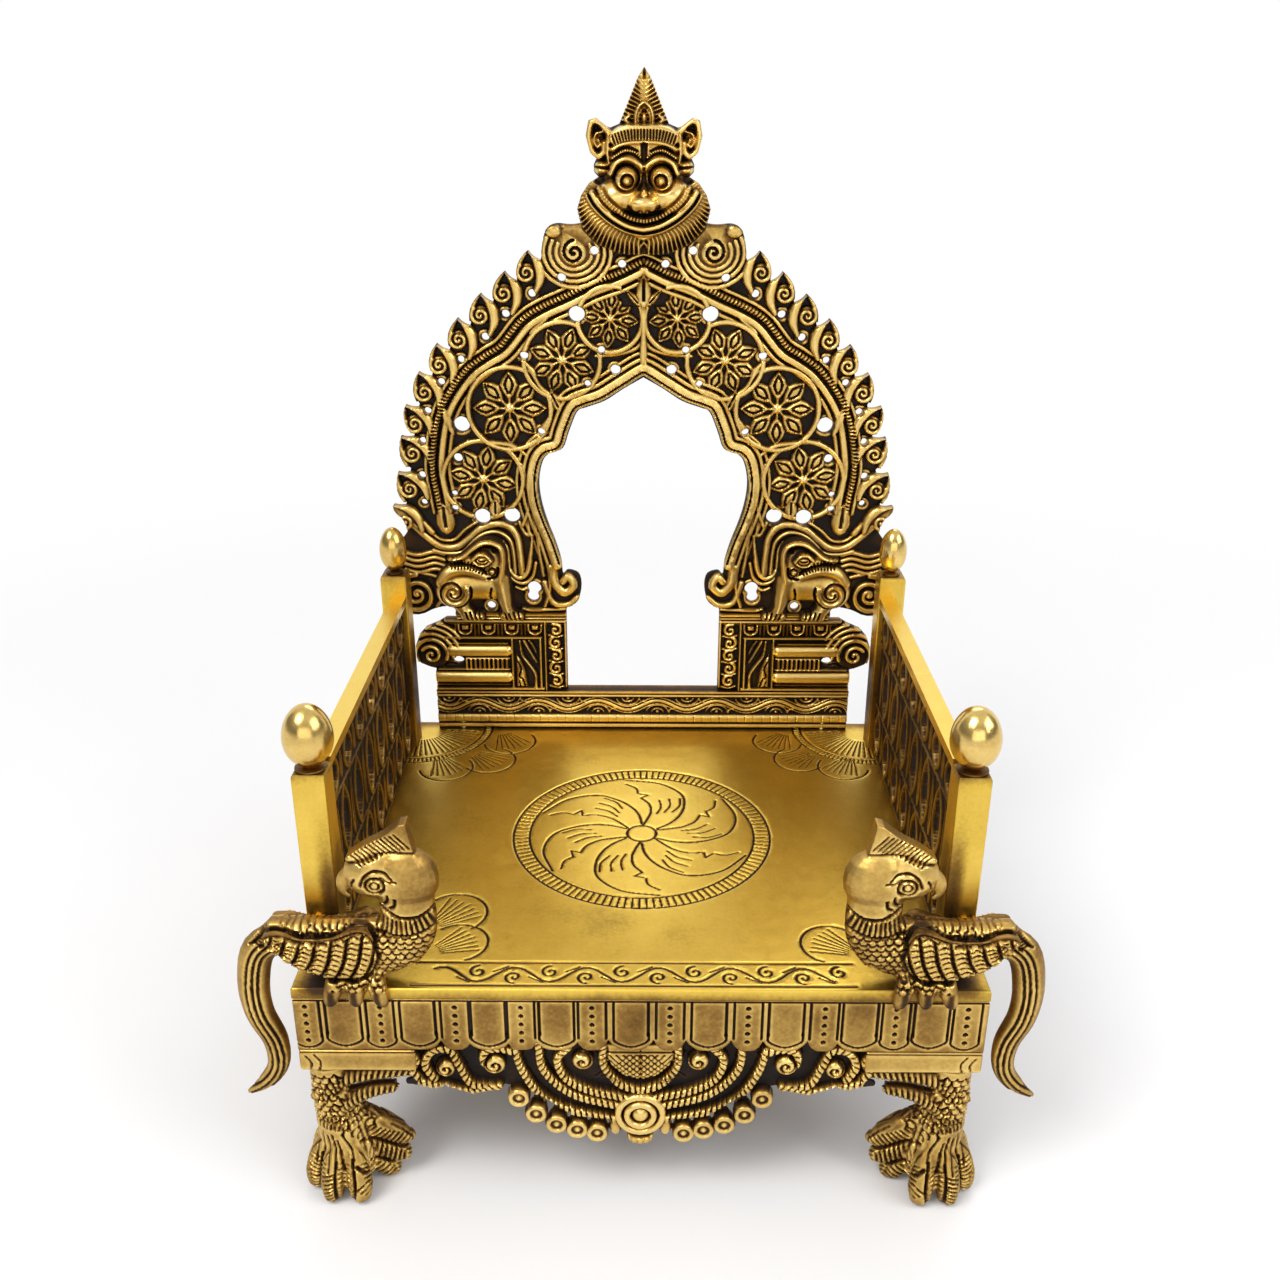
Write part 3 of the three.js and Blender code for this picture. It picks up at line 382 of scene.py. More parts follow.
    def sink(self, x, z, radius, depth):
        self.press(*self.oval(x, z, radius, radius), depth, 2)

    def area(self, polygon, height, bevel, base=0.0, shine=0.0):
        """A raised area with a rounded edge."""
        window = self.window(polygon, 0)
        gap = self.signed(polygon, window)
        self.lift(window, gap, base + height * np.clip(gap / bevel, 0, 1) ** 0.5, shine, 0)

    def block(self, x0, x1, z0, z1, *values):
        self.area(rectangle(x0, x1, z0, z1), *values)

    def disc(self, x, z, radius, *values):
        self.area(circle(x, z, radius), *values)

    def pool(self, x, z, radius, height):
        self.level(circle(x, z, radius), height)

    def ticks(self, points, pitch, length, radius, depth, slant=0.0):
        """Short grooves across a line."""
        q, along = resample(points, pitch)
        for at, way in zip(q, along):
            side = square_to(way) + slant * way
            self.groove([at - side * length / 2, at + side * length / 2], radius, depth)

    def comb(self, points, *values):
        self.ticks(smooth_line(points, 6), *values)

    def leaf(self, x0, z0, x1, z1, width, height, base=0.0, veins=True, shine=0.0):
        """A petal from its foot to its tip, with a groove along its middle."""
        a, b = np.array([x0, z0]), np.array([x1, z1])
        path = [a + t * (b - a) for t in np.linspace(0, 1, len(leaf_width_shares))]
        self.line(path, width / 2 * np.array(leaf_width_shares), height, base, shine=shine)
        if veins:
            low, high, wide, deep = leaf_vein_shares
            self.groove([a + low * (b - a), a + high * (b - a)], width * wide, height * deep)

    def scales(self, points, width, pitch, size, depth):
        """Rows of overlapping round scales along a line, laid from its end towards its start."""
        q, along = resample(smooth_line(points, 4), pitch)
        gap = size * scale_shares["gap"]
        rim_angles = np.linspace(*scale_shares["sweep"], 7)
        for row, (at, way, half) in enumerate(zip(q, along, spread(width, len(q)))):
            side = square_to(way)
            count = max(int(round(2 * half / gap)), 1)
            for k in range(count + 1):
                spot = at + side * (k - count / 2 + (row % 2) * 0.5) * gap
                wide = scale_shares["wide"] * np.cos(rim_angles)[:, None] * side
                low = scale_shares["low"] * np.sin(rim_angles)[:, None] * way
                self.groove(spot + size * (wide - low), size * np.array(scale_shares["line"]), depth)

    def patina(self):
        """How much dark patina the recesses hold: 0 rubbed bright, 1 dark."""
        mask = (self.inside > 0).astype(float)
        out = np.zeros_like(self.height)
        for reach, depth, low, high in cavity_shares:
            cells = reach / self.step
            weight = np.maximum(blur(mask, cells), least_weight)
            around = blur(self.height * mask, cells) / weight
            out += np.clip((around - self.height) / (depth * self.relief_scale), low, high)
        return np.clip(plain_patina + out - blur(self.shine, 3) + self.dark, 0, 1)


def draw(c, rows):
    """Carves rows of strokes: the canvas method, then its values."""
    for kind, *values in rows:
        getattr(c, kind)(*values)


# Meshes from a canvas


def clean_cells(cells):
    """Fills corners where two cells touch only diagonally, so that the edge is one line."""
    for _ in range(6):
        a, b = cells[:-1, :-1], cells[:-1, 1:]
        c, d = cells[1:, :-1], cells[1:, 1:]
        first = a & d & ~b & ~c
        second = b & c & ~a & ~d
        if not (first.any() or second.any()):
            break
        cells[:-1, 1:] |= first
        cells[:-1, :-1] |= second
    return cells


def edge_loops(cells, index):
    """Directed boundary loops of the kept cells, as grid vertex numbers, with the kept side on the left."""
    padded = np.pad(cells, 1)
    rows, cols = np.nonzero(cells)
    sides = (
        (-1, 0, (0, 0), (0, 1)),
        (0, 1, (0, 1), (1, 1)),
        (1, 0, (1, 1), (1, 0)),
        (0, -1, (1, 0), (0, 0)),
    )
    follow = {}
    for dr, dc, start, end in sides:
        free = ~padded[rows + 1 + dr, cols + 1 + dc]
        r, c = rows[free], cols[free]
        starts, ends = index[r + start[0], c + start[1]], index[r + end[0], c + end[1]]
        follow.update(zip(starts.tolist(), ends.tolist()))
    loops = []
    while follow:
        first, at = next(iter(follow.items()))
        loop = [first]
        del follow[first]
        while at != first:
            loop.append(at)
            at = follow.pop(at)
        loops.append(loop)
    return loops


def relief_mesh(name, canvas, place, thickness, both=False, keep=1.0):
    """A closed plate with relief in front or on both faces; place maps shares and a height to metres."""
    inside = canvas.inside
    centre = (inside[:-1, :-1] + inside[1:, :-1] + inside[:-1, 1:] + inside[1:, 1:]) / 4
    cells = clean_cells(centre > 0)
    index = np.arange(canvas.X.size).reshape(canvas.X.shape)
    loops = edge_loops(cells, index)
    flat = np.concatenate(loops)
    X, Z = canvas.X.copy(), canvas.Z.copy()
    slope_z, slope_x = np.gradient(inside, canvas.step)
    size = np.maximum(slope_x**2 + slope_z**2, least_slope)
    on_edge = np.unravel_index(flat, X.shape)
    shift = np.clip(inside / size, -canvas.step, canvas.step)
    X[on_edge] -= (shift * slope_x)[on_edge]
    Z[on_edge] -= (shift * slope_z)[on_edge]
    fall = np.clip(1 - inside * unit / edge_round, 0, 1) ** 2 * edge_round
    rows, cols = np.nonzero(cells)
    corners = [index[rows, cols], index[rows, cols + 1], index[rows + 1, cols + 1], index[rows + 1, cols]]
    quads = np.stack(corners, 1)
    used = np.unique(quads)
    number = np.full(X.size, -1)
    number[used] = np.arange(len(used))
    quads = number[quads]
    rings = [number[np.array(loop)] for loop in loops]
    height = (canvas.height * unit - fall).ravel()[used]
    patina = canvas.patina().ravel()[used]
    X, Z = X.ravel(), Z.ravel()
    front = place(X[used], Z[used], height)
    if both:
        back = place(X[used], Z[used], -thickness - height)
        lows = [edge + len(front) for edge in rings]
        cover = (quads[:, ::-1] + len(front)).tolist()
        values = np.tile(patina, 2)
    else:
        back = place(X[flat], Z[flat], np.full(len(flat), -thickness))
        starts = len(front) + np.cumsum([0] + [len(loop) for loop in loops])
        lows = [start + np.arange(len(loop)) for start, loop in zip(starts, loops)]
        lines = [[Vector((X[v], Z[v], 0)) for v in loop] for loop in loops]
        cover = (np.array(tessellate_polygon(lines)) + len(front)).tolist()
        values = np.concatenate([patina, np.full(len(back), back_patina)])
    walls = [np.stack([np.roll(edge, -1), edge, low, np.roll(low, -1)], 1) for edge, low in zip(rings, lows)]
    faces = quads.tolist() + np.vstack(walls).tolist() + cover
    return finished(name, made_mesh(name, np.vstack([front, back]), faces), values, keep)


def made_mesh(name, vertices, faces):
    mesh = bpy.data.meshes.new(name)
    mesh.from_pydata(np.asarray(vertices).tolist(), [], faces)
    return mesh


def placed(name, data):
    """A new object in the scene."""
    made = bpy.data.objects.new(name, data)
    bpy.context.scene.collection.objects.link(made)
    return made


def face_outwards(mesh):
    work = bmesh.new()
    work.from_mesh(mesh)
    bmesh.ops.recalc_face_normals(work, faces=work.faces)
    work.to_mesh(mesh)
    work.free()


def finished(name, mesh, patina, keep=1.0):
    """An object from a mesh, with its patina stored, faces turned outwards and smooth shading."""
    face_outwards(mesh)
    attribute = mesh.attributes.new("patina", "FLOAT", "POINT")
    attribute.data.foreach_set("value", np.asarray(patina, np.float32))
    piece = placed(name, mesh)
    if keep < 1:
        thinning = piece.modifiers.new("thinning", "DECIMATE")
        thinning.ratio = keep
        piece.data = applied(piece)
    piece.data.shade_smooth()
    piece.data.set_sharp_from_angle(angle=sharp_angle)
    return piece


def applied(piece):
    """The piece's mesh with its modifiers applied."""
    shown = piece.evaluated_get(bpy.context.evaluated_depsgraph_get())
    mesh = bpy.data.meshes.new_from_object(shown)
    piece.modifiers.clear()
    return mesh


def face_place(front, side=1):
    """From shares and a height towards the viewer to metres, on an upright plane; side -1 mirrors it."""
    return lambda x, z, height: np.stack([side * x * unit, front - height, z * unit + band_top], 1)


# Arch: an openwork back plate with a smooth rim, roundels, a rope line, flames and wings

arch_frame_shares = (-1.0, 1.0, 0.5, 2.03)
arch_ground_share = -0.016
arch_foot_shares = [(0.295, 0.5105), (0.715, 0.5105)]
wing_shares = [
    (0.73, 0.56), (0.8, 0.545), (0.86, 0.52), (0.93, 0.525), (0.98, 0.565), (0.99, 0.64), (0.975, 0.72),
    (0.93, 0.8), (0.885, 0.865), (0.9, 0.92),
]
flame_tip_shares = [
    (0.93, 0.965), (0.905, 1.09), (0.885, 1.225), (0.86, 1.34), (0.805, 1.46), (0.735, 1.56), (0.655, 1.65),
    (0.57, 1.735), (0.483, 1.81), (0.4, 1.88),
]
notch_shares = (0.054, 0.012)
flame_bulge_shares = (0.16, -0.1)
outer_edge_shares = [(0.004, -0.01), (0.009, -0.04), (0.016, -0.072), (0.036, -0.1)]
outer_edge_line_shares = ([0.004, 0.009, 0.0105, 0.009], 0.02, -0.004, 0.1, 0.06)
crescent_shares = [(0.006, 0.0), (0.036, 0.004), (0.072, -0.008), (0.102, -0.034), (0.122, -0.074)]
crescent_line_shares = ([0.004, 0.015, 0.02, 0.018, 0.009], 0.024, -0.004, 0.1, 0.14)
curl_shares = {"at": (0.052, -0.052), "radius": 0.033, "turns": -1.55, "inner": 0.1, "dome": (0.014, -0.004)}
curl_line_shares = ([0.009, 0.006], 0.02, -0.002, 0.1, 0.1)
crown_shares = [
    (0.345, 1.925), (0.33, 1.955), (0.3, 1.968), (0.25, 1.965), (0.2, 1.972), (0.12, 1.99), (0, 2.02),
]
opening_shares = [
    (0.295, 0.4), (0.295, 0.55), (0.25, 0.585), (0.235, 0.64), (0.245, 0.69), (0.285, 0.705), (0.305, 0.69),
    (0.31, 0.745), (0.33, 0.82), (0.36, 0.905), (0.38, 0.985), (0.385, 1.06), (0.37, 1.13), (0.345, 1.16),
    (0.295, 1.18), (0.27, 1.245), (0.24, 1.315), (0.21, 1.33), (0.14, 1.355), (0.07, 1.4), (0, 1.44),
]
rim_shares = [
    (0.325, 0.735), (0.35, 0.82), (0.382, 0.905), (0.405, 0.985), (0.41, 1.06), (0.395, 1.14),
    (0.365, 1.18), (0.315, 1.2), (0.293, 1.26), (0.26, 1.335), (0.225, 1.357), (0.155, 1.382),
    (0.08, 1.428), (0, 1.475), (-0.03, 1.46),
]
rim_band_shares = [
    (-0.034, 0.0095, 0.02, -0.01, 0.2, 0.06),
    (-0.056, 0.008, 0.018, -0.012, 0.2, 0.02),
    (0.0, 0.023, 0.022, -0.006, 0.5, 0.18),
]
rim_groove_shares = (0.009, 0.0032, 0.014)
rope_shares = [
    (0.755, 0.94), (0.763, 1.0), (0.775, 1.1), (0.765, 1.2), (0.742, 1.3), (0.7, 1.385), (0.63, 1.473),
    (0.56, 1.523), (0.505, 1.558), (0.43, 1.645), (0.36, 1.69), (0.27, 1.73), (0.18, 1.773), (0.09, 1.805),
    (0, 1.845), (-0.03, 1.83),
]
rope_band_shares = [
    (-0.024, 0.0075, 0.014, -0.006, 0.2, 0.06),
    (0.0, 0.0125, 0.022, -0.008, 0.1, 0.12),
    (0.034, 0.014, 0.02, -0.01, 0.3, 0.12),
    (0.062, 0.009, 0.018, -0.012, 0.2, 0.0),
]
rope_tick_shares = (0.0135, 0.024, 0.0036, 0.012, 0.15)
roundel_shares = [
    (0.59, 1.065, 0.147, 0.2), (0.483, 1.33, 0.15, 0.0), (0.29, 1.503, 0.136, 0.35),
    (0.118, 1.648, 0.115, 0.1),
]
roundel_ground_shares = (0.97, -0.018)
roundel_line_shares = (0.011, 0.022, -0.01, 0.2, 0.1)
roundel_flower_shares = (0.93, -0.014)
petal_count = 8
petal_shares = [(0.18, 0), (0.4, 0.18), (0.6, 0.265), (0.77, 0.2), (1.02, 0)]
petal_height_shares = (0.018, 0.01)
inner_petal_shares = [(0.36, 0), (0.5, 0.07), (0.62, 0.105), (0.74, 0.065), (0.86, 0)]
petal_groove_shares = (0.0048, 0.011)
petal_vein_shares = (0.06, 0.36)
petal_line_shares = (0.006, 0.016)
boss_shares = (0.15, 0.024, 0.2)
hole_shares = [
    (0.66, 1.27, 0.029), (0.235, 1.665, 0.028), (0.6, 0.92, 0.03), (0.49, 0.925, 0.03), (0.7, 0.955, 0.014),
    (0.805, 1.21, 0.013), (0.78, 1.32, 0.013), (0.725, 1.425, 0.013), (0.65, 1.505, 0.013),
    (0.56, 1.585, 0.014), (0.485, 1.665, 0.014), (0.39, 1.735, 0.014), (0.285, 1.79, 0.015),
    (0.17, 1.88, 0.015), (0.075, 1.835, 0.014), (0.815, 1.08, 0.014), (0.815, 0.975, 0.012),
    (0.42, 0.6, 0.022), (0.415, 0.635, 0.026), (0.583, 0.562, 0.017), (0.37, 1.245, 0.014),
    (0.1, 1.47, 0.018), (0.2, 1.42, 0.012), (0.425, 1.52, 0.015), (0.15, 1.54, 0.013), (0.68, 1.145, 0.017),
    (0.7, 1.01, 0.012),
]
hole_line_shares = (0.006, 0.008, 0.006, -0.008)
wing_stroke_shares = [
    ("curve", [(0.46, 0.7), (0.464, 0.78), (0.472, 0.842), (0.502, 0.884), (0.55, 0.895), (0.61, 0.875),
        (0.66, 0.832), (0.705, 0.803), (0.76, 0.805), (0.81, 0.84), (0.855, 0.885),
        (0.905, 0.93)], 0.0145, 0.02, -0.008, 0.2, 0.1),
    ("curve", [(0.484, 0.7), (0.49, 0.79), (0.503, 0.834), (0.542, 0.862), (0.59, 0.858), (0.636, 0.83),
        (0.68, 0.784), (0.74, 0.778), (0.79, 0.79)], 0.0095, 0.018, -0.008, 0.1, 0.08),
    ("curve", [(0.506, 0.7), (0.51, 0.79), (0.528, 0.825)], 0.008, 0.018, -0.008, 0.1, 0.05),
    ("curve", [(0.545, 0.918), (0.6, 0.912), (0.665, 0.872), (0.71, 0.832), (0.76, 0.832),
        (0.8, 0.865)], 0.0075, 0.016, -0.01),
    ("curve", [(0.415, 0.85), (0.423, 0.78), (0.436, 0.71), (0.462, 0.682), (0.49, 0.69),
        (0.504, 0.712)], [0.006, 0.0115, 0.0105, 0.0095], 0.02, -0.006, 0.1, 0.15),
    ("curve", [(0.405, 0.74), (0.418, 0.688), (0.448, 0.66), (0.482, 0.664),
        (0.505, 0.685)], 0.0085, 0.018, -0.008, 0.1, 0.08),
    ("curve", [(0.438, 0.64), (0.46, 0.632), (0.485, 0.642)], 0.0075, 0.016, -0.008),
    ("curve", [(0.392, 0.86), (0.375, 0.79), (0.362, 0.735), (0.354, 0.68), (0.358, 0.62),
        (0.375, 0.565)], 0.0085, 0.018, -0.008, 0.1, 0.05),
    ("curve", [(0.41, 0.93), (0.398, 0.86), (0.392, 0.79), (0.385, 0.74),
        (0.378, 0.69)], 0.0085, 0.018, -0.008, 0.1, 0.05),
    ("curve", [(0.435, 0.93), (0.427, 0.88), (0.43, 0.85), (0.445, 0.86),
        (0.462, 0.9)], 0.008, 0.016, -0.01),
    ("curve", [(0.79, 0.86), (0.83, 0.9), (0.89, 0.925), (0.93, 0.965)], [0.012, 0.02], 0.014, -0.002),
    ("curve", [(0.9, 0.76), (0.95, 0.7), (0.965, 0.63), (0.945, 0.56), (0.88, 0.54)], 0.013, 0.014, -0.004),
    ("curve", [(0.775, 0.68), (0.82, 0.693), (0.87, 0.69), (0.92, 0.66)], 0.0085, 0.016, -0.008, 0.1, 0.05),
    ("curve", [(0.755, 0.64), (0.765, 0.6), (0.79, 0.565)], 0.0085, 0.016, -0.008),
    ("leaf", 0.735, 0.865, 0.745, 0.975, 0.075, 0.022, -0.006, True, 0.08),
    ("leaf", 0.55, 0.925, 0.55, 0.99, 0.05, 0.02, -0.006, True, 0.08),
    ("curve", [(0.345, 0.72), (0.335, 0.66), (0.3, 0.62), (0.265, 0.65), (0.285, 0.685),
        (0.305, 0.665)], [0.02, 0.014], 0.016, -0.002, 0.2, 0.15),
    ("curve", [(0.375, 0.66), (0.345, 0.58), (0.29, 0.57), (0.25, 0.6)], 0.012, 0.014, -0.004, 0.1, 0.05),
    ("line", [(0.3, 0.528), (0.72, 0.528)], 0.0065, 0.014, -0.004, 0.2, 0.15),
    ("line", [(0.3, 0.513), (0.72, 0.513)], 0.0055, 0.014, -0.004, 0.2, 0.15),
    ("curve", [(0.3, 0.553), (0.36, 0.55), (0.43, 0.548), (0.46, 0.555)], 0.007, 0.014, -0.006, 0.2, 0.05),
]
stripe_shares = [0.705, 0.728, 0.751, 0.774]
stripe_path_shares = [(0.75, 0), (0.79, 0.01), (0.85, -0.004), (0.9, 0.008)]
stripe_line_shares = (0.0088, 0.016, -0.007, 0.1, 0.05)
wing_curl_shares = [
    ("pool", 0.865, 0.615, 0.082, -0.012),
    ("scroll", (0.865, 0.612, 0.08, -2.2, 1.6, 0.1, 60), [0.0125, 0.008], 0.02, -0.008, 0.2, 0.1),
    ("dome", 0.865, 0.612, 0.015, 0.015, 0.018, -0.004, 0, 0.1),
]
arch_leaf_shares = [
    ("level", [(0.075, 1.69), (0.075, 1.79), (-0.075, 1.79), (-0.075, 1.69)], -0.018),
    ("line", [(0, 1.49), (0, 1.7)], [0.018, 0.01, 0.0095], 0.024, -0.01, 0.1, 0.1),
    ("leaf", 0, 1.695, 0, 1.8, 0.058, 0.03, -0.008, True, 0.1),
    ("leaf", 0.01, 1.695, 0.062, 1.75, 0.032, 0.024, -0.01, True, 0.05),
    ("curve", [(0.0, 1.58), (0.03, 1.545), (0.1, 1.525), (0.17, 1.52)], [0.012, 0.008], 0.02, -0.012),
    ("leaf", 0.3, 1.325, 0.335, 1.395, 0.045, 0.022, -0.01, True, 0.05),
    ("leaf", 0.385, 1.2, 0.345, 1.3, 0.034, 0.022, -0.01, False, 0.05),
    ("leaf", 0.69, 1.235, 0.735, 1.36, 0.038, 0.022, -0.01, False, 0.08),
    ("leaf", 0.4, 1.6, 0.33, 1.66, 0.03, 0.02, -0.01, False, 0.05),
    ("leaf", 0.6, 1.44, 0.66, 1.4, 0.034, 0.02, -0.01, False, 0.05),
    ("leaf", 0.385, 1.44, 0.42, 1.5, 0.03, 0.02, -0.01, False, 0.05),
    ("leaf", 0.43, 1.03, 0.445, 1.13, 0.034, 0.02, -0.01, False, 0.05),
    ("curve", [(0.43, 1.16), (0.47, 1.19), (0.55, 1.205), (0.64, 1.21)], [0.008, 0.011, 0.008], 0.02, -0.01),
    ("curve", [(0.34, 1.385), (0.37, 1.41), (0.4, 1.46), (0.43, 1.475)], 0.009, 0.02, -0.01),
    ("curve", [(0.42, 0.99), (0.43, 0.94), (0.45, 0.89)], 0.01, 0.02, -0.01),
]
crown_scroll_shares = [
    ("disc", 0.24, 1.875, 0.1, 0.008, 0.02, 0, 0.05),
    ("bow", (0.24, 1.875, 0.062, -3.6, 0.5, 16, 0.92), 0.0085, 0.012, 0.002, 0.2, 0.05),
    ("bow", (0.24, 1.875, 0.084, -3.6, 0.5, 16, 0.92), 0.0085, 0.012, 0.002, 0.2, 0.05),
    ("bow", (0.24, 1.875, 0.106, -3.6, 0.5, 16, 0.92), 0.0085, 0.012, 0.002, 0.2, 0.05),
    ("bow", (0.24, 1.875, 0.128, -3.6, 0.5, 16, 0.92), 0.0085, 0.012, 0.002, 0.2, 0.05),
    ("dome", 0.24, 1.875, 0.045, 0.045, 0.016, 0.004, 0, 0.15),
    ("wind", (0.24, 1.875, 0.04, -1.6, 1.5, 0.05), 0.006, 0.016),
    ("dome", 0.31, 1.945, 0.028, 0.024, 0.016, 0.004, 0, 0.15),
]


def flames():
    """Each flame's tip, with the ways inwards and along the row."""
    tips = np.array(flame_tip_shares)
    along = directions(tips)
    return list(zip(tips, square_to(along), along))


def arch_outline():
    outer = tuples(smooth_line(wing_shares, 5))
    before = wing_shares[-1]
    for tip, inwards, along in flames():
        notch = tip + notch_shares[0] * inwards + notch_shares[1] * along
        outer += tuples(bulged(before, tip, flame_bulge_shares[0]))
        outer += tuples(bulged(tip, notch, flame_bulge_shares[1]))
        before = tuple(notch)
    outer += tuples(smooth_line([before] + crown_shares, 5))
    return mirrored(arch_foot_shares + outer)


def draw_flower(c, x, z, radius, turn, base):
    """Pointed petals with an inner leaf each, round a boss."""
    at = np.array([x, z])
    for k in range(petal_count):
        angle = turn + 2 * math.pi * k / petal_count
        out = np.array([math.cos(angle), math.sin(angle)])

        def petal(rows):
            right = [at + radius * (reach * out + wide * square_to(out)) for reach, wide in rows]
            left = [at + radius * (reach * out - wide * square_to(out)) for reach, wide in rows[1:-1]]
            return right + left[::-1]

        c.area(petal(petal_shares), *petal_height_shares, base)
        c.groove(closed(np.array(petal(inner_petal_shares))), *petal_groove_shares)
        c.line([at + radius * share * out for share in petal_vein_shares], *petal_line_shares, base)
    size, height, shine = boss_shares
    c.dome(x, z, radius * size, radius * size, height, base, shine=shine)


def draw_roundel(c, x, z, radius, turn):
    size, depth = roundel_ground_shares
    c.pool(x, z, radius * size, depth)
    c.line(ring(x, z, radius), *roundel_line_shares)
    size, base = roundel_flower_shares
    draw_flower(c, x, z, radius * size, turn, base)


def draw_flame(c, tip, inwards, along):
    """A pointed leaf: a smooth crescent on its inner side, and a curl behind its outer edge."""

    def at(rows):
        return [tip + a * inwards + b * along for a, b in rows]

    c.curve(at(outer_edge_shares), *outer_edge_line_shares)
    c.curve(at(crescent_shares), *crescent_line_shares)
    x, z = at([curl_shares["at"]])[0]
    radius = curl_shares["radius"]
    start = math.atan2(-inwards[1], -inwards[0])
    c.dome(x, z, radius, radius, *curl_shares["dome"])
    c.scroll((x, z, radius, curl_shares["turns"], start, curl_shares["inner"]), *curl_line_shares)


def arch():
    c = Canvas(*arch_frame_shares, arch_step)
    c.ground(arch_ground_share, open_patina)
    c.add_outline(arch_outline())
    c.cut_outline(mirrored(opening_shares[:1] + tuples(smooth_line(opening_shares[1:], 4))))
    for flame in flames():
        draw_flame(c, *flame)
    for roundel in roundel_shares:
        draw_roundel(c, *roundel)
    draw(c, arch_leaf_shares)
    rope, rim = smooth_line(rope_shares, 8), smooth_line(rim_shares, 8)
    for line, rows in ((rope, rope_band_shares), (rim, rim_band_shares)):
        for offset, *values in rows:
            c.line(beside(line, offset), *values)
    c.ticks(rope, *rope_tick_shares)
    offset, *values = rim_groove_shares
    c.groove(beside(rim, offset), *values)
    draw(c, crown_scroll_shares)
    draw(c, wing_stroke_shares)
    for z in stripe_shares:
        c.curve(shifted(stripe_path_shares, 0, z), *stripe_line_shares)
    draw(c, wing_curl_shares)
    margin, *values = hole_line_shares
    for x, z, radius in hole_shares:
        c.line(ring(x, z, radius + margin, 20), *values)
        c.pierce(x, z, radius, radius)
    c.mirror()
    c.dark += dark_shares["arch"]
    place = face_place(plate_front)
    return relief_mesh("arch_carving", c, place, plate_back - plate_front, keep=keep_shares["arch"])


# Lions: a crouching lion with a curled snout on each wing

lion_frame_shares = (0.43, 0.81, 0.5, 0.87)
lion_limb_shares = [
    ([(0.57, 0.68), (0.62, 0.708), (0.68, 0.722), (0.735, 0.706), (0.765, 0.67)], [0.03, 0.03, 0.03, 0.03,
        0.026], 0.042),
    ([(0.565, 0.655), (0.63, 0.652), (0.7, 0.65)], [0.06, 0.058, 0.06], 0.046),
    ([(0.712, 0.632), (0.722, 0.632)], [0.07, 0.07], 0.048),
    ([(0.7, 0.6), (0.685, 0.56), (0.665, 0.54)], [0.04, 0.032, 0.026], 0.04),
    ([(0.542, 0.682), (0.53, 0.63), (0.52, 0.575), (0.505, 0.54)], [0.042, 0.034, 0.027, 0.024], 0.05),
    ([(0.472, 0.53), (0.53, 0.533)], [0.021, 0.024], 0.04),
    ([(0.622, 0.53), (0.68, 0.533)], [0.021, 0.024], 0.04),
    ([(0.562, 0.745), (0.6, 0.768), (0.65, 0.758)], [0.048, 0.05, 0.032], 0.04),
    ([(0.54, 0.68), (0.526, 0.755), (0.53, 0.808), (0.56, 0.832), (0.6, 0.832), (0.636, 0.81),
        (0.68, 0.775), (0.73, 0.765)], [0.018, 0.016, 0.015, 0.015, 0.015, 0.014, 0.012, 0.008], 0.054),
]
lion_swell_share = 1.02
lion_line_shares = (0.004, 0, 0.12)
lion_floor_share = 0.003
lion_scroll_shares = [
    ("scroll", (0.717, 0.634, 0.056, 1.6, 2.8, 0.08), [0.0135, 0.009], 0.014, 0.046, 0.2, 0.25),
    ("wind", (0.717, 0.634, 0.07, 1.55, 2.8, 0.12), 0.0055, 0.02),
]
lion_stroke_shares = [
    ("dome", 0.6, 0.771, 0.021, 0.014, 0.02, 0.055, 0, 0.15),
    ("curve", [(0.568, 0.768), (0.585, 0.79), (0.613, 0.793), (0.636, 0.774)], 0.0065, 0.018, 0.055, 0.1,
        0.2),
    ("curve", [(0.57, 0.764), (0.59, 0.751), (0.617, 0.752), (0.636, 0.77)], 0.0055, 0.016, 0.052, 0.1, 0.1),
    ("cut", [(0.59, 0.772), (0.613, 0.772)], 0.004, 0.012),
    ("cut", [(0.545, 0.8), (0.575, 0.812), (0.61, 0.81), (0.65, 0.785)], 0.0045, 0.016),
    ("dome", 0.567, 0.722, 0.021, 0.021, 0.024, 0.036, 0, 0.1),
    ("ring", 0.567, 0.722, 0.013, 0.004, 0.016),
    ("cut", [(0.59, 0.712), (0.625, 0.735), (0.67, 0.745), (0.725, 0.742)], 0.006, 0.022),
    ("comb", [(0.6, 0.722), (0.65, 0.742), (0.72, 0.744)], 0.012, 0.03, 0.0032, 0.012),
    ("cut", [(0.572, 0.655), (0.578, 0.625), (0.576, 0.59)], 0.0045, 0.018),
    ("cut", [(0.545, 0.735), (0.552, 0.7), (0.585, 0.692)], 0.005, 0.02),
    ("ring", 0.557, 0.8, 0.0075, 0.003, 0.012),
]
lion_foot_shares = [0.466, 0.616]
lion_claw_shares = [(0, 0.51), (0.012, 0.552)]
lion_claw_pitch_share = 0.016
lion_claw_line_shares = (0.0038, 0.02)


def lion(side, name):
    c = Canvas(*lion_frame_shares, fine_step, etch_shares["lion"])
    for points, radii, height in lion_limb_shares:
        path = smooth_line(points, 6)
        c.add_limb(path, radii)
        c.line(path, np.array(radii) * lion_swell_share, height, *lion_line_shares)
    c.height = blur(np.maximum(c.height, lion_floor_share), 3)
    draw(c, lion_scroll_shares)
    draw(c, lion_stroke_shares)
    for foot in lion_foot_shares:
        for k in range(4):
            c.groove(shifted(lion_claw_shares, foot + k * lion_claw_pitch_share, 0), *lion_claw_line_shares)
    c.dark += dark_shares["lion"]
    place = face_place(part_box(name)[1].y - relief_base, side)
    return relief_mesh(name + "_carving", c, place, relief_base - hair_gap)


# Pedestals: a chain strip, a leaf panel, rolls, a frieze of swags and a volute

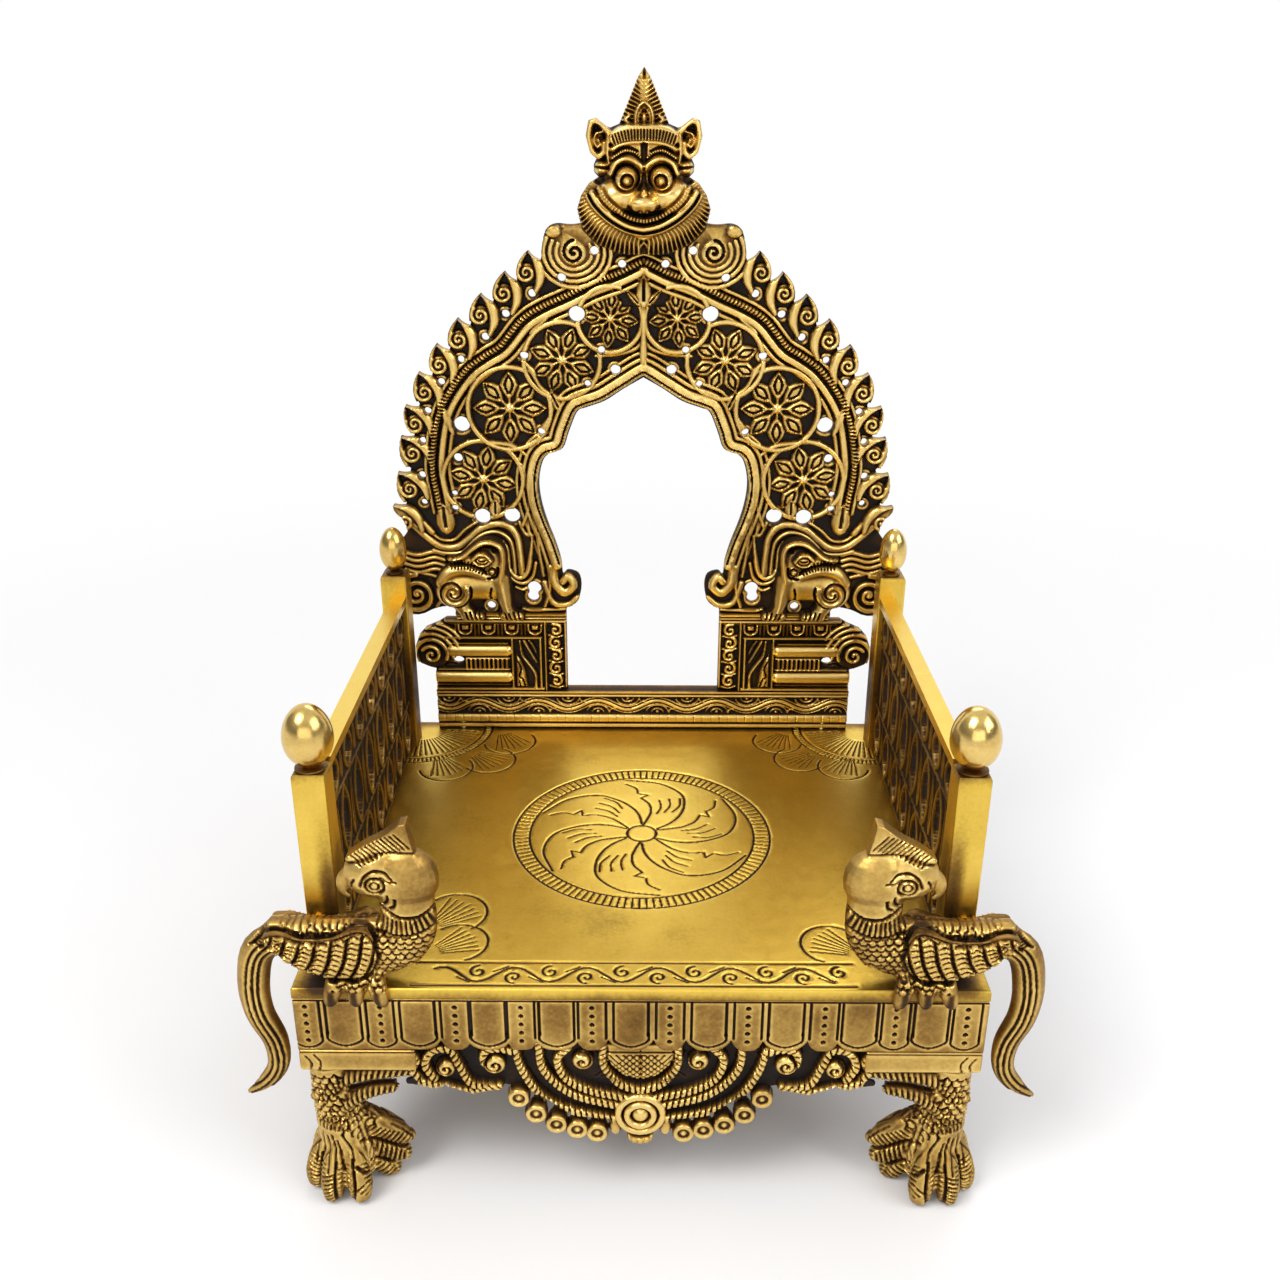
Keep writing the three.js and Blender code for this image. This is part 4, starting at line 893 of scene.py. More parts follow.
pedestal_frame_shares = (0.29, 0.89, 0.2, 0.515)
pedestal_ground_share = -0.012
pedestal_shares = [
    (0.295, 0.5095), (0.295, 0.206), (0.812, 0.206), (0.812, 0.292), (0.84, 0.3), (0.872, 0.315),
    (0.884, 0.35), (0.884, 0.395), (0.87, 0.435), (0.84, 0.468), (0.79, 0.49), (0.76, 0.5095),
]
chain_shares = {"x": 0.338, "low": 0.25, "pitch": 0.054, "count": 5, "radius": 0.026, "turns": 1.25}
chain_curl_shares = (1.2, 0.1)
chain_line_shares = ([0.0085, 0.006], 0.02, -0.008, 0, 0.08)
chain_link_shares = [(0.31, -0.024), (0.335, -0.03), (0.364, -0.022)]
chain_link_line_shares = (0.005, 0.016, -0.008)
roll_shares = [(0.24, 0.288, 0.022, 0.812), (0.352, 0.4, 0.022, 0.745)]
roll_start_share = 0.53
roll_line_shares = (-0.004, 0.1, 0.2)
flute_shares = (0.531, 0.69, 0.0175)
flute_height_shares = (0.303, 0.339)
flute_line_shares = (0.0062, 0.016, -0.004)
box_shares = [0.38, 0.47, 0.56, 0.65]
box_edge_shares = [[(0, 0.445), (0, 0.484)], [(0.075, 0.445), (0.075, 0.484)]]
box_line_shares = (0.0042, 0.016, -0.008)
swag_shares = [(0.012, 0.484), (0.016, 0.458), (0.037, 0.447), (0.059, 0.458), (0.063, 0.484)]
swag_line_shares = (0.0055, 0.018, -0.008, 0.1, 0.06)
plug_shares = [(0.023, 0.464), (0.052, 0.464), (0.052, 0.485), (0.023, 0.485)]
plug_height_shares = (0.018, 0.006, -0.008, 0.08)
pedestal_stroke_shares = [
    ("line", [(0.3, 0.226), (0.3, 0.5)], 0.005, 0.018, -0.008, 0.2, 0.1),
    ("line", [(0.378, 0.21), (0.378, 0.5)], 0.005, 0.018, -0.008, 0.2, 0.1),
    ("line", [(0.398, 0.218), (0.398, 0.425)], 0.0055, 0.018, -0.008, 0.2, 0.08),
    ("line", [(0.508, 0.218), (0.508, 0.425)], 0.0055, 0.018, -0.008, 0.2, 0.08),
    ("curve", [(0.42, 0.22), (0.42, 0.275), (0.445, 0.32), (0.47, 0.36),
        (0.478, 0.42)], [0.0075, 0.005], 0.018, -0.008, 0.1, 0.05),
    ("curve", [(0.415, 0.33), (0.438, 0.372), (0.462, 0.42)], [0.0045, 0.0065], 0.018, -0.008, 0.1, 0.05),
    ("curve", [(0.415, 0.37), (0.428, 0.4), (0.442, 0.42)], 0.0045, 0.016, -0.008),
    ("area", [(0.45, 0.22), (0.458, 0.29), (0.476, 0.34), (0.494, 0.36), (0.497, 0.28),
        (0.497, 0.22)], 0.018, 0.012, -0.008, 0.05),
    ("cut", [(0.462, 0.225), (0.47, 0.255), (0.484, 0.27), (0.476, 0.3), (0.488, 0.33)], 0.004, 0.014),
    ("cut", [(0.48, 0.225), (0.486, 0.25)], 0.003, 0.01),
    ("line", [(0.525, 0.409), (0.76, 0.409)], 0.004, 0.016, -0.006, 0.2, 0.1),
    ("line", [(0.395, 0.434), (0.765, 0.434)], 0.006, 0.018, -0.006, 0.3, 0.12),
    ("line", [(0.52, 0.345), (0.69, 0.345)], 0.0035, 0.014, -0.006),
    ("line", [(0.52, 0.2965), (0.8, 0.2965)], 0.0035, 0.014, -0.006),
    ("line", [(0.39, 0.214), (0.812, 0.214)], 0.007, 0.018, -0.008, 0.3, 0.1),
    ("line", [(0.52, 0.23), (0.812, 0.23)], 0.0035, 0.014, -0.008),
    ("line", [(0.3, 0.503), (0.76, 0.503)], 0.0075, 0.018, -0.006, 0.3, 0.15),
    ("line", [(0.3, 0.49), (0.75, 0.49)], 0.003, 0.014, -0.008),
    ("cut", [(0.73, 0.312), (0.76, 0.318), (0.78, 0.305)], 0.005, 0.01),
]
volute_centre_shares = (0.824, 0.362)
volute_shares = [
    (0.062, 0.0095, -0.5, 3.5), (0.086, 0.0085, -0.1, 3.3), (0.11, 0.0085, 0.6, 3.0),
    (0.132, 0.0075, 0.95, 2.6),
]
volute_line_shares = (0.02, -0.008, 0.2, 0.08)
volute_curl_shares = [
    ("scroll", (0.824, 0.358, 0.04, 1.4, 0.6, 0.08), [0.009, 0.007], 0.02, -0.006, 0.1, 0.12),
    ("pierce", 0.722, 0.33, 0.021, 0.014),
]


def pedestal(side, name):
    c = Canvas(*pedestal_frame_shares, fine_step)
    c.ground(pedestal_ground_share, open_patina)
    c.add_outline(pedestal_shares)
    for k in range(chain_shares["count"]):
        z = chain_shares["low"] + k * chain_shares["pitch"]
        turns = (-1) ** k * chain_shares["turns"]
        curl = (chain_shares["x"], z, chain_shares["radius"], turns, *chain_curl_shares)
        c.scroll(curl, *chain_line_shares)
        c.curve(shifted(chain_link_shares, 0, z), *chain_link_line_shares)
    for z0, z1, height, reach in roll_shares:
        middle = (z0 + z1) / 2
        c.line([(roll_start_share, middle), (reach, middle)], (z1 - z0) / 2, height, *roll_line_shares)
    for x in np.arange(*flute_shares):
        c.line([(x, z) for z in flute_height_shares], *flute_line_shares)
    for x in box_shares:
        for edge in box_edge_shares:
            c.line(shifted(edge, x, 0), *box_line_shares)
        c.curve(shifted(swag_shares, x, 0), *swag_line_shares)
        c.area(shifted(plug_shares, x, 0), *plug_height_shares)
    draw(c, pedestal_stroke_shares)
    for radius, width, start, end in volute_shares:
        c.line(arc(*volute_centre_shares, radius, start, end, 24), width, *volute_line_shares)
    draw(c, volute_curl_shares)
    return relief_mesh(name + "_carving", c, face_place(plate_front, side), plate_back - plate_front)


# Sill: two rolls with a scrolling vine between them

sill_frame_shares = (-0.816, 0.816, 0.0355, 0.205)
sill_ground_share = -0.006
sill_edge_shares = (0.815, 0.0357, 0.2048)
sill_end_share = 0.83
sill_roll_shares = [
    (0.083, 0.018, 0.012, -0.004, 0.2, 0.15),
    (0.052, 0.009, 0.009, -0.004, 0.2, 0.08),
    (0.198, 0.0065, 0.01, -0.004, 0.3, 0.15),
    (0.183, 0.005, 0.01, -0.004, 0.3, 0.12),
]
vine_band_shares = (0.107, 0.176, -0.01)
vine_shares = {"middle": 0.1415, "depth": 0.02, "period": 0.236, "step": 0.01}
vine_line_shares = (0.0078, 0.014, -0.01, 0.2, 0.08)
vine_edge_shares = [0.0135, -0.0135]
vine_edge_line_shares = (0.0042, 0.012, -0.01, 0, 0.04)
bud_shares = {"reach": 0.033, "arcs": (0.018, 0.034), "wide": 1.3, "sweep": (0.15, 2.9), "drop": -0.004}
bud_line_shares = (0.0045, 0.012, -0.01, 0, 0.04)
bud_dome_shares = (0.009, 0.007, 0.012, -0.01)
tendril_shares = [(0.045, 0), (0.052, -0.014), (0.07, -0.02)]
tendril_line_shares = (0.004, 0.012, -0.01)
sill_tick_shares = {"pitch": 0.034, "low": 0.068, "high": 0.099, "line": (0.0018, 0.0018)}


def sill():
    c = Canvas(*sill_frame_shares, fine_step)
    c.ground(sill_ground_share)
    half, low, high = sill_edge_shares
    c.add_outline(rectangle(-half, half, low, high))
    for z, *values in sill_roll_shares:
        c.line([(-sill_end_share, z), (sill_end_share, z)], *values)
    low, high, depth = vine_band_shares
    c.level(rectangle(-sill_end_share, sill_end_share, low, high), depth)
    middle, period, step = vine_shares["middle"], vine_shares["period"], vine_shares["step"]
    vine = wave(middle, vine_shares["depth"], period, -sill_end_share, sill_end_share + step / 10, step)
    c.line(vine, *vine_line_shares)
    for offset in vine_edge_shares:
        c.line(beside(vine, offset), *vine_edge_line_shares)
    for k in range(-7, 7):
        x = (k + 0.5) * period / 2
        way = -1 if k % 2 == 0 else 1
        foot = middle + way * bud_shares["reach"]
        for radius in bud_shares["arcs"]:
            wide = bud_shares["wide"]
            c.line(arc(x, foot, radius * wide, *bud_shares["sweep"], 12, -way / wide), *bud_line_shares)
        c.dome(x, foot + way * bud_shares["drop"], *bud_dome_shares)
        c.curve([(x + a, foot + way * b) for a, b in tendril_shares], *tendril_line_shares)
    for k in range(-24, 25):
        x = k * sill_tick_shares["pitch"]
        c.groove([(x, sill_tick_shares["low"]), (x, sill_tick_shares["high"])], *sill_tick_shares["line"])
    c.dark += dark_shares["sill"]
    place = face_place(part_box("sill")[0].y + sill_round)
    return relief_mesh("sill_carving", c, place, sill_depth, keep=keep_shares["sill"])


# Mask: a guardian face in a fan of hair, with leaf ears, a ribbed headband and a pointed crest

mask_frame_shares = (-0.23, 0.23, 1.865, 2.465)
mask_ground_shares = (-0.004, 0.2)
mask_relief_scale = 3.4
mask_shares = [
    (0, 1.87), (0.08, 1.875), (0.16, 1.9), (0.21, 1.95), (0.225, 2.02), (0.21, 2.065), (0.185, 2.1),
    (0.152, 2.12), (0.166, 2.135), (0.168, 2.16), (0.158, 2.18), (0.178, 2.198), (0.192, 2.25),
    (0.183, 2.297), (0.16, 2.304), (0.125, 2.278), (0.112, 2.274), (0.082, 2.286), (0.048, 2.365),
    (0.022, 2.425), (0, 2.458),
]
mask_form_shares = [
    ("dome", 0, 2.13, 0.135, 0.15, 0.06, 0.004),
    ("dome", 0, 2.19, 0.125, 0.075, 0.06, 0.02, -0.2, 0.1),
    ("dome", 0, 2.035, 0.178, 0.085, 0.06, 0.006),
    # The cheek domes are brightened partly as rubbed metal and partly as a painted highlight
    ("dome", 0.09, 2.064, 0.074, 0.056, 0.07, 0.058, -0.2, 0.5),
    ("dome", 0, 2.05, 0.06, 0.04, 0.03, 0.06),
]
mane_shares = {
    "centre": np.array([0, 2.06]),
    "inner": np.array([0.155, 0.1]),
    "outer": np.array([0.235, 0.2]),
    "start": -math.pi / 2,
    "pitch": 0.076,
    "count": 25,
    "bend": 0.012,
    "stroke": ([0.0078, 0.0082, 0.0045], 0.034, 0.002),
}
crest_shares = {"low": 2.284, "pitch": 0.0123, "count": 13, "top": 2.45, "slope": 0.4875}
crest_rib_shares = (0.006, -0.004, 0.016)
crest_line_shares = ([0.0052, 0.0045], 0.018, 0.004)
mask_stroke_shares = [
    ("curve", [(0, 2.345), (0, 2.42)], [0.016, 0.004], 0.014, 0.004),
    ("curve", [(0.028, 2.284), (0.028, 2.312), (0.018, 2.338), (0, 2.352),
        (-0.012, 2.346)], 0.0065, 0.026, 0.016, 0, 0.1),
    ("dome", 0, 2.303, 0.009, 0.022, 0.02, 0.014),
    ("curve", [(0.018, 2.288), (0.018, 2.31), (0.01, 2.328)], 0.004, 0.016, 0.014),
    ("curve", [(0.045, 2.288), (0.062, 2.296), (0.05, 2.31)], 0.007, 0.016, 0.014),
    ("curve", [(-0.01, 2.258), (0.04, 2.257), (0.07, 2.252), (0.092, 2.244)], 0.025, 0.03, 0.045, 0.5, 0.1),
    ("comb", [(-0.01, 2.256), (0.04, 2.255), (0.07, 2.25), (0.1, 2.24)], 0.0105, 0.028, 0.0032, 0.018),
    ("curve", [(-0.01, 2.232), (0.04, 2.231), (0.075, 2.224), (0.106, 2.21)], 0.008, 0.036, 0.048, 0.1, 0.2),
    ("curve", [(-0.01, 2.281), (0.05, 2.28), (0.085, 2.272), (0.108, 2.255)], 0.006, 0.03, 0.04, 0.1, 0.15),
    ("curve", [(0.117, 2.25), (0.12, 2.2), (0.115, 2.165)], [0.009, 0.008, 0.005], 0.03, 0.03, 0.2, 0.1),
    ("cut", [(0, 2.222), (0, 2.175)], 0.012, 0.022),
    ("curve", [(0.024, 2.214), (0.045, 2.223), (0.078, 2.221), (0.1, 2.205)], 0.0062, 0.02, 0.054, 0.1,
        0.08),
    ("cut", [(0.02, 2.204), (0.045, 2.214), (0.075, 2.212), (0.1, 2.196)], 0.0032, 0.02),
    ("curve", [(0.014, 2.186), (0.036, 2.202), (0.066, 2.205), (0.102, 2.184)], 0.0078, 0.022, 0.058, 0.2),
    ("comb", [(0.016, 2.187), (0.036, 2.202), (0.066, 2.205), (0.1, 2.186)], 0.0078, 0.013, 0.0025, 0.012),
    ("cut", [(0.006, 2.172), (0.034, 2.193), (0.064, 2.196), (0.104, 2.174)], 0.0035, 0.022),
    ("curve", [(0.0, 2.142), (0.016, 2.165), (0.056, 2.182), (0.092, 2.168),
        (0.11, 2.135)], 0.01, 0.03, 0.058, 0.1, 0.15),
    ("dome", 0.058, 2.122, 0.039, 0.039, 0.07, 0.052, 0, 0.25),
    ("ring", 0.058, 2.122, 0.0405, 0.0046, 0.03),
    ("ring", 0.055, 2.114, 0.0185, 0.0046, 0.03),
    ("dome", 0.055, 2.114, 0.0105, 0.0105, 0.016, 0.12, 0, 0.1),
    ("cut", [(0, 2.15), (0.004, 2.11), (0.016, 2.088)], 0.006, 0.02),
    ("curve", [(0, 2.085), (0, 2.05)], [0.008, 0.014], 0.03, 0.085, 0, 0.2),
    ("dome", 0, 2.044, 0.05, 0.026, 0.046, 0.09, 0, 0.45),
    ("dome", 0.027, 2.03, 0.02, 0.014, 0.03, 0.088, 0.4, 0.2),
    ("dome", 0, 2.022, 0.022, 0.013, 0.03, 0.086, 0, 0.2),
    ("cut", [(0.05, 2.034), (0.03, 2.014), (0.012, 2.02), (0, 2.006)], 0.0042, 0.02),
    ("curve", [(0.118, 2.262), (0.145, 2.289), (0.172, 2.292), (0.183, 2.25), (0.174, 2.205),
        (0.152, 2.187), (0.134, 2.2), (0.13, 2.226)], 0.0125, 0.034, 0.01, 0.2, 0.12),
    ("curve", [(0.138, 2.262), (0.158, 2.256), (0.165, 2.234), (0.154, 2.214),
        (0.145, 2.224)], 0.0065, 0.026, 0.008, 0, 0.1),
    ("dome", 0.151, 2.236, 0.02, 0.032, 0.014, 0.0, -0.2, 0.12),
    ("dome", 0.151, 2.236, 0.008, 0.01, 0.026, 0.008),
    ("dome", 0.138, 2.15, 0.03, 0.025, 0.045, 0.01, 0, 0.15),
    ("cut", [(0.116, 2.15), (0.162, 2.154)], 0.0045, 0.024),
    ("curve", [(-0.02, 1.93), (0, 1.925), (0.03, 1.935)], 0.008, 0.03, 0.012, 0, 0.15),
    ("curve", [(0, 1.915), (0.012, 1.895), (0.02, 1.872)], 0.006, 0.02, 0.006),
]
grin_shares = [(-0.03, 1.975), (0, 1.974), (0.05, 1.985), (0.1, 2.013), (0.14, 2.05), (0.158, 2.08)]
lip_shares = [
    (0.013, 0.011, 0.03, 0.066, 0.2, 0.05),
    (-0.015, 0.012, 0.04, 0.05, 0.2, 0.2),
    (-0.036, 0.009, 0.03, 0.02, 0.2, 0.05),
]
lip_groove_shares = [(0, 0.004, 0.03), (0.027, 0.005, 0.024), (-0.028, 0.005, 0.03)]
teeth_shares = (0.013, 0.0115, 0.02, 0.0028, 0.014)


def mask():
    c = Canvas(*mask_frame_shares, mask_step, etch_shares["mask"])
    c.ground(*mask_ground_shares)
    c.add_outline(mask_shares + [(-x, z) for x, z in mask_shares[-2:0:-1]])
    c.relief_scale = mask_relief_scale
    draw(c, mask_form_shares)
    c.height = np.where(c.shine < 0, c.height, blur(c.height, 5))
    for k in range(mane_shares["count"]):
        angle = mane_shares["start"] + (k + 0.5) * mane_shares["pitch"]
        out = np.array([math.cos(angle), math.sin(angle)])
        bend = square_to(out) * mane_shares["bend"]
        foot = mane_shares["centre"] + out * mane_shares["inner"]
        tip = mane_shares["centre"] + out * mane_shares["outer"]
        c.line([foot, (foot + tip) / 2 + bend, tip + bend / 2], *mane_shares["stroke"])
    inner, low, high = crest_rib_shares
    for k in range(crest_shares["count"]):
        z = crest_shares["low"] + k * crest_shares["pitch"]
        half = crest_shares["slope"] * (crest_shares["top"] - z)
        c.line([(inner, z + low), (half, z + high)], *crest_line_shares)
    draw(c, mask_stroke_shares)
    grin = smooth_line(grin_shares, 8)
    for offset, *values in lip_shares:
        c.line(beside(grin, offset), *values)
    for offset, *values in lip_groove_shares:
        c.groove(beside(grin, offset), *values)
    offset, *values = teeth_shares
    c.ticks(beside(grin, offset), *values)
    c.mirror()
    c.height = blur(c.height, 1)
    place = face_place(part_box("mask")[1].y - mask_plate)
    return relief_mesh("mask_carving", c, place, mask_plate - hair_gap, keep=keep_shares["mask"])


# Apron: bands, scrolls, rings and a medallion under the front skirt

apron_frame_shares = (-0.705, 0.705, -0.575, -0.005)
apron_ground_share = -0.016
apron_shares = [
    (0.7, -0.01), (0.69, -0.27), (0.64, -0.35), (0.58, -0.325), (0.5, -0.355), (0.43, -0.34), (0.3, -0.36),
    (0.2, -0.44), (0, -0.46), (0, -0.01),
]
ring_shares = [(0.362, -0.37), (0.312, -0.43), (0.252, -0.47), (0.19, -0.49), (0.13, -0.503)]
ring_limb_shares = (0.97, 0.03, [0.035, 0.02])
apron_limb_shares = [
    ([(0, -0.43), (0, -0.46)], [0.075, 0.06]),
    ([(0, -0.45), (0, -0.54)], [0.06, 0.03]),
    ([(0.07, -0.46), (0.078, -0.505)], [0.022, 0.018]),
    ([(0.66, -0.33), (0.69, -0.335)], [0.02, 0.012]),
]
apron_band_shares = [
    [(0.11, -0.17), (0.108, -0.25), (0.06, -0.32), (-0.02, -0.35)],
    [(0.21, -0.18), (0.245, -0.23), (0.22, -0.3), (0.15, -0.345), (0.05, -0.37)],
    [(0.3, -0.17), (0.285, -0.27), (0.2, -0.36), (0.06, -0.405)],
    [(0.37, -0.19), (0.345, -0.28), (0.29, -0.37), (0.2, -0.425), (0.07, -0.455)],
    [(0.375, -0.2), (0.415, -0.188), (0.455, -0.2), (0.462, -0.235), (0.44, -0.262)],
    [(0.68, -0.2), (0.66, -0.235), (0.675, -0.27), (0.655, -0.3)],
    [(0.43, -0.335), (0.5, -0.32), (0.535, -0.25), (0.56, -0.195), (0.61, -0.2), (0.635, -0.25),
        (0.61, -0.3)],
    [(0.42, -0.33), (0.48, -0.35), (0.56, -0.34), (0.65, -0.315)],
]
band_line_shares = (0.0145, 0.024, -0.01, 0.35, 0.12)
band_tick_shares = (0.0185, 0.026, 0.003, 0.011, 0.45)
apron_curl_shares = [(0.17, -0.235, 0.032, 1), (0.43, -0.25, 0.034, -1), (0.575, -0.265, 0.03, -1)]
curl_dome_shares = (0.02, -0.002, 0, 0.15)
curl_groove_shares = (0.9, 1.3, 1.2, 0.05)
curl_groove_line_shares = (0.005, 0.014)
ring_dome_shares = (0.034, 0.034, 0.012, 0, 0, 0.05)
ring_line_shares = (0.025, 0.009, 0.014, 0.004, 0.2, 0.12)
ring_boss_shares = (0.011, 0.011, 0.014, 0.004, 0, 0.15)
basket_shares = [(-0.1, -0.2), (0.1, -0.2), (0.088, -0.25), (0.05, -0.29), (0, -0.305), (-0.05, -0.29)]
basket_stroke_shares = [
    ("dome", 0.075, -0.48, 0.02, 0.035, 0.016, 0, 0, 0.1),
    ("block", -0.1, 0.1, -0.235, -0.17, 0.01, 0.01),
    ("area", basket_shares, 0.014, 0.02, 0, 0.05),
]
weave_shares = {"pitch": 0.021, "lean": 0.05, "low": -0.31, "high": -0.21, "reach": 0.085}
weave_line_shares = (0.0028, 0.006)
medallion_shares = [
    ("groove", [(-0.1, -0.2), (0.1, -0.2)], 0.004, 0.008),
    ("hoop", (0, -0.43, 0.066, 60), 0.012, 0.02, 0, 0.3, 0.25),
    ("hoop", (0, -0.43, 0.04, 60), 0.012, 0.024, 0, 0.3, 0.25),
    ("dome", 0, -0.43, 0.028, 0.028, 0.024, 0.002, 0, 0.25),
]
drop_shares = {"pitch": 0.42, "across": 0.045, "middle": -0.5, "up": 0.035, "dome": (0.013, 0.017, 0.018, 0)}


def apron():
    c = Canvas(*apron_frame_shares, fine_step)
    c.ground(apron_ground_share)
    c.add_outline(apron_shares)
    inward, rise, radii = ring_limb_shares
    for x, z in ring_shares:
        c.add_limb([(x, z), (x * inward, z + rise)], radii)
    for limb in apron_limb_shares:
        c.add_limb(*limb)
    for points in apron_band_shares:
        path = smooth_line(points, 7)
        c.line(path, *band_line_shares)
        c.ticks(path, *band_tick_shares)
    size, turns, start, inner = curl_groove_shares
    for x, z, radius, way in apron_curl_shares:
        c.dome(x, z, radius, radius, *curl_dome_shares)
        c.wind((x, z, radius * size, way * turns, start, inner), *curl_groove_line_shares)
    for x, z in ring_shares:
        radius, *values = ring_line_shares
        c.dome(x, z, *ring_dome_shares)
        c.hoop((x, z, radius, 30), *values)
        c.dome(x, z, *ring_boss_shares)
    draw(c, basket_stroke_shares)
    for k in range(-9, 10):
        for lean in (weave_shares["lean"], -weave_shares["lean"]):
            x = k * weave_shares["pitch"]
            if abs(x) < weave_shares["reach"]:
                ends = [(x - lean, weave_shares["low"]), (x + lean, weave_shares["high"])]
                c.groove(ends, *weave_line_shares)
    draw(c, medallion_shares)
    for k in range(-2, 3):
        angle = k * drop_shares["pitch"] - math.pi / 2
        x = drop_shares["across"] * math.cos(angle)
        z = drop_shares["middle"] + drop_shares["up"] * math.sin(angle)
        c.dome(x, z, *drop_shares["dome"], angle)
    c.mirror()
    c.dark += dark_shares["apron"]
    place = face_place(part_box("apron_front")[1].y - apron_plate)
    return relief_mesh("apron_carving", c, place, apron_plate - hair_gap, keep=keep_shares["apron"])


# Skirts: hanging tabs, dotted and plain by turns, with rounded lower ends

skirt_drop_share = 0.185
front_tab_shares = [-0.965, -0.75, -0.535, -0.345, -0.14, 0.085, 0.31, 0.53, 0.735, 0.94]
side_tab_pitch_share = 0.209
skirt_end_gap_share = 0.0206
scalloped_shares = {"front": 0.64, "rear": 0.627, "side": 0.467}
tab_shares = {"narrow": 0.044, "wide": 0.062, "far": 9.0, "drop": 0.034, "limit": 1.05}
tab_line_shares = {"side": 0.04, "top": -0.012, "foot": -0.14, "line": (0.0038, 0.007)}
wide_line_shares = {"side": 0.05, "top": -0.012, "foot": -0.13, "line": (0.004, 0.007)}
dot_shares = {"top": -0.03, "foot": -0.15, "count": 5, "size": (0.0075, 0.01)}
tab_foot_shares = [(-0.04, -0.13), (-0.038, -0.158), (0, -0.176), (0.038, -0.158), (0.04, -0.13)]
tab_foot_line_shares = (0.0035, 0.006)
wide_foot_shares = [(-0.05, -0.12), (-0.047, -0.15), (0, -0.17), (0.047, -0.15), (0.05, -0.12)]
wide_foot_line_shares = (0.004, 0.007)
skirt_top_shares = (-0.008, 0.003, 0.005)


def skirt(name, half_length, dotted, scalloped, place, step=plain_step, keep=1.0):
    c = Canvas(-half_length, half_length, -skirt_drop_share, 0, step, etch_shares["skirt"])
    wide = [(a + b) / 2 for a, b in zip(dotted[:-1], dotted[1:])]
    drop = np.full_like(c.X, tab_shares["far"])
    for middles, half in ((dotted, tab_shares["narrow"]), (wide, tab_shares["wide"])):
        for x in middles:
            drop = np.minimum(drop, np.abs(c.X - x) / half)
    edge = tab_shares["drop"] * np.clip(drop, 0, tab_shares["limit"]) ** 3
    edge = np.where(np.abs(c.X) < scalloped, edge, 0)
    c.inside = np.minimum(np.minimum(c.Z + skirt_drop_share - edge, -c.Z), half_length - np.abs(c.X))
    for middles, shares in ((dotted, tab_line_shares), (wide, wide_line_shares)):
        for x in middles:
            for side in (x - shares["side"], x + shares["side"]):
                c.groove([(side, shares["top"]), (side, shares["foot"])], *shares["line"])
    for x in dotted:
        for z in np.linspace(dot_shares["top"], dot_shares["foot"], dot_shares["count"]):
            c.sink(x, z, *dot_shares["size"])
        if abs(x) > scalloped:
            c.cut(shifted(tab_foot_shares, x, 0), *tab_foot_line_shares)
    for x in wide:
        c.cut(shifted(wide_foot_shares, x, 0), *wide_foot_line_shares)
    z, *values = skirt_top_shares
    c.groove([(-half_length, z), (half_length, z)], *values)
    c.dark += dark_shares["skirt"]
    return relief_mesh(name + "_carving", c, place, skirt_thickness, keep=keep)


def skirts():
    """The four skirts, each with its node."""
    scalloped = scalloped_shares
    rear = lambda x, z, height: np.stack([-x * unit, half_depth + height, z * unit + band_top], 1)
    side_place = lambda side: lambda y, z, height: np.stack(
        [side * (unit + height), -side * y * unit, z * unit + band_top], 1
    )
    side_dots = [k * side_tab_pitch_share for k in range(-3, 4)]
    rear_dots = [k * side_tab_pitch_share for k in range(-4, 5)]
    front = (front_tab_shares, scalloped["front"], face_place(-half_depth), fine_step, keep_shares["skirt"])
    reach = half_depth / unit - skirt_end_gap_share
    return {
        "skirt_front": skirt("skirt_front", 1.0, *front),
        "skirt_rear": skirt("skirt_rear", 1.0, rear_dots, scalloped["rear"], rear),
        "skirt_right": skirt("skirt_right", reach, side_dots, scalloped["side"], side_place(1)),
        "skirt_left": skirt("skirt_left", reach, side_dots, scalloped["side"], side_place(-1)),
    }


# Seat: an engraved rosette, corner petals and a scrolling strip along the front

seat_shares = (0.9995, 0.0005, 1.6795)
fan_place_shares = [
    (1, 0.53, 1.52, 0.095, -2.0),
    (1, 0.6, 1.375, 0.095, -2.45),
    (1, 0.76, 1.315, 0.095, -2.0),
    (-1, 0.52, 1.51, 0.1, -2.0),
    (-1, 0.585, 1.36, 0.1, -2.45),
    (-1, 0.74, 1.3, 0.1, -2.0),
    (1, 0.57, 0.22, 0.09, 2.6),
    (-1, 0.58, 0.37, 0.1, 2.3),
    (-1, 0.55, 0.22, 0.09, 2.6),
]
rear_corner_shares = (0.88, 1.62, 0.28)
fan_shares = {"sweep": 1.75, "foot": 0.7, "low": 0.08, "high": 0.24, "tip": 0.62, "fall": 0.06}
fan_arc_line_shares = (0.0045, 0.005)
fan_line_shares = (0.0022, 0.003)
corner_sweep = (math.pi * 0.97, math.pi * 1.53, 26)
corner_band_share = 0.03
corner_arc_line_shares = (0.004, 0.005)
corner_tick_shares = (0.016, 0.02, 0.0025, 0.005)
ray_sweep = (math.pi, math.pi * 1.5, 16)
ray_shares = (0.1, 0.23)
ray_line_shares = (0.0025, 0.004)
strip_edge_shares = [0.02, 0.125]
strip_end_shares = (-0.66, 0.62)
strip_edge_line_shares = (0.004, 0.005)
strip_shares = {"middle": 0.072, "depth": 0.032, "period": 0.21, "start": -0.6, "end": 0.561, "step": 0.01}
strip_line_shares = (0.0055, 0.006)
strip_curl_shares = {
    "lift": 0.012,
    "radius": 0.028,
    "turns": 1.2,
    "start": 1.6,
    "end": (0.15, 20),
    "line": (0.0048, 0.006),
}
strip_tick_shares = {"path": [(-0.06, -0.012), (-0.02, -0.036)], "line": (0.0036, 0.005)}
seat_shine_share = 0.12
front_dark_shares = {"x": 0.86, "z": 0.06, "wide": 0.13, "deep": 0.1, "dark": 0.4}
rear_dark_shares = (1.68, 0.05, 0.35)
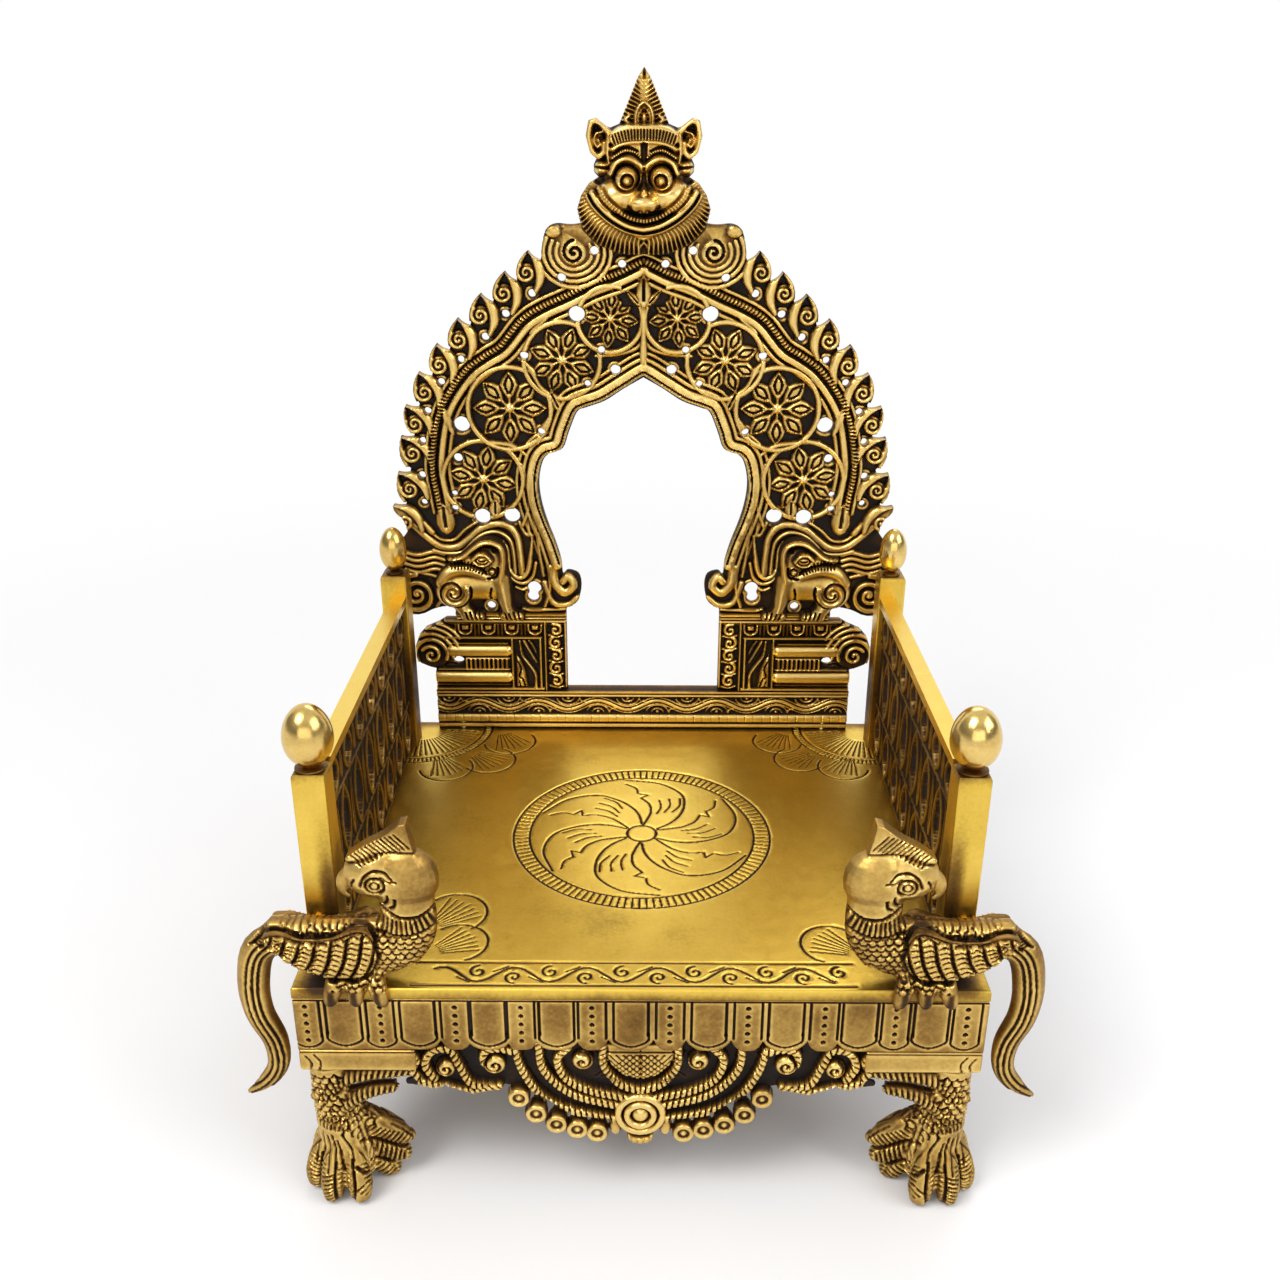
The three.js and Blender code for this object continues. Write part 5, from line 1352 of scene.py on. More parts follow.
side_dark_shares = (0.93, 0.04, 0.3)
rosette_ring_shares = [0.44, 0.385, 0.05]
rosette_ring_line_shares = (0.0045, 0.005)
rosette_tick_shares = (0.4125, 0.0225, 0.05, 0.003, 0.005)
vane_count = 6
vane_outer_shares = [
    (0.062, 0.0), (0.12, 0.08), (0.176, 0.2), (0.238, 0.36), (0.304, 0.56), (0.35, 0.86), (0.374, 1.2),
]
vane_inner_shares = [(0.055, 0.96), (0.1, 0.84), (0.15, 0.83), (0.2, 0.92), (0.24, 1.06)]
vane_notch_shares = [(0.24, 1.06), (0.262, 0.96), (0.272, 1.1)]
vane_tip_shares = [(0.272, 1.1), (0.31, 1.12), (0.345, 1.22)]
vane_dash_shares = [(0.14, 0.66), (0.19, 0.68), (0.235, 0.78)]
vane_line_shares = [
    ("cut", vane_outer_shares, 0.0045, 0.005),
    ("cut", vane_inner_shares, 0.0042, 0.005),
    ("groove", vane_notch_shares, 0.0036, 0.0045),
    ("cut", vane_tip_shares, 0.0036, 0.0045),
]
dash_step_shares = (0.02, -0.13)
dash_line_shares = (0.0032, 0.0045)


def draw_rosette(c, x, z):
    """Two rings with ticks between them, and curved vanes round a hub."""
    for radius in rosette_ring_shares:
        c.groove(ring(x, z, radius, 120), *rosette_ring_line_shares)
    radius, *values = rosette_tick_shares
    c.ticks(ring(x, z, radius, 120), *values)
    for k in range(vane_count):
        start = 2 * math.pi * (k + 0.5) / vane_count

        def at(rows, out=0, turned=0):
            turns = [(reach + out, start + turn + turned) for reach, turn in rows]
            return [(x + reach * math.cos(turn), z + reach * math.sin(turn)) for reach, turn in turns]

        draw(c, [(kind, at(rows), *values) for kind, rows, *values in vane_line_shares])
        out, turned = dash_step_shares
        for j in range(3):
            c.cut(at(vane_dash_shares, j * out, j * turned), *dash_line_shares)


def draw_fan(c, side, x, z, radius, turn):
    """A round petal with a fan of fine lines; side -1 mirrors it."""
    middle = np.array([x, z])
    out = np.array([math.cos(turn), math.sin(turn)])
    across = square_to(out)
    flip = np.array([side, 1])
    sweep = fan_shares["sweep"]
    c.groove(arc(x, z, radius, turn - sweep, turn + sweep, 18) * flip, *fan_arc_line_shares)
    for k in range(-3, 4):
        start = middle + radius * (across * fan_shares["low"] * k - out * fan_shares["foot"])
        tip = fan_shares["tip"] - fan_shares["fall"] * abs(k)
        end = middle + radius * (across * fan_shares["high"] * k + out * tip)
        c.groove([start * flip, end * flip], *fan_line_shares)


def draw_corner(c, side, x, z, reach):
    """Two arcs with ticks between them round a rear corner, and rays inside; side -1 mirrors it."""
    flip = np.array([side, 1])
    for radius in (reach, reach - corner_band_share):
        c.groove(arc(x, z, radius, *corner_sweep) * flip, *corner_arc_line_shares)
    c.ticks(arc(x, z, reach - corner_band_share / 2, *corner_sweep) * flip, *corner_tick_shares)
    starts, ends = (arc(x, z, radius, *ray_sweep) * flip for radius in ray_shares)
    for ray in zip(starts, ends):
        c.groove(ray, *ray_line_shares)


def draw_strip(c):
    """A wave with curls between two lines, along the front."""
    low, high = strip_end_shares
    for z in strip_edge_shares:
        c.groove([(low, z), (high, z)], *strip_edge_line_shares)
    c.groove(wave(*strip_shares.values()), *strip_line_shares)
    middle, period = strip_shares["middle"], strip_shares["period"]
    curl = strip_curl_shares
    for k in range(-5, 6):
        x = k * period / 2 + period / 4
        up = -1 if k % 2 == 0 else 1
        turns, start = up * curl["turns"], up * curl["start"]
        place = (x, middle + up * curl["lift"], curl["radius"], turns, start, *curl["end"])
        c.wind(place, *curl["line"])
        c.groove([(x + a, middle + up * b) for a, b in strip_tick_shares["path"]], *strip_tick_shares["line"])


def bell(distance, width):
    return np.exp(-((distance / width) ** 2))


def darken_seat_edges(c):
    """Darker at the front corners, along the back and along the sides."""
    stain = front_dark_shares
    for side in (-1, 1):
        across = bell(c.X - side * stain["x"], stain["wide"])
        c.dark += stain["dark"] * across * bell(c.Z - stain["z"], stain["deep"])
    middle, width, dark = rear_dark_shares
    c.dark += dark * bell(c.Z - middle, width)
    middle, width, dark = side_dark_shares
    c.dark += dark * bell(np.abs(c.X) - middle, width)


def seat():
    half, low, high = seat_shares
    c = Canvas(-half, half, low, high, seat_step, etch_shares["seat"])
    c.inside = np.minimum(half - np.abs(c.X), np.minimum(c.Z - low, high - c.Z))
    draw_rosette(c, 0, half_depth / unit)
    for fan in fan_place_shares:
        draw_fan(c, *fan)
    for side in (1, -1):
        draw_corner(c, side, *rear_corner_shares)
    draw_strip(c)
    c.shine[:] = seat_shine_share
    darken_seat_edges(c)
    top = band_top + seat_thickness
    place = lambda x, y, height: np.stack([x * unit, y * unit - half_depth, height + top], 1)
    return relief_mesh("seat_engraving", c, place, seat_thickness - hair_gap, keep=keep_shares["seat"])


# Side panels: rows of pointed slots with raised edges

panel_ground_share = -0.004
panel_foot_share = 0.0005
slot_row_shares = [(0.06, 0.22, 7), (0.25, 0.47, 6), (0.5, 0.61, 7)]
slot_pitch_share = 0.18
slot_shares = {"quarter": 0.22, "wide": 0.03, "middle": 0.04, "over": 0}
slot_edge_shares = {"quarter": 0.22, "wide": 0.036, "middle": 0.048, "over": 0.008}
slot_line_shares = (0.011, 0.007, -0.003, 0, 0.05)
panel_leaf_shares = (0.01, 0.045, 0.007, -0.004)
panel_line_shares = [0.045, 0.235, 0.485, 0.625]
panel_line_size_shares = (0.006, 0.006, -0.003)
stud_shares = {"start": 0.02, "pitch": 0.045, "dome": (0.011, 0.009, 0.006, -0.002)}
stud_row_shares = [(0, 0.235), (0.02, 0.485)]


def slot_side(y, half, bottom, top, shares):
    """One side of a pointed slot, from its foot to its tip; half is 1 or -1."""
    rise = shares["quarter"] * (top - bottom)
    wide, middle, over = half * shares["wide"], half * shares["middle"], shares["over"]
    side = [(y, bottom - over), (y + wide, bottom + rise), (y + middle, (bottom + top) / 2)]
    return side + [(y + wide, top - rise), (y, top + over)]


def side_panel(side, name):
    low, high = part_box(name)
    y0, y1 = low.y / unit, high.y / unit
    z0, z1 = seat_thickness / unit + panel_foot_share, (high.z - band_top) / unit
    c = Canvas(y0, y1, z0, z1, panel_step)
    c.add_outline(rectangle(y0, y1, z0, z1))
    c.ground(panel_ground_share)
    middle = (y0 + y1) / 2
    gap, *leaf_values = panel_leaf_shares
    for bottom, top, count in slot_row_shares:
        for k in range(count):
            y = middle + (k - (count - 1) / 2) * slot_pitch_share
            for half in (1, -1):
                c.line(smooth_line(slot_side(y, half, bottom, top, slot_edge_shares), 5), *slot_line_shares)
            right, left = (slot_side(y, half, bottom, top, slot_shares) for half in (1, -1))
            c.cut_outline(right + left[-2:0:-1])
        for k in range(count + 1):
            y = middle + (k - count / 2) * slot_pitch_share
            c.leaf(y, bottom + gap, y, top - gap, *leaf_values)
    for z in panel_line_shares:
        c.line([(y0, z), (y1, z)], *panel_line_size_shares)
    for y in np.arange(y0 + stud_shares["start"], y1, stud_shares["pitch"]):
        for along, z in stud_row_shares:
            c.dome(y + along, z, *stud_shares["dome"])
    inner = low.x if side > 0 else high.x
    front = inner + side * panel_relief
    place = lambda y, z, height: np.stack([front - side * height, y * unit, z * unit + band_top], 1)
    return relief_mesh(name + "_carving", c, place, high.x - low.x - 2 * panel_relief, both=True)


# Round bodies: limbs joined by a voxel remesh, with relief pressed in along the surface

round_count = 20
limb_end_share = 0.6


def tube_faces(rings, count):
    """Faces between rings of points."""
    faces = []
    for i in range(rings - 1):
        for k in range(count):
            n = (k + 1) % count
            faces.append((i * count + k, i * count + n, (i + 1) * count + n, (i + 1) * count + k))
    return faces


def capped_tube(rings, start, end):
    """Vertices and faces of a closed tube through rings of points, with a tip at each end."""
    count = len(rings[0])
    vertices = np.vstack(list(rings) + [[start], [end]])
    faces = tube_faces(len(rings), count)
    last = (len(rings) - 1) * count
    for k in range(count):
        n = (k + 1) % count
        faces.append((n, k, len(vertices) - 2))
        faces.append((last + k, last + n, len(vertices) - 1))
    return vertices, faces


def straight(way):
    """A way of length 1."""
    return way / np.linalg.norm(way)


def limb_mesh(stations, across, count=round_count):
    """A closed tube through [centre, half size along across, half size square to it]."""
    centres = np.array([centre for centre, *_ in stations], float)
    halves = np.array([sizes for _, *sizes in stations], float)
    path = smooth_line(centres, 5)
    t = np.linspace(0, len(centres) - 1, len(path))
    sizes = np.stack([np.interp(t, range(len(centres)), half) for half in halves.T], 1)
    angle = np.linspace(0, 2 * math.pi, count, endpoint=False)
    rings = []
    for i, (centre, (a, b)) in enumerate(zip(path, sizes)):
        along = straight(path[min(i + 1, len(path) - 1)] - path[max(i - 1, 0)])
        other = straight(np.cross(along, across))
        level = np.cross(other, along)
        rings.append(centre + np.outer(np.cos(angle) * a, level) + np.outer(np.sin(angle) * b, other))
    start = path[0] - straight(path[1] - path[0]) * sizes[0].min() * limb_end_share
    end = path[-1] + straight(path[-1] - path[-2]) * sizes[-1].min() * limb_end_share
    return capped_tube(rings, start, end)


def ball_mesh(centre, halves):
    """A closed ball with three half sizes."""
    turns = np.linspace(0, 2 * math.pi, round_count, endpoint=False)
    level = np.stack([np.cos(turns), np.sin(turns), np.zeros(round_count)], 1)
    top = np.array([0, 0, 1])
    falls = np.linspace(0, math.pi, round_count // 2 + 1)[1:-1]
    vertices, faces = capped_tube([level * math.sin(a) + top * math.cos(a) for a in falls], top, -top)
    return vertices * halves + np.asarray(centre), faces


def slab_mesh(outline, y0, y1):
    """A flat plate from an outline in X and Z between two depths."""
    count = len(outline)
    vertices = [(x, y, z) for y in (y0, y1) for x, z in outline]
    caps = tessellate_polygon([[Vector((x, z, 0)) for x, z in outline]])
    faces = [tuple(t) for t in caps] + [tuple(i + count for i in reversed(t)) for t in caps]
    faces += [(k, (k + 1) % count, (k + 1) % count + count, k + count) for k in range(count)]
    return np.array(vertices), faces


def box_mesh(low, high):
    corners = [(x, y, z) for x in (low[0], high[0]) for y in (low[1], high[1]) for z in (low[2], high[2])]
    faces = [(0, 1, 3, 2), (4, 6, 7, 5), (0, 4, 5, 1), (2, 3, 7, 6), (0, 2, 6, 4), (1, 5, 7, 3)]
    return np.array(corners), faces


def remeshed(name, parts, voxel):
    """One closed skin round several bodies."""
    vertices, faces, start = [], [], 0
    for points, polygons in parts:
        vertices.append(points)
        faces += [tuple(i + start for i in face) for face in polygons]
        start += len(points)
    mesh = made_mesh(name, np.vstack(vertices), faces)
    face_outwards(mesh)
    rough = placed(name, mesh)
    remesh = rough.modifiers.new("skin", "REMESH")
    remesh.mode = "VOXEL"
    remesh.voxel_size = voxel
    smoothing = rough.modifiers.new("smoothing", "SMOOTH")
    smoothing.iterations = 3
    skin = applied(rough)
    bpy.data.objects.remove(rough)
    return skin


def vectors(source, field):
    """A mesh field of vectors as rows."""
    values = np.empty(len(source) * 3)
    source.foreach_get(field, values)
    return values.reshape(-1, 3)


def pressed(name, skin, relief_at):
    """The skin moved along its normals by a relief, which also gives its patina, with painted shade on the
    birds.
    """
    points, normals = vectors(skin.vertices, "co"), vectors(skin.vertex_normals, "vector")
    depth, patina = relief_at(points, normals)
    skin.vertices.foreach_set("co", (points + normals * depth[:, None]).ravel())
    skin.update()
    return finished(name, skin, patina)


def flipped(piece, axis):
    """Mirrors a piece along an axis through the middle of the throne."""
    piece.data.transform(Matrix.Scale(-1, 4, axis))
    piece.data.flip_normals()


def sampled(field, c, x, z):
    """A canvas field read at scattered places."""
    i = np.clip((x - c.x[0]) / c.step, 0, len(c.x) - last_cell)
    k = np.clip((z - c.z[0]) / c.step, 0, len(c.z) - last_cell)
    i0, k0 = i.astype(int), k.astype(int)
    u, v = i - i0, k - k0
    top = field[k0, i0] * (1 - u) + field[k0, i0 + 1] * u
    low = field[k0 + 1, i0] * (1 - u) + field[k0 + 1, i0 + 1] * u
    return top * (1 - v) + low * v


def fade(value, start, width):
    """0 up to the start and 1 past the width; a negative width fades the other way."""
    return np.clip((value - start) / width, 0, 1)


# Birds: one on each front corner, looking inwards, with a crest and a long hanging tail

bird_frame_shares = (0.5, 1.22, -0.42, 0.6)
bird_y_share = 0.055
bird_limb_shares = [
    [(1.06, 0.195, 0.045, 0.045), (0.97, 0.17, 0.06, 0.07), (0.86, 0.15, 0.062, 0.09),
        (0.74, 0.15, 0.06, 0.095), (0.68, 0.16, 0.05, 0.08)],
    [(0.7, 0.13, 0.055, 0.075), (0.662, 0.2, 0.056, 0.082), (0.655, 0.27, 0.054, 0.08),
        (0.66, 0.34, 0.05, 0.08)],
    [(0.79, 0.385, 0.03, 0.045), (0.822, 0.365, 0.02, 0.03), (0.83, 0.335, 0.013, 0.017),
        (0.815, 0.31, 0.007, 0.008)],
    [(1.0, 0.19, 0.035, 0.05), (1.09, 0.135, 0.038, 0.05), (1.12, 0.02, 0.038, 0.047),
        (1.115, -0.09, 0.034, 0.043), (1.08, -0.19, 0.03, 0.038), (1.08, -0.28, 0.026, 0.033),
        (1.12, -0.345, 0.021, 0.027), (1.18, -0.392, 0.008, 0.009)],
]
bird_ball_shares = [
    (0.66, 0.375, 0.1, 0.062, 0.1), (0.74, 0.395, 0.088, 0.055, 0.08), (0.815, 0.052, 0.064, 0.08, 0.056),
]
bird_toe_shares = [0.76, 0.81, 0.86]
toe_middle_share = 0.81
toe_spread_share = 0.16
bird_toe_path_shares = [
    (0.04, 0.034, 0.026), (0.0, 0.024, 0.029), (-0.01, -0.002, 0.027), (-0.012, -0.03, 0.021),
    (-0.006, -0.05, 0.009),
]
toe_count = 12
bird_crest_half = 0.0026
bird_crest_shares = [
    (0.815, 0.45), (0.765, 0.487), (0.705, 0.52), (0.66, 0.556), (0.64, 0.562), (0.634, 0.52),
    (0.622, 0.465), (0.7, 0.42), (0.79, 0.42),
]
bird_wing_depths = (0.003, 0.0066)
bird_wing_shares = [
    (0.735, 0.15), (0.75, 0.215), (0.79, 0.238), (0.87, 0.21), (0.95, 0.208), (1.0, 0.222), (1.045, 0.222),
    (1.06, 0.205), (1.03, 0.16), (0.97, 0.11), (0.89, 0.082), (0.8, 0.08), (0.755, 0.105),
]
perch_low = (0.0765, 0.001, 0.0001)
perch_high = (0.0855, 0.0098, 0.0062)
bird_stroke_shares = [
    ("scales", [(0.665, 0.0), (0.665, 0.1), (0.66, 0.215)], [0.08, 0.095], 0.0175, 0.0165, 0.011),
    ("scales", [(0.815, 0.02), (0.815, 0.085)], [0.04, 0.04], 0.016, 0.0145, 0.01),
    ("scales", [(1.0, 0.26), (0.92, 0.24), (0.82, 0.27)], [0.02, 0.03], 0.018, 0.0135, 0.008),
    ("comb", [(0.57, 0.262), (0.62, 0.245), (0.68, 0.24), (0.74, 0.25)], 0.0145, 0.046, 0.0035, 0.009),
    ("cut", [(0.57, 0.235), (0.63, 0.218), (0.7, 0.215), (0.76, 0.23)], 0.005, 0.012),
    ("cut", [(0.55, 0.315), (0.6, 0.28), (0.66, 0.272), (0.71, 0.29), (0.76, 0.315),
        (0.81, 0.335)], [0.006, 0.009], 0.018),
    ("cut", [(0.68, 0.335), (0.685, 0.31), (0.7, 0.3)], 0.005, 0.012),
    ("cut", [(0.7, 0.345), (0.706, 0.32), (0.72, 0.31)], 0.005, 0.012),
    ("cut", [(0.79, 0.395), (0.802, 0.37), (0.79, 0.34), (0.76, 0.325)], 0.004, 0.009),
    ("cut", [(0.775, 0.375), (0.762, 0.405), (0.735, 0.425), (0.705, 0.42), (0.685, 0.402)], 0.005, 0.01),
    ("cut", [(0.715, 0.405), (0.695, 0.393), (0.672, 0.395)], 0.004, 0.008),
    ("ring", 0.733, 0.378, 0.026, 0.0045, 0.012),
    ("ring", 0.733, 0.378, 0.0125, 0.0032, 0.009),
    ("cut", [(0.62, 0.468), (0.68, 0.47), (0.74, 0.462), (0.81, 0.435)], 0.0045, 0.007),
    ("comb", [(0.655, 0.505), (0.7, 0.492), (0.75, 0.474), (0.79, 0.456)], 0.0135, 0.05, 0.003, 0.009, 0.5),
    ("area", bird_wing_shares, 0.014, 0.02),
    ("cut", bird_wing_shares + bird_wing_shares[:1], 0.0065, 0.014),
    ("cut", [(0.87, 0.2), (0.95, 0.198), (1.0, 0.222), (1.07, 0.226)], 0.004, 0.009),
    ("cut", [(0.755, 0.062), (0.76, 0.025), (0.8, 0.012), (0.85, 0.02), (0.87, 0.05)], 0.005, 0.014),
    ("cut", [(0.71, 0.03), (0.76, 0.024), (0.83, -0.004), (0.9, 0.02)], 0.0035, 0.006),
]
wing_band_shares = [0.738, 0.775, 0.818, 0.862, 0.906, 0.95, 0.992, 1.032]
wing_band_rise_shares = (0.08, 0.02, 0.225, 0.01)
wing_band_path_shares = (0.046, 0.016, -0.01)
wing_band_line_shares = (0.0045, 0.016)
barb_shares = {"start": 0.1, "end": 0.95, "pitch": 0.12, "bend": 1.3}
barb_path_shares = [(0.006, 0.003), (0.022, 0.009), (0.038, 0.002)]
barb_line_shares = (0.0032, 0.011)
tail_groove_shares = [-0.021, -0.004, 0.015]
tail_line_shares = ([0.0042, 0.0042, 0.0025], 0.009)
bird_facing_scale = 1.6
bird_plain_shares = (0.4, 0.15)
# Painted shade: how much the birds' down-facing surfaces are darkened
bird_underside_shade_share = 0.3
bird_tone_shares = {"low": 0.08, "drop": 0.13, "start": 0.27, "width": 0.04}
# Painted shade at the throat, under the beak
throat_shade_shares = {"x": 0.8, "wide": 0.07, "z": 0.29, "tall": 0.035, "dark": 0.6}
claw_shares = {"top": 0.052, "reach": 0.11, "soft": -0.01}
toe_gap_shares = {"start": 0.747, "pitch": 0.065, "from": 0.0192, "width": 0.012, "dark": 0.5}


def bird_patterns():
    """Feather relief in X and Z for both faces of a bird."""
    c = Canvas(*bird_frame_shares, fine_step)
    draw(c, bird_stroke_shares)
    foot_low, foot_rise, top, top_drop = wing_band_rise_shares
    foot_out, middle_out, middle_drop = wing_band_path_shares
    for k, x in enumerate(wing_band_shares):
        low, high = foot_low + foot_rise * max(k - 3, 0), top - top_drop * (k > 1)
        middle = (x + middle_out, (low + high) / 2 + middle_drop)
        c.cut([(x + foot_out, low), middle, (x, high)], *wing_band_line_shares)
        for t in np.arange(barb_shares["start"], barb_shares["end"], barb_shares["pitch"]):
            foot, rise = x + foot_out * (1 - t) ** barb_shares["bend"], low + t * (high - low)
            c.cut(shifted(barb_path_shares, foot, rise), *barb_line_shares)
    tail = smooth_line([row[:2] for row in bird_limb_shares[-1]], 6)
    for offset in tail_groove_shares:
        c.groove(beside(tail, offset), *tail_line_shares)
    c.inside[:] = 1
    return c


def bird_parts():
    """The plain bodies of the right bird."""
    y = bird_y_share * unit - half_depth
    seat_z = band_top + seat_thickness

    def at(x, z):
        return (x * unit, y, z * unit + band_top)

    def lifted(outline):
        return [(x * unit, z * unit + band_top) for x, z in outline]

    parts = []
    for rows in bird_limb_shares:
        parts.append(limb_mesh([(at(x, z), a * unit, b * unit) for x, z, a, b in rows], (0, 1, 0)))
    for x, z, *halves in bird_ball_shares:
        parts.append(ball_mesh(at(x, z), np.array(halves) * unit))
    parts.append(slab_mesh(lifted(bird_crest_shares), y - bird_crest_half, y + bird_crest_half))
    wing = lifted(smooth_line(closed(bird_wing_shares), 4)[:-1])
    low, high = bird_wing_depths
    parts += [slab_mesh(wing, y - high, y - low), slab_mesh(wing, y + low, y + high)]
    parts.append(box_mesh(*(np.array(end) + (0, -half_depth, seat_z) for end in (perch_low, perch_high))))
    for x in bird_toe_shares:
        lean = (x - toe_middle_share) * toe_spread_share
        stations = [
            (((x + k * lean) * unit, dy * unit - half_depth, seat_z + dz * unit), r * unit, r * unit)
            for k, (dy, dz, r) in enumerate(bird_toe_path_shares)
        ]
        parts.append(limb_mesh(stations, (1, 0, 0), toe_count))
    return parts


def bird(side, name, c):
    """A bird made for the right corner, with the patterns of a canvas on both faces."""
    patina = c.patina()

    def relief_at(points, normals):
        x, z = points[:, 0] / unit, (points[:, 2] - band_top) / unit
        off = np.abs(x - toe_middle_share)
        soft = claw_shares["soft"]
        claw = fade(z, claw_shares["top"], soft) * fade(off, claw_shares["reach"], soft)
        facing = np.clip(np.abs(normals[:, 1]) * bird_facing_scale, 0, 1) * (1 - claw)
        plain, claw_bright = bird_plain_shares
        tone = bird_tone_shares["low"]
        tone -= bird_tone_shares["drop"] * fade(z, bird_tone_shares["start"], bird_tone_shares["width"])
        # Painted shade: surfaces that face down are darkened by how far they face down
        under = np.clip(-normals[:, 2], 0, 1) * bird_underside_shade_share
        # Painted shade: a dark patch at the throat, under the beak, where the neck is shaded
        throat = bell(x - throat_shade_shares["x"], throat_shade_shares["wide"])
        throat = throat * bell(z - throat_shade_shares["z"], throat_shade_shares["tall"])
        pitch = toe_gap_shares["pitch"]
        between = np.abs((x - toe_gap_shares["start"]) % pitch - pitch / 2)
        gap = toe_gap_shares["dark"] * fade(between, toe_gap_shares["from"], toe_gap_shares["width"])
        value = sampled(patina, c, x, z) * facing + (plain - claw_bright * claw) * (1 - facing)
        value += tone + under + throat * throat_shade_shares["dark"] + claw * gap
        return sampled(c.height, c, x, z) * facing * unit, np.clip(value, 0, 1)

    made = pressed(name + "_sculpture", remeshed(name + "_skin", bird_parts(), body_voxel), relief_at)
    if side < 0:
        flipped(made, (1, 0, 0))
    return made


# Legs: a scaled corner bracket with two arms on each face, a shank and a clawed paw

leg_frame_shares = (-0.06, 0.36, -0.77, -0.17)
arm_shares = [
    [(0.04, -0.4, 0.034, 0.036), (0.1, -0.325, 0.032, 0.037), (0.18, -0.297, 0.028, 0.036),
        (0.26, -0.29, 0.024, 0.032), (0.33, -0.292, 0.015, 0.022)],
    [(0.06, -0.47, 0.034, 0.035), (0.12, -0.405, 0.031, 0.036), (0.19, -0.366, 0.026, 0.033),
        (0.27, -0.352, 0.017, 0.024)],
]
arm_inset_share = 0.042
shank_shares = [
    (0.07, 0.068, -0.24, 0.06, 0.06), (0.068, 0.066, -0.34, 0.06, 0.06),
    (0.075, 0.073, -0.46, 0.068, 0.068), (0.09, 0.085, -0.54, 0.083, 0.08),
    (0.1, 0.098, -0.62, 0.094, 0.092), (0.1, 0.1, -0.7, 0.09, 0.09),
]
toe_shares = [(0.04, -0.56, 0.032), (0.088, -0.63, 0.04), (0.11, -0.7, 0.04), (0.116, -0.745, 0.03)]
toe_root_share = 0.1
toe_angles = np.radians([-21, 23, 67, 111])
leg_toe_count = 14
inner_toe_shares = [
    [(0.12, 0.09, -0.5, 0.045, 0.04), (0.19, 0.1, -0.555, 0.05, 0.042), (0.25, 0.105, -0.6, 0.044, 0.034),
        (0.29, 0.11, -0.612, 0.022, 0.018)],
    [(0.13, 0.09, -0.57, 0.05, 0.045), (0.2, 0.1, -0.63, 0.05, 0.04), (0.25, 0.1, -0.665, 0.042, 0.032),
        (0.275, 0.1, -0.68, 0.022, 0.018)],
    [(0.12, 0.09, -0.62, 0.05, 0.05), (0.18, 0.1, -0.69, 0.05, 0.042), (0.215, 0.1, -0.725, 0.042, 0.034),
        (0.235, 0.1, -0.742, 0.024, 0.02)],
]
bracket_shares = [
    [(0.34, 0.0015, -0.262), (0.0015, 0.022, -0.1855)],
    [(0.022, 0.0015, -0.262), (0.0015, 0.34, -0.1855)],
    [(0.15, 0.0015, -0.262), (0.0015, 0.15, -0.1855)],
    [(0.15, 0.022, -0.262), (0.022, 0.12, -0.001)],
]
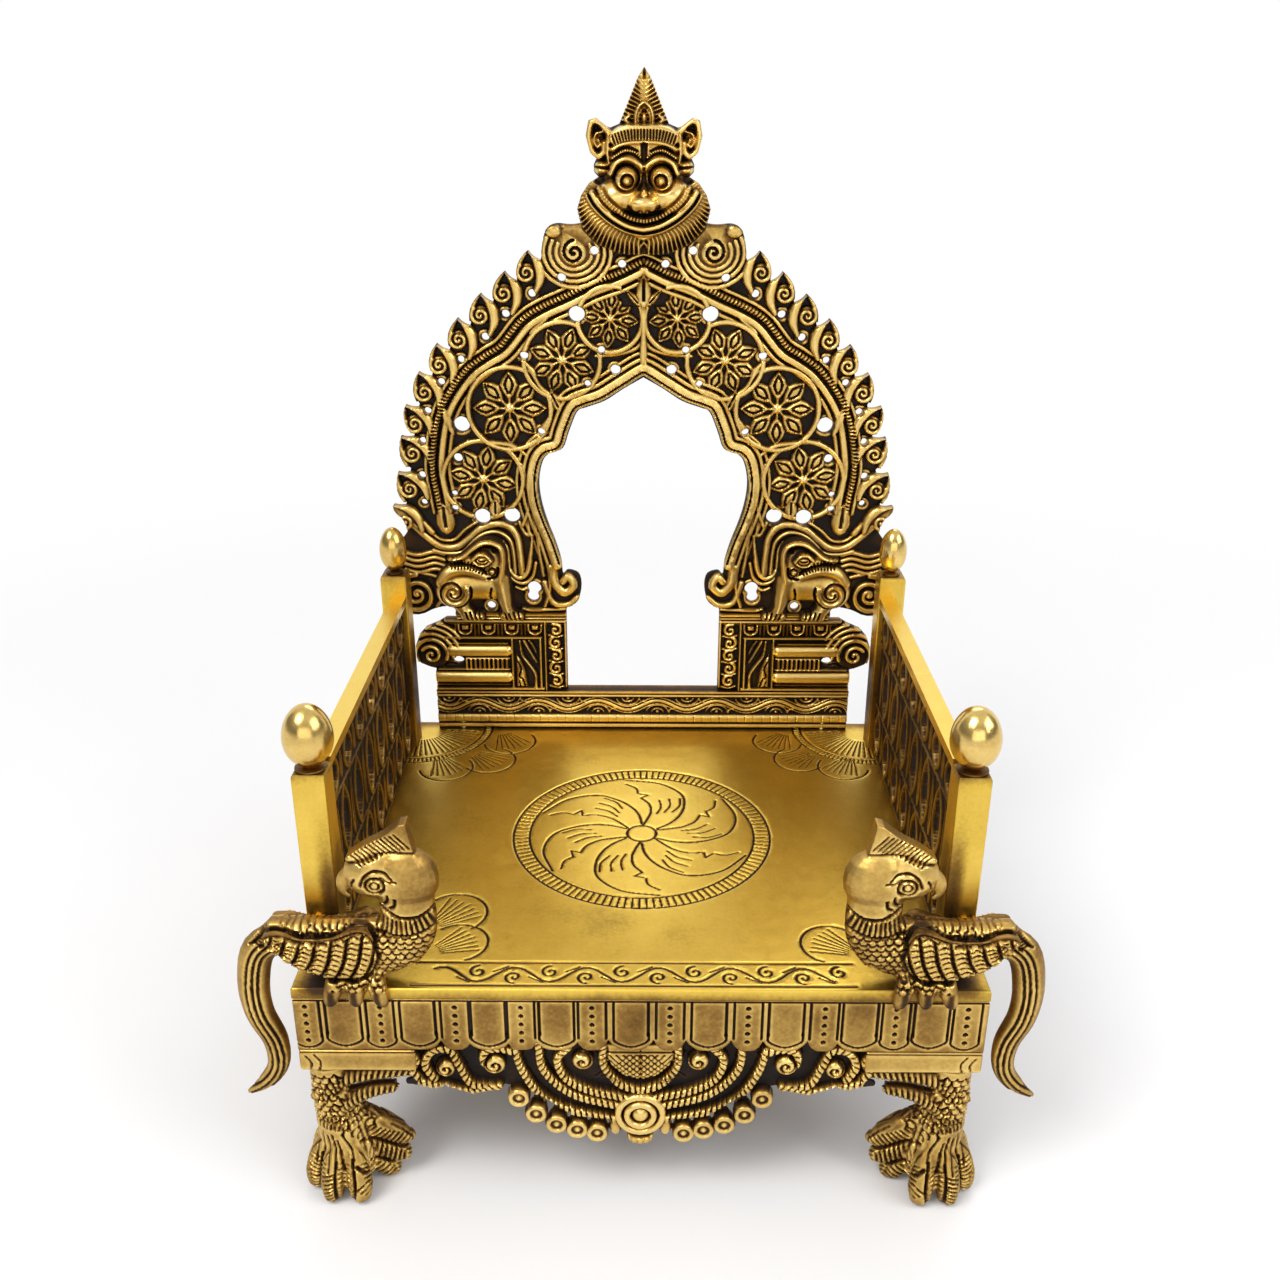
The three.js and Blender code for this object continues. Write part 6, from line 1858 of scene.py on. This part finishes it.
leg_stroke_shares = [
    ("area", [(0.0, -0.185), (0.36, -0.185), (0.36, -0.262), (0, -0.262)], 0.002, 0.006, 0, 0.12),
    ("cut", [(0.0, -0.266), (0.18, -0.266), (0.36, -0.266)], 0.005, 0.014),
    ("cut", [(0.0, -0.195), (0.18, -0.195), (0.36, -0.195)], 0.003, 0.007),
    ("cut", [(0.02, -0.21), (0.035, -0.235), (0.03, -0.262)], 0.003, 0.008),
    ("cut", [(0.045, -0.205), (0.062, -0.232), (0.056, -0.262)], 0.003, 0.008),
    ("comb", [(0.05, -0.37), (0.1, -0.325), (0.18, -0.297), (0.26, -0.29),
        (0.33, -0.292)], 0.0175, 0.05, 0.0038, 0.013, 0.3),
    ("cut", [(0.09, -0.37), (0.14, -0.338), (0.2, -0.328), (0.27, -0.323), (0.33, -0.32)], 0.0055, 0.018),
    ("comb", [(0.08, -0.45), (0.12, -0.405), (0.19, -0.366), (0.27, -0.352)], 0.0175, 0.05, 0.0038, 0.013,
        0.3),
    ("cut", [(0.125, -0.455), (0.16, -0.41), (0.2, -0.395), (0.27, -0.378)], 0.005, 0.014),
    ("scales", [(0.055, -0.46), (0.055, -0.38), (0.05, -0.29)], [0.06, 0.05], 0.021, 0.019, 0.012),
    ("comb", [(-0.01, -0.48), (0.05, -0.476), (0.12, -0.486)], 0.013, 0.04, 0.0034, 0.011, 0.1),
    ("cut", [(0.0, -0.5), (-0.01, -0.56), (-0.02, -0.61)], 0.0036, 0.012),
    ("cut", [(0.018, -0.52), (0.012, -0.58), (0.004, -0.64)], 0.0036, 0.012),
    ("cut", [(0.036, -0.51), (0.034, -0.57), (0.03, -0.61)], 0.0036, 0.012),
    ("cut", [(0.05, -0.53), (0.052, -0.6), (0.05, -0.64)], 0.0036, 0.012),
    ("cut", [(0.066, -0.52), (0.072, -0.57), (0.076, -0.61)], 0.0036, 0.012),
    ("cut", [(0.08, -0.54), (0.092, -0.6), (0.1, -0.64)], 0.0036, 0.012),
    ("cut", [(0.096, -0.52), (0.115, -0.56), (0.13, -0.6)], 0.0036, 0.012),
    ("comb", [(0.0, -0.62), (-0.005, -0.68), (0.01, -0.75)], 0.0145, 0.036, 0.0034, 0.011, 0.25),
    ("comb", [(0.05, -0.65), (0.047, -0.7), (0.05, -0.76)], 0.0145, 0.036, 0.0034, 0.011, -0.4),
    ("comb", [(0.1, -0.64), (0.1, -0.7), (0.1, -0.76)], 0.0145, 0.036, 0.0034, 0.011, 0.4),
    ("scales", [(0.12, -0.46), (0.155, -0.5), (0.19, -0.53)], [0.045, 0.03], 0.021, 0.019, 0.012),
    ("comb", [(0.17, -0.55), (0.22, -0.582), (0.28, -0.61)], 0.0155, 0.05, 0.0036, 0.012, 0.3),
    ("comb", [(0.17, -0.615), (0.215, -0.643), (0.265, -0.675)], 0.0155, 0.05, 0.0036, 0.012, -0.3),
    ("comb", [(0.16, -0.68), (0.19, -0.705), (0.225, -0.735)], 0.0155, 0.05, 0.0036, 0.012, 0.3),
    ("cut", [(0.026, -0.61), (0.02, -0.68), (0.025, -0.77)], [0.004, 0.009], 0.022),
    ("cut", [(0.076, -0.61), (0.072, -0.68), (0.075, -0.77)], [0.004, 0.009], 0.022),
    ("cut", [(0.125, -0.6), (0.13, -0.68), (0.115, -0.77)], [0.004, 0.009], 0.022),
    ("cut", [(0.29, -0.645), (0.245, -0.622), (0.2, -0.592), (0.15, -0.56)], 0.006, 0.02),
    ("cut", [(0.26, -0.712), (0.22, -0.684), (0.18, -0.655), (0.14, -0.62)], 0.006, 0.02),
]
leg_plain_share = 0.6


def leg_patterns():
    """Scale and hair relief, measured inwards from the side face and down from the band's top."""
    c = Canvas(*leg_frame_shares, fine_step)
    draw(c, leg_stroke_shares)
    c.inside[:] = 1
    return c


def leg_parts():
    """The plain bodies of the front right leg."""

    def at(in_x, in_y, z):
        return np.array([(1 - in_x) * unit, in_y * unit - half_depth, z * unit + band_top])

    parts = []
    for rows in [shank_shares] + inner_toe_shares:
        parts.append(limb_mesh([(at(x, y, z), a * unit, b * unit) for x, y, z, a, b in rows], (1, 0, 0)))
    inset = arm_inset_share
    for rows in arm_shares:
        parts.append(limb_mesh([(at(s, inset, z), d * unit, h * unit) for s, z, h, d in rows], (0, 1, 0)))
        parts.append(limb_mesh([(at(inset, s, z), d * unit, h * unit) for s, z, h, d in rows], (1, 0, 0)))
    root = toe_root_share
    for angle in toe_angles:
        x, y = math.cos(angle), math.sin(angle)
        rows = [(at(root - reach * x, root - reach * y, z), h * unit, h * unit) for reach, z, h in toe_shares]
        parts.append(limb_mesh(rows, (y, x, 0), leg_toe_count))
    return parts + [box_mesh(at(*low), at(*high)) for low, high in bracket_shares]


def leg(side, rear, name, c, voxel):
    """A leg made for the front right corner and turned to its own."""
    patina = c.patina()

    def relief_at(points, normals):
        z = (points[:, 2] - band_top) / unit
        in_x = 1 - points[:, 0] / unit
        in_y = (points[:, 1] + half_depth) / unit
        front, flank = normals[:, 1] ** 2, normals[:, 0] ** 2
        other = np.clip(1 - front - flank, 0, 1)

        def mixed(field):
            return sampled(field, c, in_x, z) * front + sampled(field, c, in_y, z) * flank

        value = mixed(patina) + leg_plain_share * other + dark_shares["leg"]
        return mixed(c.height) * unit, np.clip(value, 0, 1)

    made = pressed(name + "_sculpture", remeshed(name + "_skin", leg_parts(), voxel), relief_at)
    set_down(made)
    if side < 0:
        flipped(made, (1, 0, 0))
    if rear:
        flipped(made, (0, 1, 0))
    return made


def set_down(piece):
    """Flattens the underside at the floor."""
    points = vectors(piece.data.vertices, "co")
    points[:, 2] = np.maximum(points[:, 2], floor_gap)
    piece.data.vertices.foreach_set("co", points.ravel())
    piece.data.update()


# Posts and finials

post_count = 120
post_power = 28
post_foot_rise = 0.001
post_top_shares = {0.0012: 0.995, 0.0006: 0.97, hair_gap: 0.9}
post_inset = 0.002
post_level_count = 40
post_patina = 0.2
post_foot_dark = (0.3, 0.005)
post_top_dark = (0.3, 0.0012)
stain_shares = {"middle": 0.34, "reach": 0.3, "from": -0.2, "width": 0.7, "dark": 0.62}
finial_count = 64
collar_height = 0.001
collar_shares = [(0.6, 0), (0.64, 0.0003), (0.62, 0.0007), (0.4, 0.001)]
egg_start = 0.22
egg_level_count = 40
egg_skew_share = 0.07
egg_widest_share = 1.003
egg_height_share = 0.999
egg_patina = 0.1
collar_patina = 0.55
collar_reach = 0.0012


def turned_piece(name, rings, patina, flat_top):
    """A piece from level rings of points, with a flat foot."""
    count = len(rings[0])
    faces = tube_faces(len(rings), count)
    faces.append(tuple(range(count))[::-1])
    if flat_top:
        faces.append(tuple(range((len(rings) - 1) * count, len(rings) * count)))
    return finished(name, made_mesh(name, np.vstack(rings), faces), np.ravel(patina))


def middle_of(low, high):
    return (low.x + high.x) / 2, (low.y + high.y) / 2


def post(name, top):
    """A square shaft with soft edges and a dark stain low on its inner and front faces."""
    low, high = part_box(name)
    x, y = middle_of(low, high)
    half = (high.x - low.x) / 2
    bottom = band_top + seat_thickness + hair_gap
    straights = np.linspace(bottom + post_inset, top - post_inset, post_level_count)
    levels = [(bottom, 1), (bottom + post_foot_rise, 1)] + [(z, 1) for z in straights]
    levels += [(top - drop, share) for drop, share in post_top_shares.items()]
    angle = 2 * math.pi * (np.arange(post_count) + 0.5) / post_count
    cx, cy = np.cos(angle), np.sin(angle)
    square = half / (np.abs(cx) ** post_power + np.abs(cy) ** post_power) ** (1 / post_power)
    inner = -cx * math.copysign(1, x)
    stained = fade(inner, stain_shares["from"], stain_shares["width"]) * np.maximum(np.maximum(-cy, inner), 0)
    rings, patina = [], []
    for z, share in levels:
        rings.append(np.stack([x + square * share * cx, y + square * share * cy, np.full(post_count, z)], 1))
        spread_up = bell((z - bottom) / (top - bottom) - stain_shares["middle"], stain_shares["reach"])
        plain = post_patina
        for (dark, reach), gap in ((post_foot_dark, z - bottom), (post_top_dark, top - z)):
            plain += dark * math.exp(-gap / reach)
        patina.append(plain + stain_shares["dark"] * stained * spread_up)
    return turned_piece(name + "_shaft", rings, patina, True)


def finial(name, seat_z):
    """A polished egg on a short collar."""
    low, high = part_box(name)
    x, y = middle_of(low, high)
    half = (high.x - low.x) / 2
    profile = [(share * half, z) for share, z in collar_shares]
    height = high.z - seat_z - collar_height
    for a in np.linspace(egg_start, math.pi, egg_level_count):
        skew = (1 + egg_skew_share * math.cos(a)) / egg_widest_share
        profile.append((half * math.sin(a) * skew, collar_height + height * (1 - math.cos(a)) / 2))
    rings, patina = [], []
    for radius, z in profile:
        level = np.full((finial_count, 1), seat_z + hair_gap + z * egg_height_share)
        rings.append(np.hstack([circle(x, y, radius, finial_count), level]))
        patina.append([collar_patina if z < collar_reach else egg_patina] * finial_count)
    return turned_piece(name + "_egg", rings, patina, False)


# Materials

brass_stops = [
    (0.0, (0.83, 0.6, 0.21)), (0.25, (0.57, 0.372, 0.1)), (0.46, (0.27, 0.15, 0.038)),
    (0.66, (0.082, 0.039, 0.012)), (1.0, (0.012, 0.007, 0.005)),
]
seat_stops = [
    (0.0, (0.88, 0.63, 0.125)), (0.28, (0.7, 0.47, 0.075)), (0.52, (0.27, 0.15, 0.03)),
    (0.75, (0.07, 0.034, 0.011)), (1.0, (0.02, 0.01, 0.006)),
]
dark_stops = [
    (0.0, (0.44, 0.3, 0.1)), (0.25, (0.24, 0.14, 0.04)), (0.5, (0.09, 0.047, 0.015)),
    (0.75, (0.03, 0.015, 0.007)), (1.0, (0.01, 0.006, 0.005)),
]
steel_stops = [(0.0, (0.62, 0.61, 0.58)), (0.5, (0.4, 0.39, 0.37)), (1.0, (0.12, 0.11, 0.1))]
aged_look = (brass_stops, (0.3, 0.66), 0.34, (300, 60, 300))
satin_look = (seat_stops, (0.3, 0.6), 0.3, (500, 40, 300))
dull_look = (dark_stops, (0.34, 0.65), 0.5, (200, 200, 60))
rubbed_look = (brass_stops, (0.16, 0.6), 0.3, (300, 300, 60))
steel_look = (steel_stops, (0.3, 0.5), 0.3, (300, 300, 300))
cloud_noise = (24, 5)
blotch_noise = (80, 4)
speck_noise = (900, 3)
wear_noise = (260, 5)
scratch_noise = (1, 3)
grain_noise = (1600, 2)
dent_noise = (140, 2)
mottle_shares = {cloud_noise: 1.3, blotch_noise: 1, speck_noise: 0.6}
wear_share = 0.18
metal_shares = {"From Min": 0.6, "To Min": 1, "To Max": 0.55}
bump_shares = {scratch_noise: 0.5, grain_noise: 0.35, dent_noise: 1.2}
bump_strength = 0.35
bump_distance = 0.00025
floor_colour = (0.8, 0.8, 0.81)
floor_noise = {"Scale": 4, "Detail": 4}
floor_mottle_share = 0.985
floor_roughness = 0.75
floor_reach = (0.3, 0.75)


def join(tree, value, socket):
    """Links an output to a socket, or sets the socket to a value."""
    if isinstance(value, bpy.types.NodeSocket):
        tree.links.new(value, socket)
    else:
        socket.default_value = value


def add_node(tree, kind, inputs=()):
    """A shader node with its inputs set or linked."""
    made = tree.nodes.new("ShaderNode" + kind)
    for name, value in dict(inputs).items():
        join(tree, value, made.inputs[name])
    return made


def calculate(tree, operation, a, b, clamp=False):
    made = add_node(tree, "Math", {0: a, 1: b})
    made.operation = operation
    made.use_clamp = clamp
    return made.outputs[0]


def noise(tree, place, size):
    """A noise of a scale and a detail."""
    scale, detail = size
    return add_node(tree, "TexNoise", {"Vector": place, "Scale": scale, "Detail": detail}).outputs["Fac"]


def mottle(tree, place, size, share):
    """A noise round zero."""
    centred = calculate(tree, "SUBTRACT", noise(tree, place, size), 0.5)
    return calculate(tree, "MULTIPLY", centred, share)


def ramp(tree, value, stops):
    """A colour that follows stops along a value."""
    made = add_node(tree, "ValToRGB", {"Fac": value})
    elements = made.color_ramp.elements
    for element, (at, colour) in zip(elements, (stops[0], stops[-1])):
        element.position = at
        element.color = (*colour, 1)
    for at, colour in stops[1:-1]:
        elements.new(at).color = (*colour, 1)
    return made.outputs["Color"]


def mixed_shader(tree, share, first, second):
    return add_node(tree, "MixShader", {0: share, 1: first, 2: second}).outputs[0]


def new_material(name):
    material = bpy.data.materials.new(name)
    material.use_nodes = True
    tree = material.node_tree
    return material, tree, tree.nodes["Principled BSDF"]


def brass_material(name, stops, rough, tarnish, brushed):
    """Brass that is bright where rubbed, brown in its hollows, mottled and finely scratched."""
    material, tree, shader = new_material(name)
    place = add_node(tree, "TexCoord").outputs["Object"]
    # The stored patina also holds painted shade on the birds and a painted highlight on the mask's cheeks
    stored = add_node(tree, "Attribute")
    stored.attribute_name = "patina"
    patina_and_painted_light = stored.outputs["Fac"]
    for size, share in mottle_shares.items():
        patina_and_painted_light = calculate(tree, "ADD", patina_and_painted_light, mottle(tree, place, size, tarnish * share), size == speck_noise)
    polish = add_node(tree, "MapRange", {"Value": patina_and_painted_light, "To Min": rough[0], "To Max": rough[1]})
    wear = mottle(tree, place, wear_noise, wear_share)
    metal = add_node(tree, "MapRange", {"Value": patina_and_painted_light, **metal_shares})
    stretch = add_node(tree, "Mapping", {"Vector": place, "Scale": brushed}).outputs["Vector"]
    height = 0
    for size, share in bump_shares.items():
        source = stretch if size == scratch_noise else place
        height = calculate(tree, "ADD", height, calculate(tree, "MULTIPLY", noise(tree, source, size), share))
    bump = add_node(tree, "Bump", {"Height": height, "Strength": bump_strength, "Distance": bump_distance})
    join(tree, ramp(tree, patina_and_painted_light, stops), shader.inputs["Base Color"])
    join(tree, calculate(tree, "ADD", polish.outputs["Result"], wear), shader.inputs["Roughness"])
    join(tree, metal.outputs["Result"], shader.inputs["Metallic"])
    join(tree, bump.outputs["Normal"], shader.inputs["Normal"])
    return material


def stage_material(name, colour):
    """Pale matt floor with a faint mottle, plain white to the camera where it is far from the object."""
    material, tree, shader = new_material(name)
    cloud = add_node(tree, "TexNoise", floor_noise).outputs["Fac"]
    shade = tuple(value * floor_mottle_share for value in colour)
    join(tree, ramp(tree, cloud, [(0.3, shade), (0.7, colour)]), shader.inputs["Base Color"])
    shader.inputs["Roughness"].default_value = floor_roughness
    reach = add_node(tree, "VectorMath", {0: add_node(tree, "TexCoord").outputs["Object"]})
    reach.operation = "LENGTH"
    near, end = floor_reach
    far = add_node(tree, "MapRange", {"Value": reach.outputs["Value"], "From Min": near, "From Max": end})
    far.interpolation_type = "SMOOTHSTEP"
    path = add_node(tree, "LightPath")
    seen = path.outputs["Is Camera Ray"]
    for ray in ("Is Glossy Ray", "Is Transmission Ray"):
        seen = calculate(tree, "MAXIMUM", seen, path.outputs[ray])
    share = calculate(tree, "MULTIPLY", far.outputs["Result"], seen)
    white = add_node(tree, "Emission").outputs[0]
    surface = mixed_shader(tree, share, shader.outputs[0], white)
    join(tree, surface, tree.nodes["Material Output"].inputs["Surface"])
    return material


# Stage, world, lamps and camera

floor_half_width = 4.0
floor_front = -3.0
sweep_start = 1.0
sweep_radius = 0.9
wall_height = 4.0
world_stops = [
    (0.0, (0.75, 0.75, 0.76)),
    (0.12, (0.22, 0.22, 0.23)),
    (0.45, (0.42, 0.42, 0.43)),
    (0.8, (1, 1, 1)),
]
world_strength = 0.85
lamp_aim = (0, 0, 0.13)
lamp_rows = [
    ("key", (-0.7, -0.7, 1.3), (0.7, 0.7), 14, (1, 0.98, 0.95)),
    ("fill", (0.9, -0.5, 0.8), (0.8, 0.6), 6, (0.96, 0.98, 1)),
    ("front", (0.0, -1.1, 0.42), (1.2, 0.5), 3, (1, 0.98, 0.95)),
    ("back", (0.2, 1.0, 1.4), (1.0, 0.5), 5, (1, 1, 1)),
]
camera_place = (0.00087, -0.3811, 0.316)
camera_pitch = math.radians(23.29)
camera_yaw = math.radians(-0.24)
camera_roll = math.radians(-0.11)
camera_lens = 36.19
camera_clip = 0.01
sensor_width = 36


def stage():
    """A pale floor that sweeps up behind."""
    profile = [(floor_front, 0.0), (sweep_start, 0.0)]
    for a in np.linspace(0, math.pi / 2, 16)[1:]:
        profile.append((sweep_start + sweep_radius * math.sin(a), sweep_radius * (1 - math.cos(a))))
    profile.append((sweep_start + sweep_radius, wall_height))
    vertices = [(x, y, z) for y, z in profile for x in (-floor_half_width, floor_half_width)]
    faces = [(2 * i, 2 * i + 1, 2 * i + 3, 2 * i + 2) for i in range(len(profile) - 1)]
    mesh = made_mesh("studio_floor", vertices, faces)
    mesh.shade_smooth()
    floor = placed("studio_floor", mesh)
    mesh.materials.append(stage_material("studio_floor", floor_colour))


def world():
    """A studio that is pale above and darker round the object's height; white to the camera."""
    made = bpy.data.worlds.new("studio")
    made.use_nodes = True
    bpy.context.scene.world = made
    tree = made.node_tree
    background = tree.nodes["Background"]
    place = add_node(tree, "TexCoord").outputs["Generated"]
    parts = add_node(tree, "SeparateXYZ", {"Vector": place})
    join(tree, ramp(tree, parts.outputs["Z"], world_stops), background.inputs["Color"])
    background.inputs["Strength"].default_value = world_strength
    backdrop = add_node(tree, "Background", {"Color": (1, 1, 1, 1)})
    seen = add_node(tree, "LightPath").outputs["Is Camera Ray"]
    surface = mixed_shader(tree, seen, background.outputs[0], backdrop.outputs[0])
    join(tree, surface, tree.nodes["World Output"].inputs["Surface"])


def lamp(name, place, size, power, colour):
    light = bpy.data.lights.new(name, "AREA")
    light.shape = "RECTANGLE"
    light.size, light.size_y = size
    light.energy = power
    light.color = colour
    made = placed(name, light)
    made.location = place
    aim = Vector(lamp_aim) - Vector(place)
    made.rotation_euler = aim.to_track_quat("-Z", "Y").to_euler()


def camera():
    sight = bpy.data.cameras.new("camera")
    sight.lens = camera_lens
    sight.sensor_width = sensor_width
    sight.clip_start = camera_clip
    made = placed("camera", sight)
    level = math.cos(camera_pitch)
    forward = Vector((math.sin(camera_yaw) * level, math.cos(camera_yaw) * level, -math.sin(camera_pitch)))
    right = Vector((math.cos(camera_yaw), -math.sin(camera_yaw), 0))
    down = forward.cross(right)
    turned = right * math.cos(camera_roll) + down * math.sin(camera_roll)
    down = down * math.cos(camera_roll) - right * math.sin(camera_roll)
    matrix = Matrix((turned, -down, -forward)).transposed().to_4x4()
    matrix.translation = Vector(camera_place)
    made.matrix_world = matrix
    bpy.context.scene.camera = made


# Assembly

bpy.context.scene.view_settings.view_transform = "Standard"
stage()
world()
for row in lamp_rows:
    lamp(*row)
camera()
polished = brass_material("aged_brass", *aged_look)
satin = brass_material("satin_brass", *satin_look)
dull = brass_material("dark_brass", *dull_look)
rubbed = brass_material("rubbed_brass", *rubbed_look)
steel = brass_material("plain_steel", *steel_look)


def show(piece, node, material):
    piece.data.materials.clear()
    piece.data.materials.append(material)
    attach(piece, "root")
    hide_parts(node)


show(arch(), "arch", polished)
show(mask(), "mask", polished)
show(sill(), "sill", polished)
show(apron(), "apron_front", polished)
show(seat(), "seat_plate", satin)
for node, piece in skirts().items():
    show(piece, node, polished)
feathers = bird_patterns()
scales = leg_patterns()
for side, word in ((1, "right"), (-1, "left")):
    for maker, stem in ((lion, "lion_"), (pedestal, "pedestal_")):
        show(maker(side, stem + word), stem + word, polished)
    show(side_panel(side, "side_panel_" + word), "side_panel_" + word, dull)
    show(bird(side, "bird_" + word, feathers), "bird_" + word, polished)
    for rear, place in ((False, "front_" + word), (True, "rear_" + word)):
        voxel = leg_voxel * (rear_voxel_share if rear else 1)
        show(leg(side, rear, "leg_" + place, scales, voxel), "leg_" + place, polished)
        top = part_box("post_" + place)[1].z
        show(post("post_" + place, top), "post_" + place, satin)
        show(finial("finial_" + place, top), "finial_" + place, rubbed)
for node, kept in frame["nodes"].items():
    plain = steel if any(word in node for word in ("nut", "screw", "rivet")) else satin
    for place in kept.material_slots:
        place.material = plain
